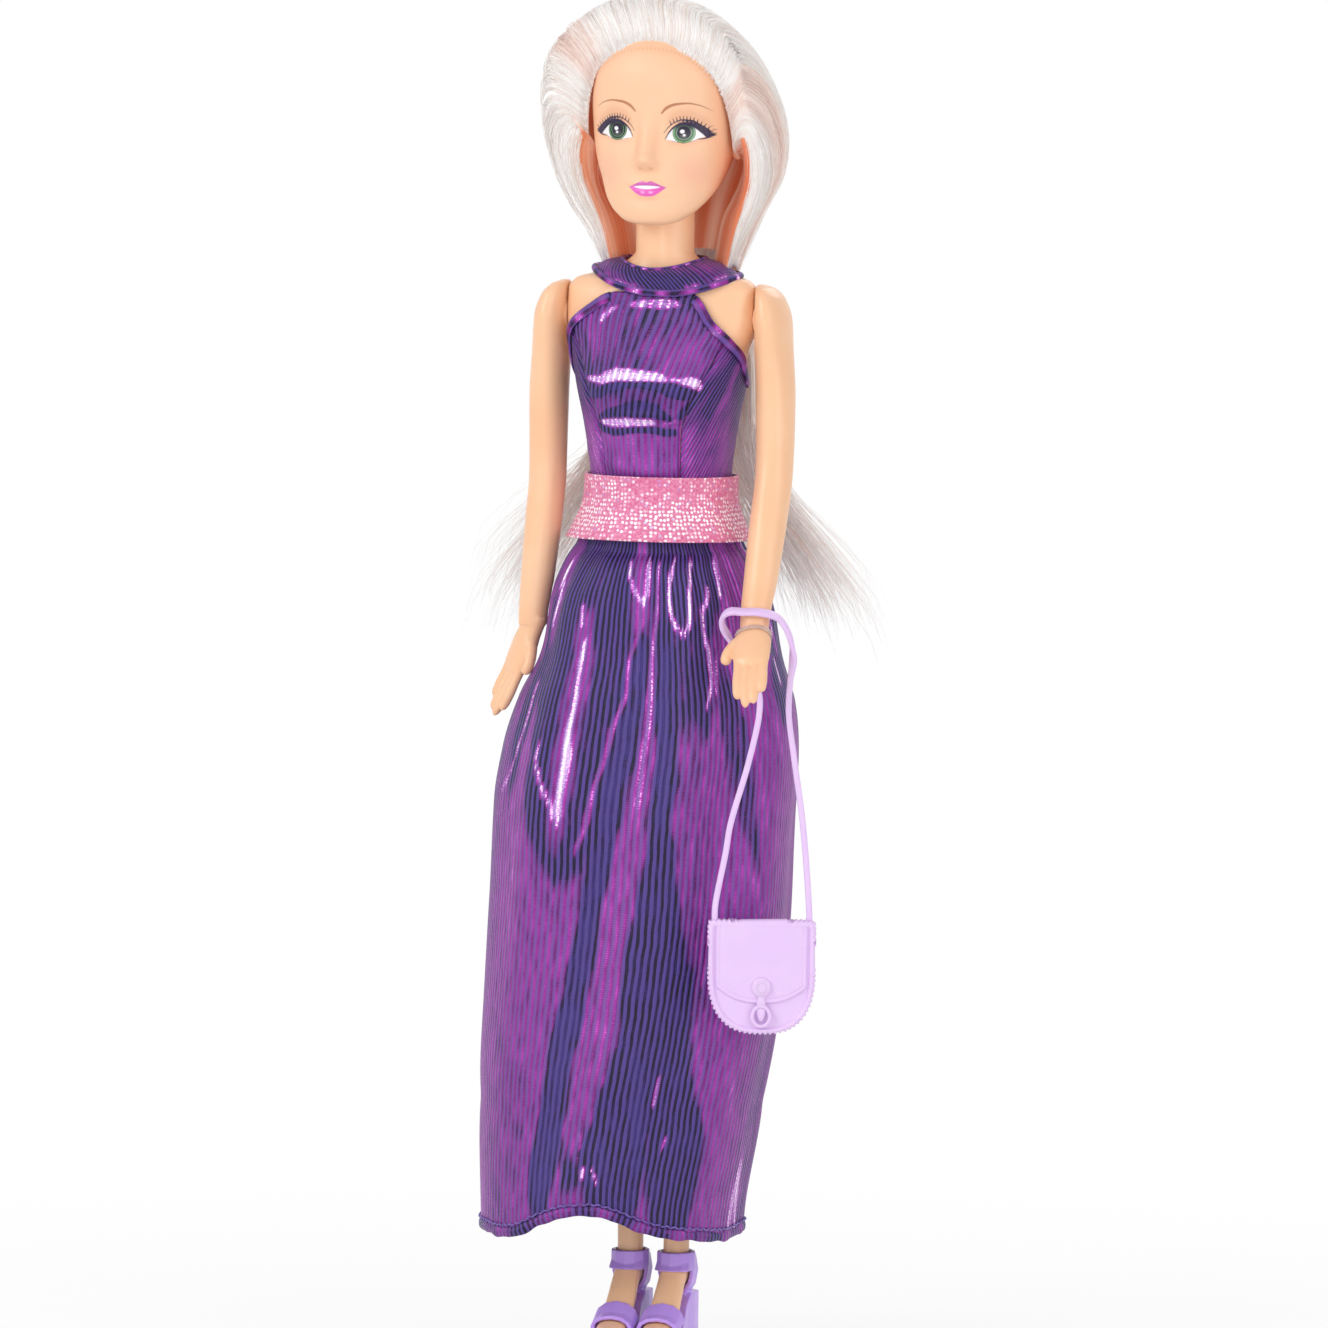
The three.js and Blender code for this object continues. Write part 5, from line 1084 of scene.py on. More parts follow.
def fall_core():
    """The fall's body: ovals stacked down behind the back that thin to a point at the hips, where loose
    strands cover it, combed by streaks along it."""
    share = np.linspace(0, 1, 90)
    turn = round_angles(160)
    row = station([[0, 8.0, 14.2, 0.6], [0.07, 11.6, 14.3, 2.0], [0.14, 12.6, 14.4, 2.8],
                   [0.3, 15.0, 14.2, 2.4], [0.5, 14.5, 13.8, 1.9], [0.7, 12.5, 15.6, 1.4],
                   [0.85, 9.5, 19.2, 0.9], [0.95, 6.0, 21.8, 0.6], [1.0, 3.0, 22.6, 0.3]], share)
    wide, back, thick = (row[:, k:k + 1] for k in range(3))
    comb = 0.28 * waves(11, np.cos(turn), 10, 25, 70)[None, :]
    grid = oval(turn[None, :], wide + comb, thick + comb, thick + comb, 2.4, 0.0, back,
                FALL_TOP - 74 * share[:, None])
    ragged = 2.2 * waves(12, np.cos(turn), 8, 14, 50)[None, :] * ease(share, 0.8, 1)[:, None]
    grid[..., 2] += ragged
    uv_turn = np.abs(np.linspace(-1, 1, len(turn) + 1))
    uv = np.stack(np.broadcast_arrays(uv_turn[None, :], share[:, None]), -1)
    # Painted shade: the side of the fall that faces the doll's back takes more of the peach colour and painted
    # glow.
    return grid_piece("hair_fall_core", grid, True, (True, True), uv=uv,
                      marks={"tone": np.full(grid.shape[:2], 0.45),
                             "warm_shade_glow": 0.06 + 0.24 * ease(back - grid[..., 1], -0.4, 0.4)},
                      flip=True)


head = dress_up(head_piece(), "head", "vinyl_skin", face_vinyl, "head")
ear_vinyl = moulded_plastic("moulded_ear_vinyl", "#f2bd98", "#e8a480", 0.5)
for ear_side in (-1, 1):
    dress_up(ear_piece(ear_side), "head", "vinyl_skin", ear_vinyl)

hair_cap = cap_piece()
dress_up(hair_cap, "head", "hair", hair_fibre, "hair_crown")
for strand_name, numbers, options in (
        ("hair_cap_locks", (21, 900, 0.0, 1.08, 0.0, 0.35, 0.13), {}),
        ("hair_cap_strays", (22, 260, 0.4, 1.1, 0.3, 1.0, 0.06), {"spread": 0.03}),
        ("hair_root_row", (23, 420, 0.0, 1.0, 0.0, 0.15, 0.11, 10, (-0.012, 0.004), (0.08, 0.16)), {}),
        ("hair_curtain_locks", (24, 420, 1.04, 1.3, -0.4, 0.4, 0.16), {"end": (0.92, 1.0), "spread": 0.02}),
        # The neck locks take half the rust of painted shade, since they hang in the shade beside the neck.
        ("hair_neck_locks", (25, 130, 1.14, 1.26, -0.9, -0.2, 0.17),
         {"start": (0.3, 0.6), "end": (0.94, 1.0), "spread": 0.03, "warm_shade_glow": 0.5})):
    dress_up(cap_strands(strand_name, *numbers, **options), "head", "hair", hair_fibre)
fall_first = fall_strand_piece("hair_fall_strands", 31, 1350, 0.085)
fall_second = fall_strand_piece("hair_fall_wisps", 41, 1350, 0.06)
for fall in (fall_core(), fall_first, fall_second):
    fall.data.materials.append(hair_fibre)
    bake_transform(fall)
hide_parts("hair_fall")


# Body: the two moulded halves of the torso, the arms with their hands, and smooth legs and shoes

def torso_half(name, front):
    """One moulded half of the torso: its oval over half a turn, cut flat at the shoulder sockets and
    closed by a flat wall along the seam, beside which the surface dips by 0.15 mm."""
    rise = np.concatenate([np.linspace(-5, 60, 50), np.linspace(61, 79.2, 50), np.linspace(79.5, 100, 26)])
    rise = rise[:, None]
    first = -math.pi if front else 0.0
    turn = first + math.pi * np.sin(np.linspace(0, math.pi / 2, 100))[None, :] ** 2
    edge = np.degrees(np.minimum(turn - first, first + math.pi - turn))
    shell = torso_at(rise, turn, -0.15 * (1 - ease(edge, 0, 2.5)))
    wall = shell[:, -1:] + (shell[:, :1] - shell[:, -1:]) * np.linspace(0, 1, 14)[None, 1:-1, None]
    grid = np.concatenate([shell, wall], 1)
    collar_bones = 0.35 * bump_at(np.abs(grid[..., 0]), 9 + (grid[..., 2] - 228) * -1.2, 2.2)
    grid[..., 1] -= np.where(grid[..., 1] < -2, collar_bones * bump_at(grid[..., 2], 228, 2.4), 0)
    grid[..., 0] = np.clip(grid[..., 0], -SHOULDER_HALF, SHOULDER_HALF)
    return grid_piece(name, grid, True, (True, True))


for half in ("front", "back"):
    dress_up(torso_half(f"torso_{half}_moulded", half == "front"), "torso", "skin", body_plastic,
             f"torso_{half}")
for plain, finish in (("neck_knob", neck_plastic), ("hip_bar", neck_plastic), ("fastener_loop", tape),
                      ("fastener_hook", tape)):
    nodes[plain].data.materials.clear()
    nodes[plain].data.materials.append(finish)

ARM_INNER = SHOULDER_HALF + 0.3
SHOULDER_Z = HIP + SHOULDER_RISE
UPPER, HAND = 34.0, 21.4
SHOULDER_CAP = [[0.995, 0.22, 0.2], [0.9, 0.42, 0.55], [0.6, 0.68, 0.84], [0, 0.86, 1], [-1, 0.93, 0.87]]


def arm_loft(side, elbow, wrist, fore):
    """The arm from the shoulder cap to the wrist: ovals on a bent middle line, level by level. The cap's
    inner side is flush with the socket and its outer side slopes."""
    cap = [[7.4 * drop, ARM_INNER + ARM_HALF * wide, 0, ARM_HALF * wide, 7.4 * deep]
           for drop, wide, deep in SHOULDER_CAP]
    middle = ARM_INNER + ARM_HALF
    rest = [
        [-UPPER * 0.5, (middle + elbow[0]) / 2, elbow[1] * 0.35, 4.12, 5.4],
        [-UPPER, elbow[0], elbow[1], 3.95, 4.47],
        [-UPPER - fore * 0.25, elbow[0] + (wrist[0] - elbow[0]) * 0.2,
         elbow[1] + (wrist[1] - elbow[1]) * 0.24, 3.95, 4.3],
        [-UPPER - fore * 0.65, elbow[0] + (wrist[0] - elbow[0]) * 0.62,
         elbow[1] + (wrist[1] - elbow[1]) * 0.65, 3.65, 3.61],
        [-UPPER - fore, wrist[0], wrist[1], 3.1, 2.85],
    ]
    table = np.array((cap + rest)[::-1])
    drop = np.concatenate([np.linspace(-UPPER - fore, -1, 80), 7.4 * np.sin(np.linspace(0, 1.47, 24))])
    row = station(table, drop)
    x, y, wide, deep = (row[:, k:k + 1] for k in range(4))
    turn = round_angles(56)[None, :]
    crest = 0.3 * bump_at(drop[:, None], -UPPER - 3, 6) * bump_at((turn - 1.5 * math.pi) * 57.3, -18, 22)
    grid = oval(turn, wide + crest, deep + crest, deep, 2.0, x, y, SHOULDER_Z + drop[:, None])
    grid[..., 0] *= side
    return grid if side > 0 else grid[:, ::-1]


def hand_parts(name, wrist, down, across, curl):
    """A palm lofted from ovals along the hand, four fingers and a thumb as tapered tubes: the fingers
    bend out of the palm's plane by the curl times their place squared."""
    down = unit(np.array(down, float))
    across = unit(np.array(across, float) - np.dot(across, down) * down)
    normal = unit(np.cross(down, across))
    half, thick = 4.1, 1.9

    def put(x, y, z):
        return (wrist + np.multiply.outer(x, across) + np.multiply.outer(y, normal)
                + np.multiply.outer(z, down))

    table = [[-0.12, 0.68, 1.25, 0], [0.06, 0.76, 1.2, 0], [0.22, 1, 1.1, 0.04], [0.38, 0.98, 0.96, 0.02],
             [0.5, 0.88, 0.78, 0], [0.545, 0.5, 0.4, 0]]
    along = np.linspace(-0.12, 0.545, 26)[:, None]
    row = station(table, along[:, 0])
    turn = round_angles(40)[None, :]
    wide, flat, shift = (row[:, k:k + 1] for k in range(3))
    x = (shift + wide * np.cos(turn)) * half
    y = flat * thick * np.sin(turn)
    parts = [grid_piece(name + "_palm", put(x, y, along * HAND + 0 * turn), True, (True, True))]
    t = np.linspace(0, 1, 30)
    for place, reach in ((-0.68, 0.85), (-0.23, 0.965), (0.23, 1.0), (0.68, 0.91)):
        share = 0.38 + (reach - 0.38) * t
        lean = place * half * (1 - 0.08 * t)
        bend = curl * HAND * (share - 0.38) ** 2 * 1.6
        radius = 1.04 * np.sqrt(np.clip(1 - np.clip((t - 0.86) / 0.14, 0, 1) ** 2, 0.02, 1))
        radius = radius * (1 + 0.07 * np.cos(t * 9.4))
        path = put(lean, bend, share * HAND)
        parts.append(tubes_piece(name + "_finger", path[None], radius[None], 14, normal))
    bow = np.array([[0.25 * half, 0, 0.1 * HAND], [0.95 * half, 0.1, 0.23 * HAND],
                    [1.32 * half, 0.3, 0.36 * HAND], [1.38 * half, 0.8, 0.46 * HAND]])
    line = natural(np.array([0, 0.4, 0.75, 1.0]), bow, t)
    radius = 1.35 * np.sqrt(np.clip(1 - np.clip((t - 0.86) / 0.14, 0, 1) ** 2, 0.02, 1)) * (1 - 0.12 * t)
    path = put(line[:, 0], line[:, 1], line[:, 2])
    parts.append(tubes_piece(name + "_thumb", path[None], radius[None], 14, normal))
    return parts


def shoulder_peg(side):
    """The round boss that fills the gap between the arm and its socket."""
    turn = round_angles(36)
    rows = np.array([[20.6, 0.1], [20.6, 3.0], [24.5, 3.0], [24.5, 0.1]])
    x = rows[:, 0][:, None] * side + 0 * turn
    radius = rows[:, 1][:, None]
    grid = np.stack([x, radius * np.cos(turn), SHOULDER_Z + radius * np.sin(turn)], -1)
    return grid_piece("peg", grid, True, (True, True), flip=side < 0)


def arm_piece(name, side, elbow, wrist, fore, down, across, curl):
    """One moulded arm: the loft, the hand and the boss are meshed anew together in cells of 0.24 mm and
    smoothed."""
    loft = grid_piece(name, arm_loft(side, elbow, wrist, fore), True, (True, True))
    wrist_point = np.array([side * wrist[0], wrist[1], SHOULDER_Z - UPPER - fore])
    parts = [loft, shoulder_peg(side), *hand_parts(name, wrist_point, down, across, curl)]
    whole = joined(name, parts)
    return finish_with(whole, [("REMESH", {"mode": "VOXEL", "voxel_size": 0.24 * MM}),
                               ("SMOOTH", {"factor": 0.5, "iterations": 5}),
                               ("DECIMATE", {"ratio": 0.5})])


LEFT_WRIST = np.array([26.2, -17.4, 158.0])
LEFT_DOWN = np.array([3.4, -16.4, -13.75])
THUMB_TURN = math.radians(42)
left_arm = arm_piece("arm_left_moulded", 1, (26.2, -4.6), LEFT_WRIST, 30.0, LEFT_DOWN, (-1, 0, 0), 0.2)
dress_up(left_arm, "arm_left", "skin", body_plastic, "arm_left")
right_arm = arm_piece("arm_right_moulded", -1, (25.3, 0), (27.2, -3.6), 32.2, (-9.1, 0, -HAND),
                      (math.cos(THUMB_TURN), -math.sin(THUMB_TURN), 0), 0.05)
dress_up(right_arm, "arm_right", "skin", body_plastic, "arm_right")
for side_name in ("left", "right"):
    leg = softened(f"leg_{side_name}_moulded", f"leg_{side_name}", 0.4, 10)
    dress_up(leg, f"leg_{side_name}", "skin", body_plastic, f"leg_{side_name}")
    shoe = softened(f"shoe_{side_name}_moulded", f"shoe_{side_name}", 0.2, 5)
    dress_up(shoe, f"leg_{side_name}", "shoe_plastic", shoe_pvc, f"shoe_{side_name}")


# Dress: bodice panels, bound edge, collar, sash and skirt

CLOTH_GAP, CLOTH = 0.5, 0.6
SIDE_SEAM, BACK_SEAM = 112.0, 179.4
SEAM_LEFT = [[31, 25.5], [46, 25.5], [51, 30], [56, 38], [60, 44], [66, 50], [76, 52]]
SEAM_RIGHT = [[31, -39], [41, -39], [47, -41.5], [52, -44.5], [58, -50], [66, -57], [76, -60]]
TOP_LEFT = [[0, 75.6], [22, 75.6], [31, 70.6], [51, 66.2], [72, 62.6], [94, 57.6], [105, 57], [140, 58.8],
            [180, 60]]
TOP_RIGHT = [[0, 75.6], [18, 75.6], [38, 72.2], [58, 68.2], [74, 63.4], [90, 58.4], [105, 57], [140, 58.8],
             [180, 60]]
BODICE_BOTTOM = WAIST_RISE - 0.9


def bodice_top(degrees):
    """Rise of the bodice's top edge: high at the neck, down the armhole, low round the back. The cut on
    the doll's left is deeper."""
    degrees = np.asarray(degrees, float)
    left, right = station(TOP_LEFT, np.abs(degrees))[..., 0], station(TOP_RIGHT, np.abs(degrees))[..., 0]
    return np.where(degrees > 0, left, right)


def seam_at(seam, rise):
    """Angle of a seam at a rise: a table for a curved one, or the same angle all the way."""
    return station(seam, rise)[..., 0] if isinstance(seam, list) else np.full(np.shape(rise), float(seam))


def panel(name, first, last, lean):
    """A bodice panel: it follows the torso between two seams, its edges dip a little into the seams,
    and its ribs run up it, leaning by a share of the height and bowing with the curved seams."""
    cols, rows = 90, 120
    c = np.linspace(0, 1, cols)[None, :]
    up = np.linspace(0, 1, rows)[:, None]
    rise = BODICE_BOTTOM + up * (70 - BODICE_BOTTOM) + 0 * c
    for _ in range(6):
        low, high = seam_at(first, rise) + 0.4, seam_at(last, rise) - 0.4
        degrees = low + c * (high - low)
        rise = BODICE_BOTTOM + up * (bodice_top(degrees) - BODICE_BOTTOM)
    angle = np.radians(degrees - 90)
    seam = np.minimum(degrees - low, high - degrees)
    dip = 0.42 * (1 - ease(seam, 0, 4.0))
    fold = (0.5 * bump_at(rise, 49.6, 1.0) - 0.3 * bump_at(rise, 47.6, 0.9)) * bump_at(degrees, 0, 26)
    fold = fold + 0.35 * bump_at(rise, 37.5 + 0.05 * np.abs(degrees), 1.4) * bump_at(degrees, 0, 70)
    fold = fold + 0.12 * waves(41, (degrees / 14, rise / 7), 6, 0.8, 2.0)
    outer = torso_at(rise, angle, CLOTH_GAP + CLOTH)
    normal = unit(torso_at(rise, angle, 2.0) - torso_at(rise, angle, 0.0))
    outer = outer + normal * (fold - dip)[..., None]
    inner = torso_at(rise, angle, CLOTH_GAP) - normal * dip[..., None] * 0.5
    inner = inner + normal * fold[..., None] * 0.8
    for grid in (outer, inner):
        grid[..., 0] = np.clip(grid[..., 0], -SHOULDER_HALF + 0.1, SHOULDER_HALF - 0.1)
    across = np.radians(degrees) * BODICE_RADIUS
    if abs(lean) > 0.5:
        u = (across + lean * (rise - 48)) / (RIB_PITCH * 0.8)
    else:
        u = (across + lean * (rise - 48) * ease(rise, 44, 60)) / RIB_PITCH
    uv = np.stack([u, rise], -1)
    painted_gleam = np.clip(bodice_painted_gleam(degrees, rise), 0, 1)
    return sheet_piece(name, outer, inner, uv=uv, marks={"painted_gleam": painted_gleam})


def streak_mask(degrees, share, points, soft=0.6, fray=1.0):
    """1 on a streak and 0 off it: the distance on the cloth, in mm, to the nearest of the straight steps
    between its points, less its half width there. A fray below 1 counts lengths along the ribs for less,
    so the streak's ends fade."""
    x, y = degrees * SKIRT_DEGREE, share * SKIRT_LENGTH * fray
    line = np.array(points) * [SKIRT_DEGREE, SKIRT_LENGTH * fray, 1]
    near = np.full(np.broadcast(x, y).shape, 99.0)
    for first, last in zip(line[:-1], line[1:]):
        step = last - first
        t = ((x - first[0]) * step[0] + (y - first[1]) * step[1]) / (step[0] ** 2 + step[1] ** 2)
        t = np.clip(t, 0, 1)
        reach = np.hypot(x - first[0] - t * step[0], y - first[1] - t * step[1]) - first[2] - t * step[2]
        near = np.minimum(near, reach)
    return 1 - ease(near, -soft, soft)


# Painted streaks of highlight and shade on the bodice: degrees, rise and half width in mm along each, and the
# level of painted_gleam it is laid at.
BODICE_STREAKS = [
    [[[-43, 53.9, 1.0], [-32, 54.3, 1.1], [-22, 55.7, 1.1], [-13, 56.2, 1.0], [-4, 56.7, 0.9], [8, 56.1, 1.0],
      [20, 55.3, 1.5], [28, 54.4, 1.2]], 0.14],
    [[[-42, 47.3, 0.6], [-34, 46.7, 0.8], [-25, 45.9, 0.8], [-14, 46.1, 0.7], [-6, 46.6, 0.7], [0, 46.8, 0.7],
      [7, 46.4, 0.8], [14, 46.2, 0.8], [22, 46.2, 0.6]], 0.17],
    [[[-36, 48.9, 0.5], [-24, 49.9, 0.9], [-15, 50.6, 1.3], [-10, 51.0, 1.6], [-3, 51.1, 1.8], [5, 50.7, 1.5],
      [8, 50.2, 1.2], [15, 49.5, 0.8], [19, 48.8, 0.5]], 0.18],
    [[[34, 52.5, 0.8], [30, 50.8, 0.9], [26, 49.7, 0.7]], 0.16],
    [[[64, 61, 1.4], [54, 55.1, 1.6], [46, 50, 1.2]], 0.3],
    [[[72, 60, 1.0], [67, 54.9, 1.6], [55, 49, 1.8], [46, 42.5, 1.6], [38, 38.4, 1.0]], 0.5],
    [[[-40, 57.2, 0.7], [-32, 57.0, 0.9], [-26, 57.6, 1.3], [-16, 58.3, 1.5], [-4, 58.3, 1.35], [5, 58.1, 1.1],
      [12, 57.6, 0.7]], 0.83],
    [[[-26, 57.5, 0.5], [-16, 58.1, 0.7], [-4, 58.1, 0.6], [4, 58.0, 0.4]], 0.95],
    [[[18, 57.6, 0.4], [24, 57.4, 0.5], [29, 57.2, 1.0], [35, 56.5, 1.2], [38, 55.9, 0.8]], 0.8],
    [[[30, 57, 0.6], [35, 56.4, 0.7]], 0.95],
    [[[-32, 48, 0.5], [-22, 48, 0.85], [-8, 48.2, 0.9], [2, 48.2, 0.7]], 0.84],
    [[[10, 48, 0.35], [17, 48.1, 0.35], [22, 48.6, 0.3]], 0.66],
    [[[-28, 69.4, 0.4], [-24, 71.2, 0.7], [-20, 72.2, 0.5]], 0.76],
    [[[-8, 73.0, 0.6], [0, 73.2, 1.0], [6, 73.4, 1.2], [12, 73.4, 0.8], [16, 73, 0.4]], 0.76],
]


def bodice_painted_gleam(degrees, rise):
    """Painted reflection and shade on the bodice's foil: wine and dark above the bust, even magenta under the
    band, violet and a little darker as painted shade down the sides and back, and the painted streaks of the
    table."""
    value = 0.39 + 0.16 * ease(-rise, -57, -45) + 0.07 * waves(51, (degrees / 9, rise / 6), 6, 0.6, 1.8)
    value = value - 0.06 * ease(np.abs(degrees), 40, 70)
    bend = 2.0 * waves(54, (degrees / 6, rise / 3), 5, 0.8, 2)
    x = (degrees + bend) * BODICE_DEGREE
    for points, target in BODICE_STREAKS:
        line = [[place * BODICE_DEGREE / SKIRT_DEGREE, up / SKIRT_LENGTH, half]
                for place, up, half in points]
        mask = streak_mask(x / SKIRT_DEGREE, rise / SKIRT_LENGTH, line, 0.35)
        value = value + (target - value) * mask
    return value


PANELS = [
    ("bodice_centre", SEAM_RIGHT, SEAM_LEFT, -0.2),
    ("bodice_side_left", SEAM_LEFT, SIDE_SEAM, -0.62),
    ("bodice_side_right", -SIDE_SEAM, SEAM_RIGHT, 0.62),
    ("bodice_back_left", SIDE_SEAM, BACK_SEAM, 0.0),
    ("bodice_back_right", -BACK_SEAM, -SIDE_SEAM, 0.0),
]


def bound_edge(name, first, last):
    """The bound armhole edge: a flat folded tape 2 mm wide along the bodice's top edge, with its own
    ribs running across it."""
    degrees = np.linspace(first, last, 220)
    rise = bodice_top(degrees) - 0.8
    rise = np.convolve(np.pad(rise, 6, mode="edge"), np.full(13, 1 / 13), "valid")
    angle = np.radians(degrees - 90)
    path = torso_at(rise, angle, CLOTH_GAP + CLOTH + 0.25)
    path[:, 0] = np.clip(path[:, 0], -SHOULDER_HALF, SHOULDER_HALF)
    along = unit(np.gradient(path, axis=0))
    out = unit(torso_at(rise, angle, 2.0) - torso_at(rise, angle, 0.0))
    across = np.cross(along, out)
    turn = round_angles(14)
    grid = (path[:, None] + 1.15 * np.cos(turn)[None, :, None] * across[:, None]
            + 0.42 * np.sin(turn)[None, :, None] * out[:, None])
    length = np.concatenate([[0], np.cumsum(np.linalg.norm(np.diff(path, axis=0), axis=1))])
    uv = np.stack(np.broadcast_arrays(np.linspace(0, 3, 15)[None, :], length[:, None]), -1)
    # Painted reflection: the foil's painted_gleam drifts along the tape.
    painted_gleam = 0.46 + 0.26 * waves(61, length / 1.5, 7, 0.8, 2.5)[:, None] + 0 * turn
    marks = {"painted_gleam": np.clip(painted_gleam, 0, 1)}
    return grid_piece(name, grid, True, (True, True), uv=uv, marks=marks, flip=True)


bindings = [dress_up(bound_edge(name, first, last), "torso", "metallic_cloth", dress_foil)
            for name, first, last in (("bound_edge_left", 22, 178.5), ("bound_edge_right", -22, -178.5))]
for panel_name, first_seam, last_seam, lean_share in PANELS:
    cut = panel(panel_name + "_cloth", first_seam, last_seam, lean_share)
    cloth_slot = "dark_cloth" if "back" in panel_name else "metallic_cloth"
    dress_up(cut, "torso", cloth_slot, dress_foil, panel_name)


def collar_at(share, angle, offset):
    """The collar's cone: from a small ring at the neck (0) to a wide one on the shoulders (1), dipped in
    front by the square of how far the angle faces forward, and sewn 1 mm over to the doll's left."""
    forward = np.maximum(0, -np.sin(angle)) ** 2
    seat = torso_at(np.array(SHOULDER_TOP_RISE * 0.97), np.array(-math.pi / 2), CLOTH_GAP + CLOTH + 0.3)
    seat_back = torso_at(np.array(SHOULDER_TOP_RISE * 0.97), np.array(math.pi / 2), CLOTH_GAP + CLOTH + 0.3)
    top = oval(angle, 8.7, 8.5, 8.3, 2.0, -0.1, NECK_SET_BACK, HIP + 82.1 - forward * 2.0)
    bottom = oval(angle, 15.6, -seat[1] + 0.8, seat_back[1] + 0.8, 2.0, 0.9, 0.0,
                  HIP + 84 - 3.9 - forward * 4.7 - 1.4 * np.maximum(0, np.cos(angle)))
    out = unit(np.stack([np.cos(angle), np.sin(angle), np.ones_like(angle)], -1))
    return top + (bottom - top) * share[..., None] + out * offset[..., None]


def collar_piece():
    """The collar band with rolled edges. Its 70 ribs fan out from the neck, and in front and on the
    doll's right they lean, 25 degrees round from the upper edge to the lower."""
    turns = np.linspace(0, 2 * math.pi, 281)[None, :]
    down = np.linspace(0, 1, 36)[:, None]
    angle, share = np.broadcast_arrays(turns[:, :-1] + math.pi / 2, down)
    belly = 0.55 * np.sin(math.pi * share)
    ripple = 0.14 * waves(71, (np.cos(angle) * 2, np.sin(angle) * 2 + share), 5, 1, 3)
    outer = collar_at(share, angle, 0.6 + belly + ripple)
    inner = collar_at(share, angle, belly + ripple)
    around = np.degrees(turns) - 180
    u = 70 / 360 * (around - 25 * down * (1 - ease(around, -10, 50)) * ease(around, -170, -100))
    uv = np.stack(np.broadcast_arrays(u, 9.5 * down), -1)
    # Painted reflection and shade on the collar's foil: a drifting painted_gleam, painted shade over the front
    # on the doll's right part way down, and painted highlights on the gathers near the lower edge.
    painted_gleam = 0.36 + 0.13 * waves(72, (np.cos(angle) * 3, share * 2), 6, 0.8, 2.5)
    painted_gleam = painted_gleam - 0.14 * bump_at(np.degrees(turns[:, :-1]), 150, 26) * bump_at(share, 0.4, 0.45)
    gather = waves(75, np.degrees(angle) / 9, 6, 0.7, 2)
    painted_gleam = painted_gleam + 0.34 * bump_at(share, 0.9, 0.1) * ease(gather, 0, 0.5)
    return sheet_piece("collar_cloth", outer, inner, True, uv, {"painted_gleam": np.clip(painted_gleam, 0, 1)}, flip=True)


def closed_roll(name, path, wide, high, uv, painted_gleam, turn):
    """A roll round a closed path: its rings reach wide level and square to the path, and high upward
    and square to both. The first ring is repeated at the end and joined to it."""
    along = unit(np.roll(path, -1, 0) - np.roll(path, 1, 0))
    side = unit(np.cross(along, (0, 0, 1.0)))
    other = np.cross(side, along)
    grid = path[:, None] + wide[..., None] * side[:, None] + high[..., None] * other[:, None]
    grid = np.concatenate([grid, grid[:1]], 0)
    marks = {"painted_gleam": np.clip(painted_gleam, 0, 1)[:, None] + 0 * turn}
    return finish_with(grid_piece(name, grid, True, uv=uv, marks=marks, flip=True), [WELD])


def collar_roll(name, share, radius, seed):
    """A rolled edge of the collar: a tube round it at one share of its depth."""
    angle = np.append(round_angles(200), 2 * math.pi)
    path = collar_at(np.full(201, share), angle, np.full(201, 0.35))[:-1]
    turn = round_angles(12)
    uv = np.stack(np.broadcast_arrays(np.linspace(0, 3, 13)[None, :], np.linspace(0, 90, 201)[:, None]), -1)
    # Painted reflection: the foil's painted_gleam drifts along the roll.
    painted_gleam = 0.42 + 0.24 * waves(seed, np.linspace(0, 60, 201), 6, 0.8, 2.5)
    return closed_roll(name, path, radius * np.cos(turn), radius * np.sin(turn), uv, painted_gleam, turn)


collar = dress_up(collar_piece(), "torso", "metallic_cloth", dress_foil, "dress_collar")
rolls = [dress_up(collar_roll("collar_lower_roll", 1.0, 0.75, 73), "torso", "metallic_cloth", dress_foil),
         dress_up(collar_roll("collar_upper_roll", 0.0, 0.5, 74), "torso", "metallic_cloth", dress_foil)]


# The skirt: a sewn tube, gathered at the waist, hung a little to the doll's right

SKIRT_ROWS = [
    [0, 0, 0, 0, 0],
    [0.055, 0.52, 0.4, 0.4, 0],
    [0.09, 0.64, 0.62, 0.86, 0],
    [0.135, 0.74, 0.7, 0.94, 0],
    [0.21, 0.82, 0.77, 0.98, 0],
    [0.27, 0.92, 0.85, 1, 0.01],
    [0.34, 0.98, 0.91, 1, 0.1],
    [0.41, 1, 0.96, 1, 0.22],
    [0.55, 1, 1, 1, 0.335],
    [0.68, 0.98, 1.05, 1.01, 0.53],
    [0.82, 0.92, 1.13, 1.03, 0.79],
    [1, 0, 0, 0, 1],
]
FOLDS = [
    [-118, -132, 1, 12, 0.3],
    [-84, -104, -0.9, 9, 0.5],
    [-66, -86, 0.9, 10, 0.5],
    [-44, -62, -0.9, 9, 0.55],
    [-20, -38, 0.7, 11, 0.5],
    [12, -4, -0.7, 12, 0.6],
    [40, 30, 0.8, 12, 0.6],
    [74, 66, -0.8, 12, 0.5],
    [106, 104, 0.8, 12, 0.6],
    [140, 138, -0.7, 12, 0.5],
    [176, 172, 0.5, 12, 0.7],
]


# How far the hem is drawn up, in mm, by degrees round the skirt.
HEM_LIFT = [[-180, 0.6], [-150, 0.2], [-135, 0], [-120, 0.9], [-105, 3.7], [-92, 5.5], [-82, 6.1], [-74, 5.4],
            [-64, 3.5], [-52, 1.5], [-40, 0.4], [-20, 0], [60, 0.2], [90, 0.8], [130, 0.4], [180, 0.6]]


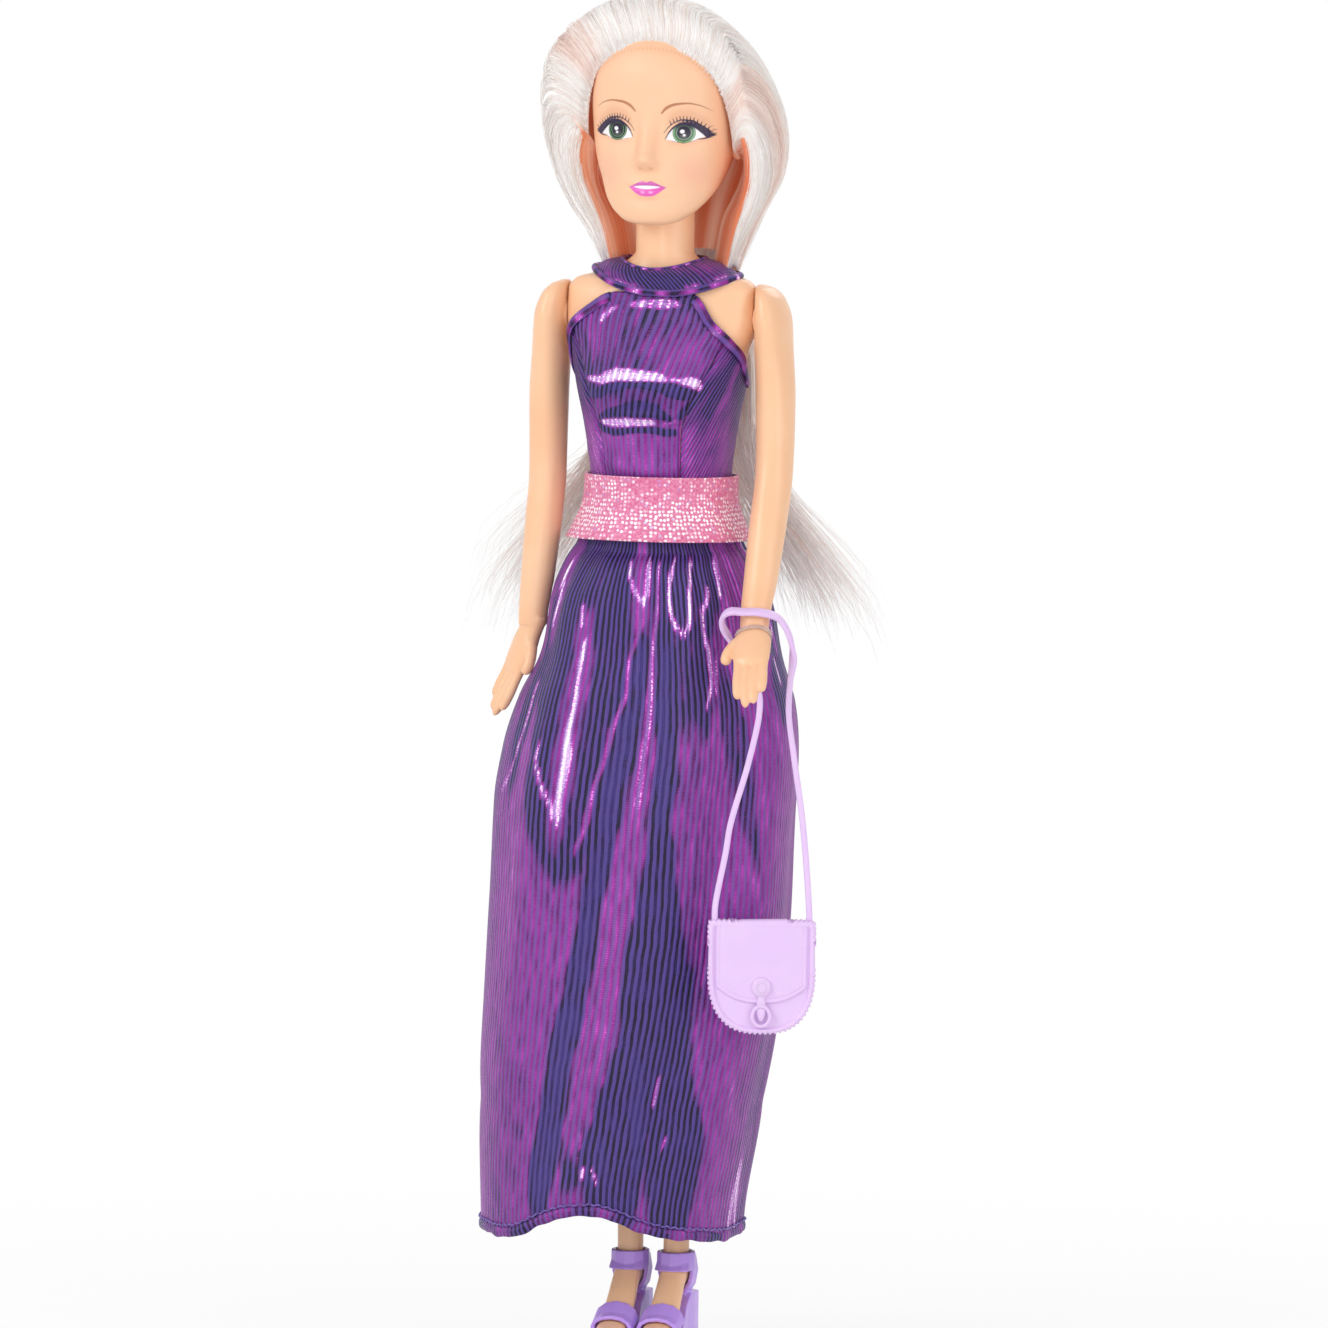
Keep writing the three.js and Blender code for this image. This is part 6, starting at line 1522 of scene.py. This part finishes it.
def skirt_section(share):
    """Half width, front and back depth, and shift of the skirt at shares of its length."""
    row = station(SKIRT_ROWS, share)
    rise = SKIRT_RISE - share * SKIRT_LENGTH
    hips = station(TORSO, np.clip(rise, -5, 100))[..., :3] + 1.1
    full = row[..., :3] * np.array([33.2, 24, 15.4])
    held = np.array([0.92, 1.13, 1.03]) * np.array([33.2, 24, 15.4])
    hem = np.array([28.2, 29.2, 16.4])
    mix = ease(share, 0.82, 1.0)[..., None]
    size = np.where((share <= 0.82)[..., None], full, held + (hem - held) * mix)
    size = np.where((share < 0.3)[..., None], np.maximum(size, hips), size)
    return size, -row[..., 3] * 8.7


def fold_reach(degrees, share):
    """How far the folds stand out: for each, a bell across it whose middle drifts from the waist to the
    hem, times a bell down the length."""
    reach = np.zeros(np.broadcast(degrees, share).shape)
    for waist, hem, depth, wide, deepest in FOLDS:
        turn = (degrees - (waist + (hem - waist) * share) + 540) % 360 - 180
        reach = reach + 1.7 * depth * bump_at(share, deepest, 0.42) * bump_at(turn, 0, wide)
    return reach * np.clip((share - 0.05) / 0.07, 0, 1)


def skirt_at(degrees, share, offset):
    """Points on the skirt: the section's oval, the folds, fine gathers that fade below the waist, the
    dent beside the right hand, and a hem that waves."""
    size, shift = skirt_section(share)
    middle = (SKIRT_TOP - 155.8 + 2.1) / SKIRT_LENGTH
    dent = 2.2 * bump_at((degrees + 360) % 360, 188, 20) * bump_at(share, middle, 0.07)
    pleat = np.cos(np.radians(degrees * 26) + 1.5 * waves(81, degrees / 40, 4, 1, 3))
    gather = (0.34 * pleat * ease(share, 0.0, 0.03) * (1 - ease(share, 0.05, 0.3)))
    soft = 0.3 * waves(82, (degrees / 30, share * 3), 6, 0.8, 2.2) * ease(share, 0.15, 0.4)
    reach = fold_reach(degrees, share) - dent + gather + soft + offset
    wave_hem = ease(share, 0.9, 1.0) * 0.35 * np.sin(np.radians(degrees * 7 + 10))
    wrapped = (np.asarray(degrees) + 180) % 360 - 180
    wave_hem = wave_hem + ease(share, 0.72, 1.0) * station(HEM_LIFT, wrapped)[..., 0]
    angle = np.radians(degrees)
    return oval(angle, size[..., 0] + reach, size[..., 1] + reach, size[..., 2] + reach, 2.15, shift, 0.0,
                SKIRT_TOP - share * SKIRT_LENGTH + wave_hem)


# Painted streaks of shade and highlight along the folds, dark and bright foil standing for dark reflections
# and highlights: degrees, share of the length and half width in mm at points along each, then the level of
# painted_gleam it is laid at, in the order in which they lie over each other.
STREAKS = [
    [[[-128, 0.080, 9.12], [-114, 0.158, 10.42], [-112, 0.241, 9.77], [-112, 0.323, 8.47],
      [-110, 0.398, 5.54], [-111, 0.441, 3.26]], 0.24],
    [[[-67, 0.075, 11.07], [-68, 0.133, 7.49], [-66, 0.195, 4.56], [-62, 0.243, 2.93],
      [-62, 0.273, 1.63]], 0.26],
    [[[-142, 0.261, 2.61], [-144, 0.316, 2.93], [-144, 0.366, 1.63]], 0.26],
    [[[-88, 0.198, 1.30], [-90, 0.271, 1.82], [-92, 0.338, 1.82], [-93, 0.406, 1.95],
      [-95, 0.469, 1.95], [-98, 0.531, 2.08], [-99, 0.607, 2.08], [-100, 0.674, 2.08],
      [-102, 0.719, 2.34]], 0.04],
    [[[-102, 0.729, 2.01], [-102, 0.769, 2.24], [-104, 0.827, 2.15], [-104, 0.885, 2.46],
      [-106, 0.927, 2.46], [-106, 0.957, 1.79]], 0.05],
    [[[-76, 0.208, 1.30], [-78, 0.258, 1.56], [-76, 0.318, 1.63], [-75, 0.381, 1.76],
      [-75, 0.441, 1.82], [-74, 0.504, 2.61]], 0.05],
    [[[-74, 0.484, 2.28], [-74, 0.546, 3.58], [-73, 0.609, 4.89], [-72, 0.672, 5.73],
      [-68, 0.714, 6.19]], 0.16],
    [[[-66, 0.707, 4.48], [-66, 0.742, 4.48], [-70, 0.769, 4.48], [-76, 0.805, 4.48],
      [-78, 0.837, 4.48], [-78, 0.880, 4.92], [-76, 0.922, 4.92], [-70, 0.950, 2.46]], 0.17],
    [[[-56, 0.764, 2.01], [-52, 0.799, 1.43], [-50, 0.827, 0.81]], 0.2],
    [[[-63, 0.827, 1.25], [-60, 0.850, 2.01], [-56, 0.880, 3.13], [-50, 0.907, 5.15],
      [-49, 0.930, 4.70], [-49, 0.957, 2.46], [-49, 0.970, 0.81]], 0.17],
    [[[-74, 0.749, 0.98], [-72, 0.792, 1.25], [-70, 0.850, 1.25], [-66, 0.907, 1.25],
      [-66, 0.950, 0.98]], 0.03],
    [[[-96, 0.917, 0.81], [-94, 0.935, 1.25], [-92, 0.940, 0.81]], 0.2],
    [[[-88, 0.907, 1.34], [-86, 0.915, 1.88], [-83, 0.920, 1.25]], 0.2],
    [[[-83, 0.880, 0.72], [-81, 0.922, 0.72], [-78, 0.947, 0.63]], 0.05],
    [[[-50, 0.238, 1.82], [-48, 0.278, 2.21], [-45, 0.328, 1.82], [-40, 0.401, 1.43],
      [-34, 0.464, 1.04]], 0.3],
    [[[-2, 0.150, 1.95], [-5, 0.201, 2.61], [-18, 0.261, 1.82]], 0.27],
    [[[-88, 0.155, 0.33], [-92, 0.211, 0.39], [-92, 0.256, 0.46], [-96, 0.306, 0.52],
      [-97, 0.343, 0.52], [-100, 0.386, 0.52], [-102, 0.439, 0.46], [-105, 0.469, 0.39]], 0.62],
    [[[-80, 0.075, 0.39], [-81, 0.135, 0.39], [-83, 0.206, 0.52], [-84, 0.278, 0.65],
      [-84, 0.341, 0.59], [-84, 0.404, 0.52]], 0.7],
    [[[-113, 0.180, 1.95], [-112, 0.251, 2.08], [-113, 0.308, 1.95], [-112, 0.366, 2.21],
      [-113, 0.429, 1.95]], 0.5],
    [[[-143, 0.083, 1.69], [-138, 0.125, 1.69], [-139, 0.173, 1.30]], 0.5],
    [[[-113, 0.183, 0.39], [-113, 0.221, 0.59], [-112, 0.263, 0.72], [-113, 0.303, 0.78],
      [-112, 0.346, 0.91], [-112, 0.386, 0.91], [-112, 0.429, 0.91]], 0.98],
    [[[-116, 0.138, 0.46], [-115, 0.165, 0.39]], 0.82],
    [[[-143, 0.083, 0.59], [-142, 0.105, 0.52], [-139, 0.135, 0.52], [-141, 0.168, 0.46]], 0.88],
    [[[-124, 0.323, 0.39], [-126, 0.348, 0.46], [-122, 0.373, 0.59], [-118, 0.396, 0.59],
      [-114, 0.416, 0.65], [-112, 0.429, 0.78]], 0.82],
    [[[-96, 0.078, 0.46], [-94, 0.100, 0.46], [-91, 0.120, 0.46], [-88, 0.130, 0.52],
      [-86, 0.120, 0.46], [-86, 0.098, 0.46], [-86, 0.075, 0.46]], 0.84],
    [[[-72, 0.075, 0.52], [-74, 0.098, 0.52], [-75, 0.123, 0.52], [-74, 0.145, 0.59],
      [-72, 0.163, 0.59], [-69, 0.170, 0.65], [-66, 0.165, 0.59], [-65, 0.145, 0.59],
      [-64, 0.113, 0.59], [-60, 0.075, 0.65]], 0.88],
    [[[-53, 0.110, 0.52], [-54, 0.125, 0.52], [-58, 0.145, 0.59], [-58, 0.170, 0.59],
      [-56, 0.195, 0.59], [-56, 0.221, 0.65], [-56, 0.236, 0.65], [-60, 0.266, 0.52]], 0.82],
    [[[-52, 0.203, 0.46], [-54, 0.248, 0.46]], 0.72],
    [[[-44, 0.075, 0.52], [-44, 0.098, 0.52], [-46, 0.123, 0.52]], 0.82],
    [[[-9, 0.153, 0.46], [-7, 0.178, 0.46], [-6, 0.203, 0.46]], 0.74],
    [[[-12, 0.208, 0.78], [-12, 0.223, 0.85], [-14, 0.243, 0.59]], 0.95],
    [[[-140, 0.248, 0.46], [-140, 0.286, 0.46], [-142, 0.323, 0.46], [-146, 0.371, 0.52],
      [-152, 0.396, 0.52]], 0.74],
    [[[-64, 0.772, 0.36], [-64, 0.797, 0.40], [-64, 0.817, 0.36]], 0.76],
    [[[-57, 0.862, 0.36], [-58, 0.880, 0.36]], 0.66],
    [[[-88, 0.930, 0.58], [-88, 0.945, 0.54]], 0.98],
    [[[-84, 0.932, 0.54], [-82, 0.950, 0.49]], 0.98],
    [[[-91, 0.870, 0.27], [-90, 0.892, 0.22]], 0.7],
]


def skirt_painted_gleam(degrees, share):
    """Painted reflection and shade on the skirt's foil: magenta on the flat, with slow drifts, painted dark
    streaks of pressed ribs and of shaded hollows down the sides and back, painted bright lines beside some of
    them, and then the painted streaks of the table, whose edges a fine noise bends. The brightest are laid at
    0.72 of their width, and none is brighter than 0.93."""
    degrees, share = np.broadcast_arrays(degrees, share)
    tone = 0.52 + 0.05 * waves(92, (degrees / 8, share * 4), 7, 0.6, 1.8)
    tone = tone + 0.05 * ease(share, 0.3, 0.6) * (bump_at(degrees, -150, 16) + bump_at(degrees, -24, 14))
    away = np.clip(ease(degrees, -30, -8) + 1 - ease(degrees, -176, -158), 0, 1)
    fold = waves(93, (degrees / 8, share * 2.0), 7, 0.7, 1.9)
    value = tone - 0.32 * away * ease(fold, 0.55, 0.85) - 0.24 * away * ease(-fold, 0.9, 1.15)
    gathers = waves(95, (degrees / 4, share * 3.5), 7, 0.7, 1.9) * (1 - ease(share, 0.16, 0.4))
    value = value - 0.3 * away * ease(gathers, 0.2, 0.5)
    value = value + 0.42 * away * bump_at(gathers, -0.75, 0.16)
    value = value + 0.4 * away * bump_at(fold, -0.62, 0.05) * ease(share, 0.05, 0.2)
    bend = (0.9 * waves(91, (degrees / 5, share * 14), 7, 0.6, 1.8)
            + 0.5 * waves(96, (degrees / 1.2, share * 40), 5, 1, 2))
    slip = 0.004 * waves(97, degrees, 6, 1.5, 4)
    for points, target in STREAKS:
        wide = max(point[2] for point in points)
        bent = degrees + bend * min(1.0, wide / 1.2)
        slim = 0.72 if target > 0.9 else 1.0
        line = [[place, down, half * slim] for place, down, half in points]
        soft, fray = (0.9, 0.3) if wide > 1.2 else (0.35, 1.0)
        mask = streak_mask(bent, share + slip * min(1.0, wide), line, soft, fray)
        value = value + (min(target, 0.93) - value) * mask
    return value


def skirt_piece():
    """The skirt as a closed sheet 0.5 mm thick; U counts 144 ribs round it and V runs down in mm. The
    grid's columns crowd round the front, where the streaks are."""
    rows = 116
    degrees = np.concatenate([np.linspace(-180, -12, 300)[:-1], np.linspace(-12, 180, 122)])[None, :]
    share = np.concatenate([np.linspace(0, 0.2, 34)[:-1], np.linspace(0.2, 1, rows - 33)])[:, None]
    outer = skirt_at(degrees[:, :-1], share, 0.0)
    inner = skirt_at(degrees[:, :-1], share, -0.5)
    uv = np.stack(np.broadcast_arrays((degrees + 180) / 360 * SKIRT_RIBS, share * SKIRT_LENGTH), -1)
    painted_gleam = np.clip(skirt_painted_gleam(degrees[:, :-1], share), 0, 1)
    return sheet_piece("skirt_cloth", outer, inner, True, uv, {"painted_gleam": painted_gleam}, flip=True)


def hem_roll():
    """The turned and sewn hem: a soft roll 2.2 mm deep and 1.1 mm thick round the skirt's lower edge."""
    degrees = np.linspace(-180, 180, 541)[:-1]
    path = skirt_at(degrees, np.full(540, 1.0), -0.2) + np.array([0, 0, 0.9])
    turn = round_angles(14)
    puff = 1 + 0.1 * waves(98, degrees / 3, 6, 0.8, 2)[:, None]
    uv = np.stack(np.broadcast_arrays(np.linspace(0, 150, 541)[:, None], np.linspace(0, 5, 15)[None, :]), -1)
    # Painted reflection: the foil's painted_gleam drifts along the hem.
    painted_gleam = 0.4 + 0.12 * waves(94, np.linspace(0, 60, 541), 5, 0.8, 2.5)
    return closed_roll("skirt_hem", path, 0.55 * puff * np.cos(turn), 1.15 * puff * np.sin(turn), uv, painted_gleam,
                       turn)


def hem_stitches():
    """The chain of stitches that holds the hem: one per 2.1 mm, 2.4 mm above the edge, each a thread
    0.4 mm thick that rises at its middle and dives at its ends."""
    degrees = np.linspace(-180, 180, 85)[:-1]
    step = np.linspace(-0.46, 0.46, 9)[None, :] * (360 / 84)
    place = degrees[:, None] + step
    lift = 0.34 - 0.5 * (step / 2.1) ** 2 / 4
    paths = skirt_at(place, np.full(place.shape, 1 - 2.4 / SKIRT_LENGTH), 0.0 * place)
    out = unit(skirt_at(place, np.full(place.shape, 1 - 2.4 / SKIRT_LENGTH), 0.0 * place + 1) - paths)
    paths = paths + out * lift[..., None] + np.array([0, 0, 0.16]) * np.sin(place[..., None] * 1.7)
    return tubes_piece("hem_stitching", paths, np.full(paths.shape[:2], 0.19), 6, (0, 0, 1))


def seam_tail():
    """The tail of the back seam: a folded end of cloth that hangs 3 mm below the hem inside."""
    t = np.linspace(0, 1, 14)
    bottom = SKIRT_TOP - SKIRT_LENGTH
    path = np.stack([-8.2 + 1.6 * t, 15.2 - 1.4 * t + 0.4 * np.sin(6 * t), bottom + 3.4 - 6.2 * t], -1)
    made = tubes_piece("seam_tail", path[None], (1.5 - 0.5 * t ** 2)[None], 12, (0, 1, 0), 0.4)
    return finish_with(made, [("SUBSURF", {"levels": 1, "render_levels": 1})])


skirt = skirt_piece()
hem = hem_roll()
stitches = hem_stitches()
tail = seam_tail()
for cloth in (skirt, hem, stitches, tail):
    cloth.data.materials.append(sewing_thread if cloth in (stitches, tail) else dress_foil)
    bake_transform(cloth)
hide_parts("skirt")


def sash_piece():
    """The sash: a band round the waist over the skirt's top, flared a little at its lower edge and
    creased by slow waves round it."""
    cols, rows = 260, 40
    turns = np.linspace(0, 2 * math.pi, cols + 1)[None, :]
    angle, rise = np.broadcast_arrays(turns[:, :-1], np.linspace(23, 36.6, rows)[:, None])
    share = np.clip((SKIRT_RISE - rise) / SKIRT_LENGTH, 0, 1)
    size, _ = skirt_section(share)
    waist = station(TORSO, rise)[..., :3] + 1.1
    size = np.where((rise > SKIRT_RISE)[..., None], waist, size)
    low = 1 - (rise - 23) / 13.6
    crease = 0.22 * waves(101, (np.cos(angle) * 3, np.sin(angle) * 3 + rise / 5), 7, 0.8, 2.4)
    flare = 0.6 + 0.8 * low ** 2 + crease + 1.3 * low ** 3 * bump_at(np.degrees(angle), 205, 26)
    grids = []
    for thick in (0.8, 0.0):
        grown = size + (flare + thick)[..., None]
        grids.append(oval(angle, grown[..., 0], grown[..., 1], grown[..., 2], 2.15, 0.0, 0.0, HIP + rise))
    uv = np.stack(np.broadcast_arrays(turns * 17.2, np.linspace(0, 13.6, rows)[:, None]), -1)
    # Painted highlight: the sash's painted_gleam is brightest in a band a little below its middle, with a slow
    # drift.
    drift = waves(102, (np.cos(angle) * 4, rise / 4), 6, 0.8, 2)
    painted_gleam = np.clip(0.5 * bump_at(low, 0.62, 0.2) + 0.25 * drift + 0.2, 0, 1)
    return sheet_piece("sash_cloth", *grids, True, uv, {"painted_gleam": painted_gleam})


sash = dress_up(sash_piece(), "torso", "glitter_cloth", sash_cloth, "sash")


# Hand bag, strap and elastic

BAG_TURN = math.radians(17)
BAG_SHIFT = np.array([22.2 * math.cos(BAG_TURN) + 28.1 * math.sin(BAG_TURN),
                      22.2 * math.sin(BAG_TURN) - 28.1 * math.cos(BAG_TURN), 0.0])
BAG_W, BAG_T = 23.0, 4.0
BAG_TOP = 96.6


def bag_turned(points):
    """Turns points about Z by the bag's angle and carries them to its place."""
    c, s = math.cos(BAG_TURN), math.sin(BAG_TURN)
    x, y = points[..., 0] * c - points[..., 1] * s, points[..., 0] * s + points[..., 1] * c
    return np.stack([x, y, points[..., 2]], -1) + BAG_SHIFT


def bag_edge(turn, inset):
    """The bag's outline seen from the front: straight top and sides, and a lower half that is a
    superellipse of power 2.6, pulled in by an inset."""
    half = BAG_W / 2 - inset
    c, s = np.cos(turn), np.sin(turn)
    low_power, high_power = 2.6, 24.0
    power = np.where(s < 0, low_power, high_power)
    rise = np.where(s < 0, 14.0 - inset, 10.4 - inset)
    x = np.sign(c) * half * np.abs(c) ** (2 / power)
    z = BAG_TOP - 10.4 + np.sign(s) * rise * np.abs(s) ** (2 / power)
    return x, z


def bag_piece():
    """The bag as a closed shell: rings from the middle of the face out over the raised rim 1.3 mm wide,
    round the edge and back to the middle of the back. Teeth 1.1 mm apart, a sine along the outline, notch
    the rim's edge all round. The flap stands 0.55 mm proud inside straight sides and a bowed lower edge,
    with a fine groove 0.9 mm inside its own edge."""
    dense = np.linspace(0, 2 * math.pi, 4001)
    x, z = bag_edge(dense, 0.0)
    length = np.concatenate([[0], np.cumsum(np.hypot(np.diff(x), np.diff(z)))])
    place = np.linspace(0, length[-1], 561)[:-1]
    turn = np.interp(place, length, dense)
    insets = np.concatenate([np.linspace(9.5, 1.9, 50), [1.7, 1.5, 1.4, 1.25, 1.0, 0.7, 0.35, 0.12, 0.0]])
    teeth = 0.5 + 0.5 * np.sin(2 * math.pi * np.round(length[-1] / 1.1) * place / length[-1])
    rows = []
    for front in (1, -1):
        for inset in (insets if front > 0 else insets[:39:-1]):
            x, z = bag_edge(turn, inset)
            notch = 0.36 * teeth * (1 - ease(inset, 0.15, 0.9))
            centre_z = BAG_TOP - 12.2
            shrink = 1 - notch / np.hypot(x, z - centre_z)
            x, z = x * shrink, centre_z + (z - centre_z) * shrink
            rim = ease(inset, 1.1, 1.5)
            face = BAG_T / 2 - 0.6 * rim - 0.45 * (1 - ease(inset, 0.0, 0.45)) + 0 * x
            if front > 0:
                bow = BAG_TOP - 17.9 + 3.6 * (np.abs(x) / 9.6) ** 2.6
                depth = np.minimum(9.75 - np.abs(x), (z - bow) * 0.9)
                face = face + (0.55 * ease(depth, 0, 0.4) - 0.16 * bump_at(depth, 0.95, 0.2)) * rim
            rows.append(np.stack([x, -front * face, z], -1))
    grid = bag_turned(np.array(rows))
    return grid_piece("handbag_shell", grid, True, (True, True), flip=True)


def clasp_piece():
    """The clasp: a keyhole plate, a round head over a bar, and a ring below it, as one relief."""
    turn = round_angles(48)
    parts = []
    for cx, cz, wide, high, lift in ((0, -14.3, 2.15, 2.15, 0.75), (0, -18.4, 1.0, 3.2, 0.7)):
        rows = []
        for scale, rise in ((1.0, 0.0), (1.0, 0.55), (0.86, 1.0), (0.5, 1.0)):
            depth = np.full(48, -BAG_T / 2 + 0.2 - lift * rise)
            rows.append(np.stack([cx + wide * scale * np.cos(turn), depth,
                                  BAG_TOP + cz + high * scale * np.sin(turn)], -1))
        parts.append(grid_piece("clasp", bag_turned(np.array(rows)), True, (True, True)))
    for cz, radius, tube in ((-14.3, 0.95, 0.26), (-20.4, 1.85, 0.42)):
        path = np.stack([radius * np.cos(turn), np.full(48, -BAG_T / 2 - 0.35),
                         BAG_TOP + cz + radius * 1.15 * np.sin(turn)], -1)
        along = unit(np.roll(path, -1, 0) - np.roll(path, 1, 0))
        side = unit(np.cross(along, (0, 1.0, 0)))
        small = round_angles(12)
        rows = (path[:, None] + tube * np.cos(small)[None, :, None] * side[:, None]
                + tube * np.sin(small)[None, :, None] * np.array([0, 1.0, 0]))
        rows = np.concatenate([rows, rows[:1]], 0)
        ring = grid_piece("clasp_ring", bag_turned(rows), True, flip=True)
        parts.append(finish_with(ring, [WELD]))
    return joined("handbag_clasp", parts)


STRAP = np.array([
    [-0.435, 0, 0], [-0.43, 0, 0.05], [-0.34, -0.02, 0.22], [-0.3, -0.03, 0.31], [-0.14, -0.08, 0.51],
    [-0.045, -0.12, 0.67], [-0.05, -0.14, 0.735], [-0.12, -0.17, 0.8], [-0.23, -0.21, 0.855],
    [-0.33, -0.23, 0.91], [-0.39, -0.18, 0.95], [-0.39, -0.13, 0.98], [-0.33, -0.07, 1], [-0.2, -0.055, 1],
    [-0.05, -0.025, 1], [0.12, -0.08, 0.98], [0.22, -0.1, 0.925], [0.26, -0.13, 0.85], [0.235, -0.14, 0.77],
    [0.225, -0.12, 0.67], [0.275, -0.08, 0.535], [0.365, -0.03, 0.315], [0.43, 0, 0.05], [0.435, 0, 0],
])


def strap_piece():
    """The strap: a band 1.3 mm deep and up to 2.4 mm wide where it lies over the wrist, with rounded
    edges, along the route of its solid."""
    route = np.stack([STRAP[:, 0] * BAG_W, -STRAP[:, 1] * BAG_W, BAG_TOP - 0.4 + STRAP[:, 2] * 65.3], -1)
    step = np.linalg.norm(np.diff(route, axis=0), axis=1) ** 0.5
    place = np.concatenate([[0], np.cumsum(step)]) / step.sum()
    t = np.linspace(0, 1, 400)
    path = bag_turned(natural(place, route, t))
    along = unit(np.gradient(path, axis=0))
    hand = np.array([25.2, -17.5, 156.0])
    out = unit(path - hand)
    over = ease(path[:, 2], 146, 157)[:, None]
    broad_way = unit(np.cross(along, out) * over + (1 - over) * np.array([math.cos(BAG_TURN),
                                                                       math.sin(BAG_TURN), 0]))
    broad_way = unit(broad_way - (broad_way * along).sum(-1, keepdims=True) * along)
    thin_way = np.cross(along, broad_way)
    turn = round_angles(20)
    c, s = np.cos(turn), np.sin(turn)
    broad = (0.65 + 0.5 * over) * (np.sign(c) * np.abs(c) ** 0.6)[None]
    thin = (0.65 - 0.1 * over) * (np.sign(s) * np.abs(s) ** 0.6)[None]
    grid = path[:, None] + broad[..., None] * broad_way[:, None] + thin[..., None] * thin_way[:, None]
    return grid_piece("handbag_strap_moulded", grid, True, (True, True))


def elastic_piece():
    """Clear elastic, wound twice round the hand: an oval helix, square to the hand."""
    t = np.linspace(0, 1, 180)
    turn = t * 4 * math.pi
    down = unit(LEFT_DOWN)
    side = np.array([1.0, 0, 0])
    side = unit(side - side @ down * down)
    other = np.cross(down, side)
    middle = LEFT_WRIST + down * (HAND * 0.12)
    path = (middle + 3.75 * np.cos(turn)[:, None] * side + 2.65 * np.sin(turn)[:, None] * other
            + (t - 0.5)[:, None] * 1.0 * down)
    return tubes_piece("elastic_loop", path[None], np.full((1, 180), 0.24), 10, down)


dress_up(bag_piece(), "handbag", "bag_plastic", bag_pvc, "handbag_body")
dress_up(clasp_piece(), "handbag", "bag_plastic", bag_pvc)
dress_up(strap_piece(), "handbag", "bag_plastic", bag_pvc, "handbag_strap")
dress_up(elastic_piece(), "arm_left", "clear_plastic", elastic, "wrist_band")


# Floor, light and camera

def plainly_seen(tree):
    """1 for rays that come from the camera, off gloss or through clear things, and 0 for the rest."""
    rays = add(tree, "LightPath", out=None).outputs
    seen = add(tree, "Math", (rays["Is Camera Ray"], rays["Is Glossy Ray"]), operation="MAXIMUM")
    return add(tree, "Math", (seen, rays["Is Transmission Ray"]), operation="MAXIMUM")


def stage_floor():
    """A round pale floor. The camera sees it as white, darkened only by the object's shadow."""
    ring = round_angles(64)
    grid = np.stack([np.outer([1, 1500], np.cos(ring)), np.outer([1, 1500], np.sin(ring)),
                     np.full((2, 64), -0.05)], -1)
    floor = grid_piece("floor", grid, True, (True, False), flip=True)
    made, tree, shader = fresh("white_floor")
    feed(tree, shader, Base_Color=linear("#f4f4f4"), Roughness=0.9)
    glow = add(tree, "Emission", {"Color": (1, 1, 1, 1), "Strength": 1.0})
    away = add(tree, "VectorMath", (add(tree, "TexCoord", out="Object"),), "Value", operation="LENGTH")
    far = add(tree, "MapRange", {"Value": away, "From Min": 0.06, "From Max": 0.32, "To Min": 0.8,
                                 "To Max": 1.0})
    white = add(tree, "Math", (plainly_seen(tree), far), operation="MULTIPLY")
    mixed = add(tree, "MixShader", (white, shader.outputs[0], glow))
    tree.links.new(mixed, tree.nodes["Material Output"].inputs[0])
    floor.data.materials.append(made)


def studio_world(level):
    """White to the camera, to gloss and through clear things; a plain soft level to everything else."""
    world = bpy.data.worlds.new("studio")
    bpy.context.scene.world = world
    world.use_nodes = True
    tree = world.node_tree
    tree.nodes.clear()
    strength = add(tree, "Math", (plainly_seen(tree), 1.0 - level, level), operation="MULTIPLY_ADD")
    back = add(tree, "Background", {"Color": (1, 1, 1, 1), "Strength": strength})
    add(tree, "OutputWorld", (back,), None)


def softbox(name, place, size, power):
    """A square area lamp that faces the doll's middle."""
    lamp = bpy.data.lights.new(name, "AREA")
    lamp.shape, lamp.size, lamp.energy = "SQUARE", size, power
    thing = bpy.data.objects.new(name, lamp)
    thing.location = place
    aim = np.array([0, 0, 0.15]) - np.array(place)
    thing.rotation_euler = direction_euler(aim)
    bpy.context.scene.collection.objects.link(thing)


def direction_euler(aim):
    """The turn that points a lamp's or camera's -Z along a direction, with its Y up."""
    return Vector(aim).to_track_quat("-Z", "Y").to_euler()


stage_floor()
studio_world(0.62)
softbox("key_light", (-0.7, -0.9, 0.75), 0.6, 5.6)
softbox("fill_light", (0.95, -0.6, 0.45), 0.7, 3.0)
softbox("back_light", (0.2, 0.9, 0.9), 0.6, 2.4)
softbox("low_light", (0.15, -1.3, 0.06), 0.4, 2.2)

camera_data = bpy.data.cameras.new("camera")
camera_data.lens = 382.4
camera_data.clip_end = 20
camera = bpy.data.objects.new("camera", camera_data)
azimuth, elevation, ROLL = math.radians(17), math.radians(5), 0.6
back_way = np.array([math.sin(azimuth) * math.cos(elevation), -math.cos(azimuth) * math.cos(elevation),
                     math.sin(elevation)])
camera.location = np.array([0.001, 0, 0.148]) + back_way * 3.0
turned = Vector(-back_way).to_track_quat("-Z", "Y").to_matrix() @ Matrix.Rotation(math.radians(ROLL), 3, "Z")
camera.rotation_euler = turned.to_euler()
bpy.context.scene.collection.objects.link(camera)
bpy.context.scene.camera = camera
bpy.context.scene.view_settings.view_transform = "Standard"
